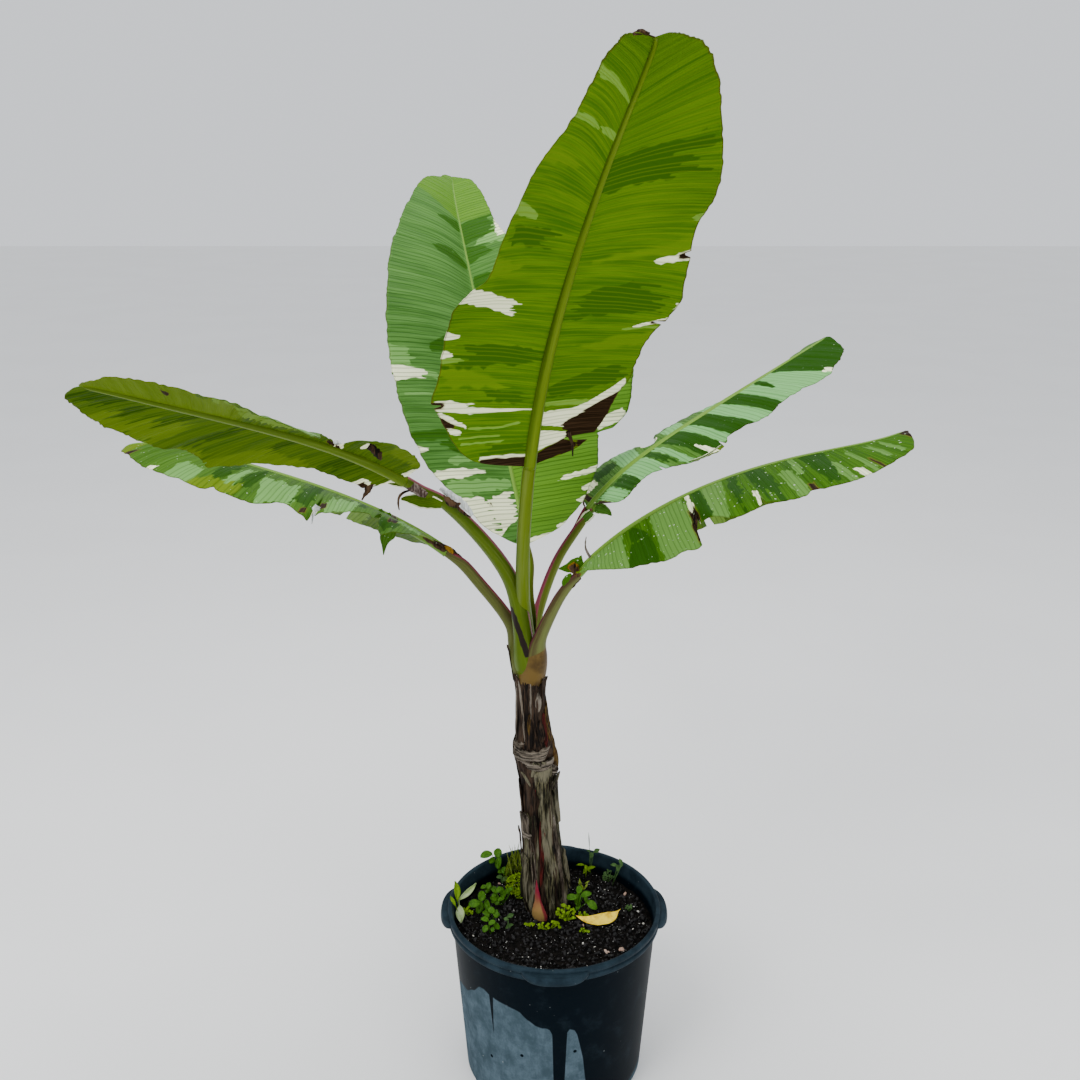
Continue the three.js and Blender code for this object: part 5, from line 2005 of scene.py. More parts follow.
class FalseStem:
    """The stem of rolled dry sheaths, with the strips, bands and scales on it."""

    levels = 150
    sides = 97
    seed = 31
    strip_thickness = 1.3
    band_rings, band_sides = 70, 19
    scale_rings, scale_sides = 40, 17

    def __init__(self, shape: StemShape) -> None:
        """Keeps the stem's shape."""
        self.shape = shape
        self.noise = Noise(self.seed)

    def core(self) -> bpy.types.Object:
        """Models the stem itself, ridged by its fibres.

        Returns:
            The stem.
        """
        shape = self.shape
        heights = np.linspace(shape.foot_height - 1, shape.top, self.levels)

        def place(i: Array, j: Array) -> Array:
            """Points of the stem for level and point numbers."""
            height = heights[i]
            angle = 2 * math.pi * j / (self.sides - 1)
            u = shape.share(height)
            lobes = (np.cos(7 * angle + 1.4 * math.pi * u)
                     + 0.6 * np.cos(3 * angle - 2 * math.pi * u))
            x, y = np.sin(angle) * 40, np.cos(angle) * 40
            fibre = self.noise.plane(x + height * 0.02, y, 2.6)
            chunk = self.noise.plane(x + height * 0.12, y - height * 0.05, 9)
            stand = shape.radius(height) * 0.05 * lobes * (1 - 0.5 * u) + 0.9 * fibre + chunk
            return shape.skin(height, angle, stand - 1.0)

        return Workshop.sheet("stem_core", self.levels, self.sides, place, closed=True)

    def strip(self, strip: Strip, seed: int) -> bpy.types.Object:
        """Models one dry strip.

        Args:
            strip: The strip.
            seed: Seed of its noise.

        Returns:
            The strip.
        """
        noise = Noise(seed)
        shape = self.shape
        rows = max(14, int((strip.high - strip.low) / 3))
        columns = max(5, int(strip.width / 2.2))

        def place(i: Array, j: Array) -> Array:
            """Points of the strip for row and column numbers."""
            u, v = i / (rows - 1), j / (columns - 1) * 2 - 1
            ends = strip.ragged * (noise.soft(v * 20, 3.0) + 0.6 * noise.soft(v * 20, 1.2))
            low = strip.low + 0.3 * ends
            high = strip.high - np.abs(ends)
            height = np.maximum(low + (high - low) * u, shape.foot_height - 3)
            edge = 1 + 0.16 * noise.soft(height + 99 * (v > 0), 22)
            if strip.width < 14:
                edge = edge * (1 - 0.8 * np.abs(2 * u - 1) ** 3)
            way = strip.way + strip.turn * u + 2.5 * noise.soft(height, 26)
            angle = np.radians(way + strip.width * v * edge)
            fibre = 1.1 * noise.plane(v * strip.width, height * 0.06, 2.6)
            stand = strip.stand[0] + (strip.stand[1] - strip.stand[0]) * u + fibre
            stand = stand + strip.flare * np.abs(v) ** 3 * (0.5 + 0.5 * noise.soft(height, 30))
            stand = stand + strip.flare * smoothstep(0.8, 1, u) * 0.8
            return shape.skin(height, angle, stand)

        piece = Workshop.sheet(strip.name, rows, columns, place)
        Workshop.thicken(piece, self.strip_thickness)
        return piece

    def band(self, name: str, band: Band, seed: int) -> bpy.types.Object:
        """Models one band.

        Args:
            name: Its name.
            band: The band.
            seed: Seed of its noise.

        Returns:
            The band.
        """
        noise = Noise(seed)
        shape = self.shape
        start, end = band.ways

        def place(i: Array, j: Array) -> Array:
            """Points of the band for ring and point numbers."""
            u = i / (self.band_rings - 1)
            angle = np.radians(start + (end - start) * u)
            height = (band.level - band.size * 1.2 * np.sin(u * math.pi) + 5 * u
                      + 2.5 * noise.soft(u * 60, 9))
            turn = 2 * math.pi * j / (self.band_sides - 1) + 5 * u
            swell = smoothstep(0, 0.2, u) * (1 - smoothstep(0.75, 1.0, u)) + 0.12
            thick = swell * band.size * (1 + 0.42 * noise.plane(
                np.cos(turn) * 9 + 30, np.sin(turn) * 9 + u * 34, 3))
            base = shape.skin(height, angle, 2.0)
            way = np.stack([np.cos(angle), np.sin(angle), 0 * angle], -1)
            rise = np.array([0.0, 0.0, 1.0])
            return (base + way * (thick * 0.75 * np.cos(turn))[:, None]
                    + rise * (thick * 1.05 * np.sin(turn))[:, None])

        return Workshop.sheet(name, self.band_rings, self.band_sides, place, closed=True)

    def scale(self, scale: Scale) -> bpy.types.Object:
        """Models one scale.

        Args:
            scale: The scale.

        Returns:
            The scale, with a UV map and the attributes that stalks have.
        """
        noise = Noise(scale.seed)
        shape = self.shape
        length = scale.high - scale.low
        foot, tip = scale.stand

        def place(i: Array, j: Array) -> Array:
            """Points of the scale for ring and point numbers."""
            u = i / (self.scale_rings - 1)
            turn = 2 * math.pi * j / (self.scale_sides - 1)
            swell = (0.85 + 0.4 * np.sin(math.pi * np.clip(u * 2, 0, 1))) * (1 - u) ** 0.8
            half = np.maximum(scale.width * swell, 0.5)
            sideways = half * np.cos(turn) * (1 + 0.05 * noise.soft(u * 40, 4))
            proud = 0.5 * half * (np.sin(turn) + 0.4) + foot + (tip - foot) * u
            height = scale.low + length * u
            angle = np.radians(scale.way) + sideways / shape.radius(height)
            return shape.skin(height, angle, proud)

        piece = Workshop.sheet(scale.name, self.scale_rings, self.scale_sides, place,
                               closed=True)
        rows = Workshop.read(piece, "row") / (self.scale_rings - 1)
        turns = Workshop.read(piece, "column") / (self.scale_sides - 1)
        Workshop.unwrap(piece, rows * length * MM, turns * 0.03)
        Workshop.keep(piece, "across", rows)
        Workshop.keep(piece, "edge", smoothstep(0.2, 0.9, np.cos(turns * 2 * math.pi)))
        for label in ("shine", "rot", "papery"):
            Workshop.keep(piece, label, 0 * rows)
        return piece


# The pot and all that lies in it


@dataclass
class NurseryPot:
    """The tapering plastic pot with its rolled rim, groove, ridge and grips."""

    rim: float = 178
    height: float = 305
    foot: float = 150
    foot_round: float = 5
    neck: float = 170
    wall: float = 3
    floor: float = 4
    lip: float = 9
    groove: float = 5
    groove_depth: float = 3
    ridge: float = 8
    sides: int = 160
    wall_steps: int = 12
    inner_steps: int = 6
    sharp_edge: float = 50
    grip_ways: Sequence[float] = (0, 90, 180, 270)
    grip_half_angle: float = 17
    grip_reach: float = 12
    grip_depth: float = 16
    grip_rings: int = 41
    grip_sides: int = 15
    grip_sharp_edge: float = 55

    def body(self) -> bpy.types.Object:
        """Turns the pot.

        Returns:
            The pot.
        """
        lip_foot = self.height - self.lip
        groove_foot = lip_foot - self.groove
        ridge_foot = groove_foot - self.ridge
        deep = self.rim - self.groove_depth
        start, end = self.foot_round, ridge_foot - 2
        profile = [(self.foot - start, 0.0), (self.foot - 1.5, 1.2), (self.foot, start)]
        for k in range(1, self.wall_steps + 1):
            u = k / self.wall_steps
            profile.append((self.foot + (self.neck - self.foot) * u, start + (end - start) * u))
        profile += [
            (self.neck + 3.5, ridge_foot - 1.2), (self.rim - 2.2, ridge_foot),
            (self.rim - 1.2, ridge_foot + 1.2), (self.rim - 0.9, groove_foot - 1.0),
            (self.rim - 1.6, groove_foot + 0.2), (deep, groove_foot + 1.2),
            (deep, lip_foot - 1.2), (self.rim - 1.0, lip_foot - 0.4),
            (self.rim, lip_foot + 0.8), (self.rim, self.height - 3),
            (self.rim - 0.8, self.height - 1.0), (self.rim - 2.4, self.height),
            (self.rim - 6.2, self.height), (self.rim - 7.6, self.height - 1.2),
            (self.rim - 8.2, self.height - 4), (self.neck - self.wall, ridge_foot - 4),
        ]
        inner_top = ridge_foot - 4
        for k in range(1, self.inner_steps):
            u = k / self.inner_steps
            profile.append((self.neck - self.wall + (self.foot - self.neck) * u,
                            inner_top + (self.floor - inner_top) * u))
        profile += [(self.foot - self.wall, self.floor)]
        piece = Workshop.turned("pot_wall", profile, self.sides)
        Workshop.smooth_by_angle(piece, self.sharp_edge)
        return piece

    def grip(self, way: float) -> bpy.types.Object:
        """Models one grip, a lip that stands out from the rim.

        Args:
            way: Its compass angle, in degrees.

        Returns:
            The grip.
        """
        top = self.height - self.lip + 4.0

        def place(i: Array, j: Array) -> Array:
            """Points of the grip for ring and point numbers."""
            u = i / (self.grip_rings - 1) * 2 - 1
            angle = np.radians(way + self.grip_half_angle * u)
            swell = 1 - u ** 4
            reach = 1.0 + (self.grip_reach - 1.0) * swell
            deep = self.grip_depth * (0.5 + 0.5 * swell)
            turn = 2 * math.pi * j / (self.grip_sides - 1)
            x, z = np.cos(turn), np.sin(turn)
            square = np.maximum(np.abs(x), np.abs(z)) ** 0.75
            inner = self.rim - self.groove_depth - 2
            radius = inner + (self.rim + reach - inner) * (x / square * 0.5 + 0.5)
            height = top - deep / 2 + deep / 2 * z / square
            return np.stack([radius * np.cos(angle), radius * np.sin(angle), height], -1)

        piece = Workshop.sheet(f"pot_grip_{way:.0f}", self.grip_rings, self.grip_sides, place,
                               closed=True)
        Workshop.smooth_by_angle(piece, self.grip_sharp_edge)
        return piece


@dataclass(frozen=True)
class PotFinish:
    """Dark blue-black plastic, wet above and dry and dusty low on one side."""

    name: str = "pot_plastic_finish"
    wet: Colour = (0.0002, 0.0026, 0.0052)
    dry: Colour = (0.034, 0.056, 0.070)
    scuffed: Colour = (0.078, 0.115, 0.142)
    mist: Colour = (0.006, 0.012, 0.017)
    rim: Colour = (0.017, 0.031, 0.042)
    rim_from: Pair = (0.276, 0.287)
    drop: Colour = (0.25, 0.28, 0.28)
    height: float = NurseryPot.height * MM
    # Small dark holes: compass angle in degrees and height as a share of the pot's
    holes: Sequence[Pair] = ((-131, 0.31), (-109.4, 0.40), (-78.2, 0.447))
    # The wet edge round the front: the same two numbers
    wet_edge: Sequence[Pair] = (
        (-180, 0.50), (-161, 0.62), (-151, 0.635), (-146, 0.67), (-141, 0.695),
        (-137, 0.74), (-133, 0.745), (-128.8, 0.73), (-128.4, 0.47), (-127.9, 0.47),
        (-127.5, 0.728), (-122, 0.713), (-110, 0.695), (-106, 0.655), (-101, 0.62),
        (-98, 0.607), (-93.5, 0.605), (-91.6, 0.58), (-90.6, 0.50), (-90.2, 0.0),
        (-84.5, 0.0), (-84, 0.50), (-83.4, 0.58), (-81.4, 0.606), (-78, 0.59),
        (-75.3, 0.48), (-73, 0.375), (-71.3, 0.24), (-67, 0.0), (160, 0.3), (180, 0.50),
    )

    def build(self, effects: EffectGroups) -> bpy.types.Material:
        """Builds the material.

        Args:
            effects: The shared node groups.

        Returns:
            The material.
        """
        material, board, shader = new_material(self.name)
        place = board.object_place()
        x, y, z = board.add("ShaderNodeSeparateXYZ", {0: place}).outputs
        angle = board.math("ARCTAN2", y, x)
        turn = board.times(board.plus(angle, math.pi), 0.5 / math.pi)
        # Grey 1 on this ramp stands for the pot's full height
        limit = board.ramp(turn, [((a + 180) / 360, (h, h, h)) for a, h in self.wet_edge])
        wander = board.noise(board.stretched(place, (40, 40, 12)), 1.0, 3.0)
        share = board.math("DIVIDE", z, self.height)
        above = board.minus(board.frayed(limit, wander, 0.03), share)
        dry = board.span(above, -0.004, 0.004)
        dust = board.noise(place, 30.0, 6.0, 0.7)
        scratches = board.noise(board.stretched(place, (70, 70, 34)), 1.0, 5.0, 0.7)
        scuffs = board.span(board.blend(dust, 0.6, scratches, 0.4), 0.38, 0.68)
        grey = board.mix(scuffs, self.dry, self.scuffed)
        plain = board.mix(board.span(dust, 0.5, 0.8), self.wet, self.mist)
        rim = board.times(board.span(z, *self.rim_from), board.span(dust, 0.3, 0.7, (0.4, 1.0)))
        plain = board.mix(rim, plain, self.rim)
        colour = board.mix(dry, plain, grey)
        dots = board.group(effects.specks, {"Map": place, "Scale": 60.0, "Size": 0.09})
        colour = board.mix(board.times(dots.outputs["Mask"], 0.5), colour, self.drop)
        for way, level in self.holes:
            aside = board.times(board.minus(angle, math.radians(way)), 0.55)
            off = board.plus(board.math("POWER", aside, 2.0),
                             board.math("POWER", board.minus(share, level), 2.0))
            colour = board.mix(board.span(off, 0.00006, 0.00014, (1.0, 0.0)), colour, self.wet)
        rough = board.mix(dry, (0.45, 0.45, 0.45), (0.8, 0.8, 0.8))
        finish_surface(board, shader, colour, rough, dust, 0.12, 0.03)
        return material


@dataclass(frozen=True)
class PlainFinish:
    """A simple natural surface with two colours that a noise blends.

    Attributes:
        name: The material's name.
        first: Its darker colour.
        second: Its lighter colour.
        scale: How fine the noise is.
        roughness: Its roughness.
        relief: Height of its relief, in millimetres.
        by_copy: Whether each copy of its pattern also has a shade of its own.
        gloss: Strength of its mirror-like share.
    """

    name: str
    first: Colour
    second: Colour
    scale: float
    roughness: float
    relief: float = 0.4
    by_copy: bool = False
    gloss: float = 0.1

    def build(self) -> bpy.types.Material:
        """Builds the material.

        Returns:
            The material.
        """
        material, board, shader = new_material(self.name)
        cloud = board.noise(board.object_place(), self.scale, 4.0, 0.6)
        share = board.span(cloud, 0.35, 0.65)
        if self.by_copy:
            share = board.blend(share, 0.5, board.attribute("copy"), 0.5)
        finish_surface(board, shader, board.mix(share, self.first, self.second),
                       self.roughness, cloud, self.relief, self.gloss)
        return material


@dataclass(frozen=True)
class Crumbs:
    """One kind of crumb on the soil.

    Attributes:
        name: The piece's name.
        count: How many crumbs.
        size: Smallest and largest radius.
        seed: Seed of their places.
        flat: How flat they are, from 0 to 1.
        finish: Their finish.
        spots: Fixed places that come first.
    """

    name: str
    count: int
    size: Pair
    seed: int
    flat: float
    finish: PlainFinish
    spots: Sequence[Pair] = ()


@dataclass
class PottingSoil:
    """The dark chunky mix in the pot, and the crumbs on it."""

    radius: float = 166
    top: float = 267
    crown: float = 4
    bottom: float = 30
    # How far the pot's wall comes in for each millimetre down
    taper: float = 20 / 279
    seed: int = 5

    rings: ClassVar[int] = 76
    around: ClassVar[int] = 181
    wall_rings: ClassVar[int] = 6
    crumb_margin: ClassVar[float] = 6

    def crown_at(self, inward: Array) -> Array:
        """Rise of the soil at a share of the way in from the pot's wall."""
        return self.crown * np.minimum(1.6 * inward, 1)

    def surface(self) -> bpy.types.Object:
        """Models the soil.

        Returns:
            The soil.
        """
        noise = Noise(self.seed)

        def place(i: Array, j: Array) -> Array:
            """Points of the soil for ring and point numbers: wall first, then the top."""
            wall = self.wall_rings
            angle = 2 * math.pi * j / (self.around - 1)
            u = np.clip((i - wall) / (self.rings - 1 - wall), 0, 1)
            radius = np.maximum(self.radius * (1 - u), 0.6)
            x, y = radius * np.cos(angle), radius * np.sin(angle)
            rough = (2.6 * noise.plane(x, y, 9) + 1.8 * np.abs(noise.plane(x + 60, y, 4.5))
                     + 1.0 * noise.plane(x, y + 90, 2.4))
            height = self.top + self.crown_at(u) - 1.5 + np.minimum(rough, 3.0)
            low = self.bottom + (self.top - 4 - self.bottom) * (i / wall)
            side = i < wall
            wide = self.radius - self.taper * (self.top - low)
            return np.stack([
                np.where(side, wide * np.cos(angle), x),
                np.where(side, wide * np.sin(angle), y), np.where(side, low, height),
            ], -1)

        return Workshop.sheet("soil_surface", self.rings, self.around, place, closed=True)

    def crumbs(self, kind: Crumbs) -> bpy.types.Object:
        """Strews crumbs of one kind over the soil.

        Args:
            kind: What they are like.

        Returns:
            The crumbs, as one piece.
        """
        Workshop.clear()
        bpy.ops.mesh.primitive_ico_sphere_add(subdivisions=1, radius=1.0)
        pattern = Workshop.named("crumb_pattern")
        Workshop.edit(pattern)
        bpy.ops.transform.vertex_random(offset=0.3, seed=kind.seed)
        bpy.ops.object.mode_set(mode="OBJECT")
        draw = np.random.RandomState(kind.seed)
        small, large = kind.size
        places = []
        for k in range(kind.count):
            if k < len(kind.spots):
                x, y = kind.spots[k]
            else:
                radius = (self.radius - self.crumb_margin) * math.sqrt(draw.uniform(0.02, 1))
                angle = draw.uniform(0, 2 * math.pi)
                x, y = radius * math.cos(angle), radius * math.sin(angle)
            scale = small + (large - small) * draw.uniform() ** 2.5
            height = self.top + self.crown_at(1 - math.hypot(x, y) / self.radius)
            turns = draw.uniform(0, 2 * math.pi, 3)
            stretch = np.diag([1.0, draw.uniform(0.35, 0.9), 1 - kind.flat, 1])
            matrix = turned_matrix(turns) @ stretch * scale * MM
            matrix[:3, 3] = np.array([x, y, height + scale * 0.2]) * MM
            matrix[3] = (0, 0, 0, 1)
            places.append(matrix)
        return Workshop.scattered(kind.name, pattern, places)


@dataclass(frozen=True)
class Leaflet:
    """One small leaf of a seedling, placed in the upright plane that faces the camera.

    Attributes:
        x: Place of its middle, to the right of the seedling's foot.
        z: Place of its middle, above the foot.
        length: Its length.
        width: Its width.
        angle: The way it points, in degrees from +X towards up.
    """

    x: float
    z: float
    length: float
    width: float
    angle: float


def clump(count: int, spread: Pair, size: Pair, seed: int, base: float = 2.0,
          upright: float = 180.0) -> Sequence[Leaflet]:
    """Strews small leaves over a clump.

    Args:
        count: How many leaves.
        spread: Half the clump's width, and its height.
        size: Length and width of a leaf.
        seed: Seed of their places.
        base: Height of the lowest leaves.
        upright: How far they turn from upright to either side, in degrees.

    Returns:
        The leaves.
    """
    draw = np.random.RandomState(seed)
    leaves = []
    for _ in range(count):
        x, z, turn, scale = draw.uniform(-1, 1, 4)
        rise = (z * 0.5 + 0.5) * (1 - 0.4 * x * x)
        leaves.append(Leaflet(x * spread[0], base + rise * spread[1],
                              size[0] * (1 + 0.3 * scale), size[1] * (1 + 0.25 * scale),
                              90 + upright * turn))
    return leaves


@dataclass(frozen=True)
class Seedling:
    """A weed on the soil.

    Attributes:
        name: Its name.
        foot: Where it stands, as x and y.
        leaves: Its leaves.
        tint: Which finish it has.
        round_tips: Whether its leaves are round rather than pointed.
        stems: How many of its leaves, the first ones, have a stem to the foot.
    """

    name: str
    foot: Pair
    leaves: Sequence[Leaflet]
    tint: Tint = Tint.FRESH
    round_tips: bool = False
    stems: int = 99

    stem_radius: ClassVar[float] = 0.55
    leaf_thickness: ClassVar[float] = 0.03
    pointed: ClassVar[float] = 0.9
    rounded: ClassVar[float] = 0.55

    def build(self, ground: float) -> bpy.types.Object:
        """Models the seedling.

        Args:
            ground: Height of the soil.

        Returns:
            The seedling, one object of leaves and stems.
        """
        right, lean = np.array([1.0, 0, 0]), unit(np.array([0, 0.7, 0.72]))
        blades, stalks = [], []
        for number, leaf in enumerate(self.leaves):
            turn = math.radians(leaf.angle)
            along = right * math.cos(turn) + lean * math.sin(turn)
            across = -right * math.sin(turn) + lean * math.cos(turn)
            tilt = 0.6 * math.sin(number * 2.1 + 1) * (leaf.width > 2.5)
            across = across * math.cos(tilt) + np.cross(along, across) * math.sin(tilt)
            deep = 0.35 * leaf.length * math.cos(number * 2.4)
            middle = np.array([self.foot[0] + leaf.x, self.foot[1] + deep, ground + leaf.z])
            dip = abs(along[2]) * leaf.length / 2 + abs(across[2]) * leaf.width / 2
            middle[2] = max(middle[2], ground + dip - 1)
            blades.append(placed_matrix(along * leaf.length, across * leaf.width,
                                        np.cross(along, across) * leaf.length, middle))
            if number < self.stems:
                foot = np.array([*self.foot, ground - 3.0])
                top = middle - along * leaf.length * 0.45
                axis = top - foot
                side = unit(np.cross(axis, [0, 1.0, 0]))
                stalks.append(placed_matrix(
                    side * self.stem_radius,
                    unit(np.cross(axis, side)) * self.stem_radius, axis, foot))
        leaves = Workshop.scattered(self.name, self._leaf_pattern(), blades)
        if stalks:
            stems = Workshop.scattered("weed_stems", self._stem_pattern(), stalks)
            Workshop.pick(leaves)
            stems.select_set(True)
            bpy.ops.object.join()
        return leaves

    def _leaf_pattern(self) -> bpy.types.Object:
        """A leaf one unit long with its middle at the origin, cupped along its midrib."""
        rows, columns = 9, 5
        power = self.rounded if self.round_tips else self.pointed

        def place(i: Array, j: Array) -> Array:
            """Points of the leaf for row and column numbers."""
            u, v = i / (rows - 1), j / (columns - 1) * 2 - 1
            half = 0.5 * np.maximum(np.sin(math.pi * np.clip(u, 0.02, 0.98)), 0.02) ** power
            droop = -0.12 * (2 * u - 1) ** 2
            return np.stack([u - 0.5, half * v, 0.10 * v * v + droop], -1) / MM

        pattern = Workshop.sheet("leaf_pattern", rows, columns, place)
        Workshop.thicken(pattern, self.leaf_thickness / MM)
        return pattern

    @staticmethod
    def _stem_pattern() -> bpy.types.Object:
        """A stem one unit high and one unit in radius, with its foot at the origin."""
        Workshop.clear()
        bpy.ops.mesh.primitive_cylinder_add(vertices=6, radius=1, depth=1,
                                            location=(0, 0, 0.5))
        bpy.ops.object.transform_apply(location=True)
        return Workshop.named("stem_pattern")


WEEDS = (
    Seedling("weed_round_leaved", (-91, 126), (
        Leaflet(-28, 42, 22, 17, 195), Leaflet(-7, 54, 17, 15, 80), Leaflet(-18, 36, 13, 11, 225),
        Leaflet(-6, 28, 22, 14, 262), Leaflet(6, 18, 16, 13, 300), Leaflet(16, 16, 15, 11, 20),
        Leaflet(-2, 14, 12, 10, 200)), round_tips=True),
    Seedling("weed_grass", (-66, 126), (
        *clump(30, (17, 32), (46, 1.9), 3, 16, 22),
        *clump(14, (14, 26), (30, 1.7), 4, 8, 50)), Tint.STRAW, stems=0),
    Seedling("weed_feathery", (-62, 76), clump(190, (20, 42), (5.2, 1.7), 5, 2), Tint.BRIGHT,
             stems=14),
    Seedling("weed_feathery_low", (-52, 62), clump(70, (15, 22), (5.2, 1.9), 6, 2), Tint.BRIGHT,
             stems=6),
    Seedling("weed_grey_leaved", (-88, 112), (
        Leaflet(-7, 8, 12, 9, 180), Leaflet(4, 9, 12, 9, 20), Leaflet(-2, 4, 11, 8, 260)),
        Tint.DULL, True),
    Seedling("weed_far_left", (-112, 80), (
        Leaflet(-10, 9, 12, 9, 200), Leaflet(-1, 17, 13, 10, 70), Leaflet(8, 9, 12, 8, 350),
        Leaflet(-3, 4, 15, 11, 250), Leaflet(4, 12, 9, 7, 30))),
    Seedling("weed_white_leaved", (-158, 12), (
        Leaflet(-7, 42, 34, 12, 98), Leaflet(-12, 34, 20, 6, 120)), Tint.BRIGHT),
    Seedling("weed_white_leaves", (-158, 12), (
        Leaflet(11, 38, 42, 10, 43), Leaflet(0, 9, 30, 15, 276)), Tint.PALE),
    Seedling("weed_four_leaved", (-126, 22), (
        Leaflet(3, 29, 18, 15, 80), Leaflet(-9, 22, 20, 14, 188), Leaflet(-1, 11, 22, 15, 257),
        Leaflet(13, 12, 21, 12, 287)), round_tips=True),
    Seedling("weed_yellow_cluster", (-146, 18), clump(12, (8, 12), (5, 4.5), 7), Tint.BRIGHT,
             True, 4),
    Seedling("weed_middle", (-88, 50), (
        *clump(16, (17, 26), (12, 8), 8, 4),), Tint.FRESH, True, 8),
    Seedling("weed_middle_low", (-106, 10), clump(8, (10, 13), (12, 9), 9, 3), Tint.FRESH, True, 5),
    Seedling("weed_lower", (-106, -34), (
        Leaflet(-9, 23, 14, 10, 165), Leaflet(-8, 11, 13, 10, 235), Leaflet(3, 20, 13, 10, 30),
        Leaflet(11, 12, 13, 10, 310), Leaflet(4, 9, 8, 7, 270)), round_tips=True),
    Seedling("weed_olive", (-76, -24), (
        Leaflet(3, 24, 13, 8, 20), Leaflet(-4, 22, 9, 6, 170), Leaflet(0, 6, 12, 8, 215),
        Leaflet(4, 8, 9, 5, 0)), Tint.DULL),
    Seedling("weed_dots_front", (-40, -14), clump(9, (8, 6), (5, 4.5), 10, 1), Tint.BRIGHT, True, 3),
    Seedling("weed_creeper_front", (-8, -22), clump(24, (18, 15), (5.0, 4.4), 11, 1), Tint.BRIGHT,
             True, 8),
    Seedling("weed_creeper_right", (20, 2), clump(36, (16, 28), (5.4, 4.6), 12, 1), Tint.BRIGHT,
             True, 10),
    Seedling("weed_creeper_far", (50, 10), clump(9, (7, 12), (4.6, 4), 13, 1), Tint.BRIGHT, True, 4),
    Seedling("weed_creeper_near", (49, -32), clump(9, (9, 7), (4.6, 4), 14, 1), Tint.BRIGHT, True, 4),
    Seedling("weed_five_leaved", (40, 32), (
        Leaflet(3, 36, 14, 12, 75), Leaflet(-10, 28, 21, 11, 182), Leaflet(15, 29, 19, 13, 15),
        Leaflet(1, 17, 22, 13, 265), Leaflet(25, 14, 21, 13, 318), Leaflet(14, 18, 15, 8, 290),
        Leaflet(2, 6, 14, 9, 240)), round_tips=True),
    Seedling("weed_tall_stem", (66, 138), (
        Leaflet(-2, 62, 30, 1.6, 92), Leaflet(11, 50, 13, 8, 25), Leaflet(2, 39, 11, 9, 260),
        Leaflet(-3, 46, 7, 3, 160)), Tint.DULL),
    Seedling("weed_star", (58, 130), (
        Leaflet(-9, 20, 16, 5, 178), Leaflet(9, 21, 16, 6, 12), Leaflet(-2, 13, 14, 6, 252),
        Leaflet(5, 14, 13, 6, 300), Leaflet(0, 21, 9, 5, 90)), Tint.BRIGHT),
    Seedling("weed_curved_stem", (104, 106), (
        Leaflet(3, 36, 13, 8, 170), Leaflet(14, 48, 12, 7, 110), Leaflet(9, 33, 12, 8, 260),
        Leaflet(15, 38, 12, 6, 60)), Tint.DULL),
    Seedling("weed_lacy", (97, 118), clump(22, (9, 20), (7, 3.6), 15, 2), Tint.DULL, stems=6),
    Seedling("weed_dried", (54, 92), clump(9, (10, 18), (9, 2.4), 16, 2, 70), Tint.STRAW, stems=5),
    Seedling("weed_right_edge", (128, 30), clump(7, (6, 8), (6, 3.5), 17, 2), Tint.DULL, stems=4),
)


@dataclass
class FallenLeaf:
    """The dry yellow leaf that lies on the soil."""

    line: Sequence[Triple] = ((37, 3, 279), (54, -6, 277), (76, -8, 277), (97, -1, 279),
                              (113, 14, 284))
    half_width: float = 11.5
    thickness: float = 0.7
    seed: int = 61

    def build(self) -> bpy.types.Object:
        """Models the leaf, cupped along its midrib and lifted at both ends.

        Returns:
            The leaf.
        """
        rows, columns = 60, 13
        noise = Noise(self.seed)
        middle = line_through(self.line, np.linspace(0, 1, rows))
        along = unit(np.gradient(middle, axis=0))
        across = unit(np.cross([0.0, -0.35, 1.0], along))
        up = np.cross(along, across)

        def place(i: Array, j: Array) -> Array:
            """Points of the leaf for row and column numbers."""
            u, v = i / (rows - 1), j / (columns - 1) * 2 - 1
            swell = np.sin(math.pi * np.clip(u, 0.01, 0.99) ** 1.25) ** 0.8
            half = self.half_width * swell * (1 + 0.04 * noise.soft(u * 60 + 9 * v, 5)) * (
                1 - 0.85 * smoothstep(0.7, 1.0, u))
            cup = 3.2 * v * v * swell + 0.5 * noise.plane(u * 70, v * 12, 6)
            groove = -0.5 * np.exp(-(v / 0.12) ** 2)
            return (middle[i] + across[i] * (half * v)[:, None]
                    + up[i] * (cup + groove)[:, None])

        piece = Workshop.sheet("fallen_leaf", rows, columns, place)
        row = Workshop.read(piece, "row") / (rows - 1)
        column = Workshop.read(piece, "column") / (columns - 1) * 2 - 1
        Workshop.unwrap(piece, row * 0.08, column * 0.012)
        Workshop.thicken(piece, self.thickness)
        return piece


# The studio


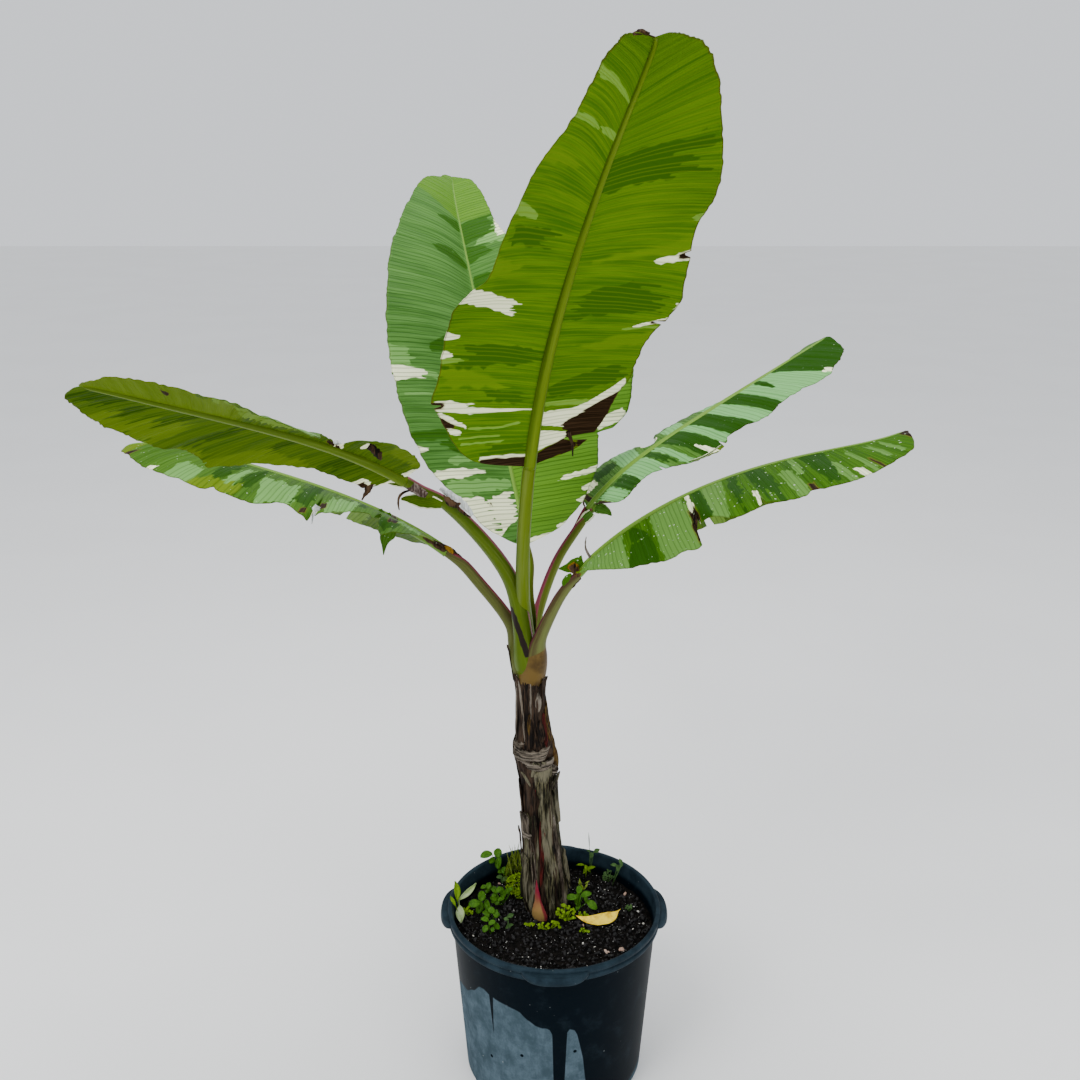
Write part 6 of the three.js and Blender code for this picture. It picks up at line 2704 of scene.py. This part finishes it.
@dataclass
class Studio:
    """The pale floor, the soft lights and the camera."""

    camera_place: Triple = (-23.5, -1796, 1549)
    tilt_down: float = 18.5
    focal: float = 1250
    frame_width: float = 1080
    sensor: float = 36.0
    floor_size: float = 30
    # Name, place in metres, power and size of each light
    lamps: Sequence[tuple[str, Triple, float, float]] = (
        ("key_light", (-1.6, -1.8, 3.4), 95.0, 2.0),
        ("fill_light", (1.8, -2.6, 1.4), 34.0, 2.6),
        ("top_light", (0.3, 0.8, 3.6), 55.0, 2.4),
    )
    aim: Triple = (0, 0, 0.9)

    def floor(self) -> None:
        """Lays the floor."""
        Workshop.clear()
        bpy.ops.mesh.primitive_plane_add(size=self.floor_size, location=(0, 0, 0))
        floor = Workshop.named("studio_floor")
        material, board, shader = new_material("floor_finish")
        shade = board.span(board.noise(board.object_place(), 2.0), 0.3, 0.7)
        colour = board.mix(shade, (0.86, 0.86, 0.85), (0.88, 0.88, 0.87))
        board.feed(shader.inputs["Base Color"], colour)
        shader.inputs["Roughness"].default_value = 0.9
        floor.data.materials.append(material)

    def lights(self) -> None:
        """Hangs the lights: a wide key, a front fill, and a plain bright surround."""
        world = bpy.data.worlds.new("studio_surround")
        world.use_nodes = True
        surround = world.node_tree.nodes["Background"]
        surround.inputs["Color"].default_value = (0.92, 0.95, 1.0, 1)
        surround.inputs["Strength"].default_value = 1.05
        bpy.context.scene.world = world
        for name, place, power, size in self.lamps:
            Workshop.clear()
            bpy.ops.object.light_add(type="AREA", location=place)
            light = bpy.context.active_object
            light.name = name
            light.data.energy = power
            light.data.shape = "DISK"
            light.data.size = size
            aim = Vector(self.aim) - Vector(place)
            light.rotation_euler = aim.to_track_quat("-Z", "Y").to_euler()

    def camera(self) -> None:
        """Sets the camera at the photograph's place."""
        Workshop.clear()
        bpy.ops.object.camera_add(
            location=tuple(c * MM for c in self.camera_place),
            rotation=(math.radians(90 - self.tilt_down), 0, 0),
        )
        camera = bpy.context.active_object
        camera.name = "photograph_view"
        camera.data.sensor_width = self.sensor
        camera.data.lens = self.focal / self.frame_width * self.sensor
        camera.data.dof.use_dof = False
        bpy.context.scene.camera = camera


@dataclass
class Scrap:
    """A torn or dried piece that hangs from a blade or hugs a stalk.

    Attributes:
        name: Its name.
        leaf: Short name of its leaf.
        at: The half, row and distance t where it grows on.
        way: Its middle line from there, each as right and up in the front view.
        widths: Half its width along the way.
        look: Its dry finish, or none where it is as green as its leaf.
        cream: Share of its half width that has a cream margin.
        brown: Share of its length that is dead, at its end.
        stand: How far it stands off towards the front.
        cup: How far its margins bend back, as a share of its width.
    """

    name: str
    leaf: str
    at: tuple[Side, float, float]
    way: Sequence[Pair]
    widths: Sequence[float]
    look: Optional[Dry] = None
    cream: float = 0.0
    brown: float = 0.0
    stand: float = 3.0
    cup: float = 0.25

    rows: ClassVar[int] = 44
    columns: ClassVar[int] = 13
    thickness: ClassVar[float] = 0.8

    def build(self, shape: LeafShape, seed: int) -> bpy.types.Object:
        """Models the piece.

        Args:
            shape: The shape of its leaf.
            seed: Seed of its ragged margins.

        Returns:
            The piece, with the attributes of a blade's colours.
        """
        side, row, t = self.at
        start = shape.point(np.array([row]), np.array([t]), side, np.zeros(1))[0]
        spots = [(start[0] + x, start[1] - self.stand, start[2] + z) for x, z in self.way]
        share = np.linspace(0, 1, self.rows)
        line = line_through(spots, share)
        tangent = unit(np.gradient(line, axis=0))
        across = np.stack([tangent[:, 2], 0 * share, -tangent[:, 0]], -1)
        half = SmoothCurve(np.linspace(0, 1, len(self.widths)), self.widths).at(share)
        noise = Noise(seed)

        def place(i: Array, j: Array) -> Array:
            """Points of the piece for row and column numbers."""
            v = j / (self.columns - 1) * 2 - 1
            ragged = 1 + (0.2 if self.look else 0.07) * noise.soft(i + 60 * (v > 0), 4)
            spots = line[i] + across[i] * (v * half[i] * ragged)[:, None]
            bend = self.cup * half[i] * v * v + 0.9 * noise.plane(i * 0.8, v * 9, 5)
            return spots + np.stack([0 * v, bend, 0 * v], -1)

        piece = Workshop.sheet(f"scrap_{self.name}", self.rows, self.columns, place)
        along = Workshop.read(piece, "row") / (self.rows - 1)
        v = np.abs(Workshop.read(piece, "column") / (self.columns - 1) * 2 - 1)
        length = np.linalg.norm(np.diff(line, axis=0), axis=1).sum()
        Workshop.unwrap(piece, v * 20 * MM, along * length * MM)
        for tone in Tone:
            Workshop.keep(piece, tone.value, 0 * along)
        if self.cream:
            Workshop.keep(piece, Tone.CREAM.value, 0.5 + 2 * (v - 1 + self.cream))
        if self.brown:
            Workshop.keep(piece, Tone.BROWN.value, 0.5 + 3 * (along - 1 + self.brown))
        Workshop.keep(piece, "rim", smoothstep(0.8, 1.0, v))
        Workshop.thicken(piece, self.thickness)
        return piece


SCRAPS = (
    Scrap("grey_flap", "left_upper", (L, -30, 0), ((-17, 15), (-3, 2), (12, -10), (24, -17)),
          (3, 6.5, 7, 4), Dry.GREY, stand=9, cup=0.5),
    Scrap("lobe_flap", "left_upper", (L, 92, 72), ((0, 0), (4, -3), (11, -11), (15, -18)),
          (4, 5, 5, 1), Dry.DEAD, stand=6, cup=0.5),
    Scrap("hanging_flap", "left_upper", (R, 2, 42), ((0, 2), (-3, -8), (-8, -16), (-12, -23)),
          (6, 4.5, 2.4, 0.5), Dry.DEAD, stand=1),
    Scrap("lower_lobe", "left_upper", (L, -60, 0),
          ((26, -20), (13, -17), (-4, -14), (-21, -11), (-31, -11)), (6, 10, 11, 7, 1.5),
          cream=0.2, stand=4),
    Scrap("lobe_curl", "left_upper", (L, -60, 0),
          ((-11, 4), (-27, -1), (-34, -9), (-35, -20), (-34, -27)), (1.3, 1.5, 1.8, 1.6, 0.4),
          Dry.DEAD, stand=6),
    Scrap("sliver", "left_upper", (L, -30, 0), ((2, -4), (-14, -3), (-30, -1)), (3.5, 3.5, 0.8),
          cream=0.4, stand=2),
    Scrap("sheath_scrap", "left_upper", (L, -90, 0), ((6, 9), (17, 1), (29, -5), (36, -3)),
          (2.5, 5, 5, 1.5), Dry.DEAD, stand=8),
    Scrap("membrane", "left_upper", (L, -90, 0),
          ((6, 16), (18, 9), (32, -3), (44, -14), (52, -24)), (2.5, 5, 6, 5, 2), Dry.MEMBRANE,
          stand=-3),
    Scrap("sheath_edge", "left_upper", (L, -90, 0), ((28, -5), (39, -17), (50, -24)),
          (1, 1.8, 1.2), Dry.DEAD, stand=7),
    Scrap("pale_strip", "left_upper", (L, 128, 4), ((-3, 2), (6, 4), (14, 0)), (2.5, 3.2, 1),
          Dry.MEMBRANE, stand=-2),
    Scrap("base_rot", "left_lower", (L, 0, 0), ((-35, 24), (-11, 8), (8, -4), (26, -16)),
          (2, 6, 8, 2.5), Dry.DEAD, stand=9, cup=0.5),
    Scrap("base_rust", "left_lower", (L, 0, 0), ((-2, 10), (6, 4), (12, -2)), (2, 4, 1),
          Dry.RUST, stand=12),
    Scrap("white_corner", "left_lower", (L, 204, 134),
          ((4, 4), (-1, -4), (-4, -13), (-6, -23)), (5, 4.5, 1.4, 0.3), Dry.MEMBRANE, stand=1),
    Scrap("hanging_tip", "left_lower", (L, 109, 18),
          ((0, 2), (3, -14), (3, -28), (-3, -43), (-6, -66)), (7, 10, 12, 5, 0.4), stand=2),
    Scrap("scallop", "left_lower", (L, 120, 8), ((6, 2), (-4, -4), (-14, -3)), (4, 6, 2),
          stand=3),
    Scrap("dry_ring", "left_lower", (L, 95, 6), ((-6, 4), (0, 0), (3, -5), (-2, -8)),
          (4, 5.5, 4, 1), Dry.GREY, stand=5.5),
    Scrap("base_lobe", "right_lower", (R, 0, 0), ((8, 14), (-5, 11), (-17, 8), (-30, 7)),
          (14, 12, 7, 1), stand=6),
    Scrap("hole_rim", "right_lower", (R, 0, 0), ((-12, 16), (-7, 8), (-2, 2), (0, -5)),
          (6, 8, 6.5, 2.5), Dry.RUST, stand=9),
    Scrap("hole", "right_lower", (R, 0, 0), ((-11, 14), (-7, 8), (-2, 2), (0, -5)),
          (4, 6, 4.5, 2), Dry.DEAD, stand=10.5),
    Scrap("lower_flap", "right_lower", (R, -30, 0), ((8, 21), (2, 15), (-1, 8), (2, -1)),
          (4, 6, 7, 3.5), stand=8, brown=0.12),
    Scrap("brown_flap", "right_lower", (R, -30, 0), ((19, 21), (16, 15), (11, 6), (8, -1)),
          (4, 5, 3.5, 1.2), Dry.DEAD, stand=6),
    Scrap("grey_spike", "right_lower", (R, 30, 0), ((2, -3), (-5, 8), (-9, 21), (-8, 35)),
          (2.2, 1.8, 1.2, 0.4), Dry.GREY, stand=2),
    Scrap("notch_strand", "right_lower", (R, 205, 96), ((0, 4), (2, -8), (3, -20)),
          (3, 2.2, 0.6), Dry.DEAD, stand=2),
    Scrap("upper_lobe", "right_upper", (R, 0, 0), ((4, 1), (17, -2), (28, -7), (35, -14)),
          (7, 10, 7, 0.8), cream=0.12, stand=6),
    Scrap("upper_lobe_low", "right_upper", (R, -30, 0), ((18, 17), (10, 9), (1, 0), (-8, -6)),
          (7, 9, 7, 2), cream=0.3, stand=7),
    Scrap("black_curl", "right_upper", (L, 0, 0), ((-8, 20), (-12, 14), (-12, 4), (-10, 0)),
          (1.2, 1.6, 1.4, 1.2), Dry.DEAD, stand=-1.5),
    Scrap("yellow_strand", "right_upper", (R, 163, 144), ((-18, -9), (4, -2), (34, 18)),
          (0.8, 1.6, 0.6), cream=0.5, stand=-0.5),
    Scrap("tip_curl", "front", (R, 694, 10), ((-13, 0), (-5, 2), (4, 0)), (1.2, 2.6, 1.2),
          Dry.DEAD, stand=2.5),
    Scrap("rib_scar", "front", (L, 612, 0), ((-3, 0), (0, 1), (3.5, 1)), (1.2, 1.7, 1.2), Dry.DEAD,
          stand=4),
    Scrap("hanging_strand", "front", (L, 41, 58), ((0, 3), (6, -14), (7, -32)),
          (3, 1.8, 0.5), Dry.DEAD, stand=3),
)


class Greenery:
    """The six leaves with their midribs and stalks."""

    tops = {
        # Back leaf: its own green, with the bluish sheen of light on its upper side painted into the
        # green and light colours
        "back": BladeFinish(
            "leaf_back_green_and_sheen_finish", green=(0.042, 0.128, 0.016), light=(0.085, 0.215, 0.040),
            pale=(0.17, 0.37, 0.09), dark=(0.022, 0.088, 0.0), yellow=(0.105, 0.245, 0.012),
            line=(0.014, 0.060, 0.004), line_share=0.5, roughness=0.42,
        ),
        "left_lower": BladeFinish(
            "leaf_left_lower_finish", green=(0.034, 0.095, 0.004), light=(0.062, 0.150, 0.014),
            pale=(0.15, 0.33, 0.085), dark=(0.014, 0.058, 0.0), droplets=0.7, gloss=0.03,
        ),
        "right_upper": BladeFinish(
            "leaf_right_upper_finish", green=(0.036, 0.110, 0.006), light=(0.08, 0.190, 0.03),
            pale=(0.18, 0.45, 0.15), dark=(0.010, 0.054, 0.0), droplets=0.5, gloss=0.025,
        ),
        # Right lower leaf: its pale streaks are partly its own pale banding and partly the sheen of
        # light painted in
        "right_lower": BladeFinish(
            "leaf_right_lower_finish", green=(0.024, 0.085, 0.0), light=(0.050, 0.140, 0.004),
            pale=(0.115, 0.25, 0.048), dark=(0.012, 0.058, 0.0), droplets=1.0, gloss=0.025,
        ),
    }
    plain_top = BladeFinish(
        "leaf_upper_finish", green=(0.035, 0.110, 0.002), light=(0.075, 0.17, 0.008),
        pale=(0.16, 0.32, 0.08), dark=(0.020, 0.070, 0.001),
    )
    # Undersides: the blade's own green, made brighter and more saturated to paint the light that
    # shines through the blade
    front_under = BladeFinish(
        "leaf_front_under_backlit_finish", green=(0.036, 0.115, 0.0), light=(0.086, 0.185, 0.0),
        pale=(0.17, 0.32, 0.04), dark=(0.028, 0.092, 0.0), yellow=(0.115, 0.215, 0.0),
        rim_share=0.6, line=(0.12, 0.20, 0.0), line_share=0.4, roughness=0.6, gloss=0.02,
    )
    left_under = BladeFinish(
        "leaf_left_under_backlit_finish", green=(0.026, 0.068, 0.0), light=(0.062, 0.116, 0.0),
        pale=(0.13, 0.23, 0.02), dark=(0.019, 0.052, 0.0), yellow=(0.105, 0.170, 0.0),
        rim_share=0.3, line=(0.09, 0.15, 0.0), line_share=0.35, roughness=0.6, gloss=0.012,
    )
    plain_under = BladeFinish(
        "leaf_under_finish", green=(0.032, 0.085, 0.001), light=(0.07, 0.13, 0.003),
        pale=(0.13, 0.24, 0.03), dark=(0.025, 0.075, 0.001), roughness=0.55, gloss=0.04,
    )
    rib_under = StalkFinish("rib_under_finish", (0.092, 0.145, 0.0), (0.06, 0.108, 0.0),
                            (0.065, 0.125, 0.0), (0.17, 0.23, 0.02))
    rib_upper = StalkFinish("rib_upper_finish", (0.13, 0.25, 0.03), (0.10, 0.20, 0.02),
                            (0.10, 0.17, 0.02), (0.24, 0.40, 0.10))
    stalks = {
        "front": StalkFinish(
            "stalk_front_finish", (0.085, 0.130, 0.0), (0.050, 0.085, 0.0),
            (0.07, 0.075, 0.008)),
        "back": StalkFinish(
            "stalk_back_finish", (0.11, 0.17, 0.015), (0.060, 0.10, 0.003),
            (0.085, 0.09, 0.012)),
        "left_upper": StalkFinish(
            "stalk_left_upper_finish", (0.058, 0.098, 0.0),
            (0.032, 0.060, 0.0), (0.20, 0.035, 0.075)),
        "left_lower": StalkFinish(
            "stalk_left_lower_finish", (0.075, 0.085, 0.016),
            (0.050, 0.042, 0.012), (0.19, 0.020, 0.050)),
        "right_upper": StalkFinish(
            "stalk_right_upper_finish", (0.080, 0.115, 0.004),
            (0.065, 0.080, 0.006), (0.22, 0.025, 0.065)),
        "right_lower": StalkFinish(
            "stalk_right_lower_finish", (0.095, 0.105, 0.030),
            (0.050, 0.034, 0.012), (0.085, 0.016, 0.030)),
    }
    scraps = {
        Dry.DEAD: DryFinish(
            "scrap_dead_finish", (0.004, 0.002, 0.001), (0.060, 0.030, 0.013),
            (0.12, 0.07, 0.035), 0.3),
        Dry.GREY: DryFinish(
            "scrap_grey_finish", (0.035, 0.020, 0.014), (0.17, 0.13, 0.11),
            (0.28, 0.24, 0.21), 0.4),
        Dry.MEMBRANE: DryFinish(
            "scrap_membrane_finish", (0.36, 0.39, 0.38), (0.62, 0.66, 0.65),
            (0.50, 0.46, 0.36), 0.3),
        Dry.RUST: DryFinish(
            "scrap_rust_finish", (0.07, 0.035, 0.0), (0.24, 0.11, 0.004),
            (0.16, 0.13, 0.0), 0.4),
    }
    blade_seed, stalk_seed, scrap_seed = 11, 41, 301
    # How far each stalk's sheath lies off the stem's own radius
    layers = {"right_lower": 3.6, "left_lower": 2.9, "right_upper": 2.0, "left_upper": 1.3,
              "front": -6.0, "back": -8.0}

    def build(self, effects: EffectGroups, stem: StemShape) -> None:
        """Models and dresses all the leaves.

        Args:
            effects: The shared node groups.
            stem: The false stem.
        """
        tops = {name: finish.build(effects) for name, finish in self.tops.items()}
        plain_top, plain_under = self.plain_top.build(effects), self.plain_under.build(effects)
        unders = {"front": self.front_under.build(effects),
                  "left_upper": self.left_under.build(effects)}
        rib_under, rib_upper = self.rib_under.build(), self.rib_upper.build()
        dry = {name: finish.build(effects) for name, finish in self.scraps.items()}
        for number, leaf in enumerate(LEAVES):
            shape = LeafShape(leaf)
            node = f"leaf_{leaf.name}"
            blade = BladePiece(shape, self.blade_seed + number).build(
                tops.get(leaf.name, plain_top), unders.get(leaf.name, plain_under))
            hand_over(blade, node)
            rib = MidribPiece(shape).build()
            hand_over(rib, node, rib_under if leaf.seen_from_below else rib_upper)
            stalk = StalkPiece(shape, stem, self.layers[leaf.name],
                               self.stalk_seed + number).build()
            hand_over(stalk, f"stalk_{leaf.name}", self.stalks[leaf.name].build())
            green = unders if leaf.seen_from_below else tops
            for count, scrap in enumerate(SCRAPS):
                if scrap.leaf == leaf.name:
                    hand_over(scrap.build(shape, self.scrap_seed + count), node,
                              dry.get(scrap.look) or green[leaf.name])


class StemDress:
    """All that stands on the soil below the stalks."""

    strip_seed = 101
    band_seed = 77
    tongue = Scale("tongue_scale", -14, 531, 636, 10, (0, 3), 3)
    stub = Scale("stub_scale", -22, 508, 548, 9, (2, 5), 4)
    shoot = Scale("shoot_scale", -107, 266, 350, 10.5, (4, 8), 6)
    shoot_finish = StalkFinish("shoot_finish", (0.30, 0.19, 0.06), (0.20, 0.016, 0.035),
                               (0.17, 0.008, 0.025), (0.26, 0.12, 0.06))
    finishes = {
        Dry.UMBER: DryFinish(
            "dry_umber_finish", (0.002, 0.001, 0.0006), (0.040, 0.023, 0.013),
            (0.085, 0.055, 0.036), 0.22),
        Dry.OLIVE: DryFinish(
            "dry_olive_finish", (0.006, 0.005, 0.002), (0.100, 0.090, 0.045),
            (0.18, 0.165, 0.115), 0.5),
        Dry.TAN: DryFinish(
            "dry_tan_finish", (0.010, 0.004, 0.001), (0.110, 0.065, 0.012),
            (0.035, 0.008, 0.004), 0.5),
        Dry.STRAW: DryFinish(
            "dry_straw_finish", (0.012, 0.008, 0.005), (0.14, 0.112, 0.082),
            (0.26, 0.23, 0.19), 0.45),
        Dry.BAND: DryFinish(
            "dry_band_finish", (0.010, 0.007, 0.004), (0.15, 0.122, 0.092),
            (0.24, 0.21, 0.17), 0.4, lying=True),
        Dry.RED: DryFinish(
            "dry_red_finish", (0.012, 0.002, 0.001), (0.10, 0.012, 0.010),
            (0.03, 0.006, 0.004), 0.5),
    }

    def build(self, effects: EffectGroups, shape: StemShape) -> None:
        """Models and dresses the stem and what is on it.

        Args:
            effects: The shared node groups.
            shape: The stem's shape.
        """
        made = {name: finish.build(effects) for name, finish in self.finishes.items()}
        stem = FalseStem(shape)
        hand_over(stem.core(), "false_stem", made[Dry.UMBER])
        for number, strip in enumerate(STRIPS):
            hand_over(stem.strip(strip, self.strip_seed + number), "false_stem",
                      made[strip.finish])
        for number, band in enumerate(BANDS):
            piece = stem.band(f"dry_knot_{number + 1}", band, self.band_seed + number)
            hand_over(piece, "false_stem", made[Dry.BAND])
        hand_over(stem.scale(self.tongue), "sheath_tongue", made[Dry.TAN])
        hand_over(stem.scale(self.stub), "stalk_stub", made[Dry.STRAW])
        hand_over(stem.scale(self.shoot), "foot_shoot", self.shoot_finish.build())


class PotDress:
    """The pot and all that lies in it."""

    earth = PlainFinish("earth_finish", (0.0015, 0.0015, 0.0013), (0.009, 0.0075, 0.0065),
                        160.0, 0.9, 1.2, gloss=0.04)
    # Where the stones and the larger white bits lie
    stones = ((88, -82), (107, -76), (84, -82), (110, -76), (125, 80))
    bits = (
        (29, -66), (47, -62), (93, 118), (90, 92), (83, 68), (-130, 126), (-68, 28), (-93, 4),
        (-38, -74), (-42, -96), (22, -86), (58, -48), (52, -116), (-22, -118), (66, -70),
        (132, -20), (98, -10), (120, 30), (138, 44), (-134, -38), (-120, 70), (30, -112),
    )
    litter = (
        Crumbs("soil_crumbs", 2600, (1.0, 5.6), 8, 0.5, PlainFinish(
            "bark_crumb_finish", (0.0010, 0.0010, 0.0011), (0.024, 0.022, 0.022), 90.0, 0.6,
            0.5, True, 0.25)),
        Crumbs("soil_perlite", 460, (0.35, 1.3), 21, 0.2, PlainFinish(
            "perlite_finish", (0.35, 0.34, 0.32), (0.75, 0.74, 0.70), 200.0, 0.8, 0.3, True)),
        Crumbs("soil_stones", 9, (3.0, 6.0), 33, 0.4, PlainFinish(
            "stone_finish", (0.42, 0.27, 0.20), (0.62, 0.5, 0.42), 120.0, 0.7, 0.3, True),
            stones),
        Crumbs("soil_white_bits", 30, (1.2, 3.2), 34, 0.3, PlainFinish(
            "white_bit_finish", (0.45, 0.42, 0.36), (0.80, 0.78, 0.72), 150.0, 0.8, 0.3, True),
            bits),
    )
    greens = {
        Tint.FRESH: PlainFinish(
            "weed_fresh_finish", (0.030, 0.10, 0.003), (0.085, 0.21, 0.012),
            260.0, 0.5, 0.2, True),
        Tint.BRIGHT: PlainFinish(
            "weed_bright_finish", (0.085, 0.17, 0.0), (0.22, 0.36, 0.004),
            260.0, 0.5, 0.2, True),
        Tint.DULL: PlainFinish(
            "weed_dull_finish", (0.035, 0.085, 0.02), (0.08, 0.15, 0.045),
            260.0, 0.6, 0.2, True),
        Tint.PALE: PlainFinish(
            "weed_pale_finish", (0.30, 0.42, 0.14), (0.62, 0.66, 0.50),
            90.0, 0.5, 0.2, True),
        Tint.STRAW: PlainFinish(
            "weed_straw_finish", (0.16, 0.25, 0.008), (0.42, 0.48, 0.12),
            260.0, 0.6, 0.2, True),
    }
    yellowed = PlainFinish("fallen_leaf_finish", (0.60, 0.36, 0.01), (0.95, 0.70, 0.06),
                           70.0, 0.6, 0.4)

    def build(self, effects: EffectGroups) -> None:
        """Models and dresses the pot, the soil and what lies and grows on it.

        Args:
            effects: The shared node groups.
        """
        pot = NurseryPot()
        plastic = PotFinish().build(effects)
        hand_over(pot.body(), "pot", plastic)
        for way in pot.grip_ways:
            hand_over(pot.grip(way), "pot", plastic)
        soil = PottingSoil()
        hand_over(soil.surface(), "soil", self.earth.build())
        for kind in self.litter:
            hand_over(soil.crumbs(kind), "soil", kind.finish.build())
        made = {name: finish.build() for name, finish in self.greens.items()}
        for weed in WEEDS:
            hand_over(weed.build(soil.top + soil.crown), "soil", made[weed.tint])
        hand_over(FallenLeaf().build(), "soil", self.yellowed.build())


def main() -> None:
    """Builds the plant, its pot and the studio, in order."""
    logging.basicConfig(level=logging.INFO, format="%(name)s: %(message)s")
    effects = EffectGroups()
    stem = StemShape()
    studio = Studio()
    studio.camera()
    studio.floor()
    studio.lights()
    PotDress().build(effects)
    StemDress().build(effects, stem)
    Greenery().build(effects, stem)
    Workshop.clear()


if __name__ == "__main__":
    main()
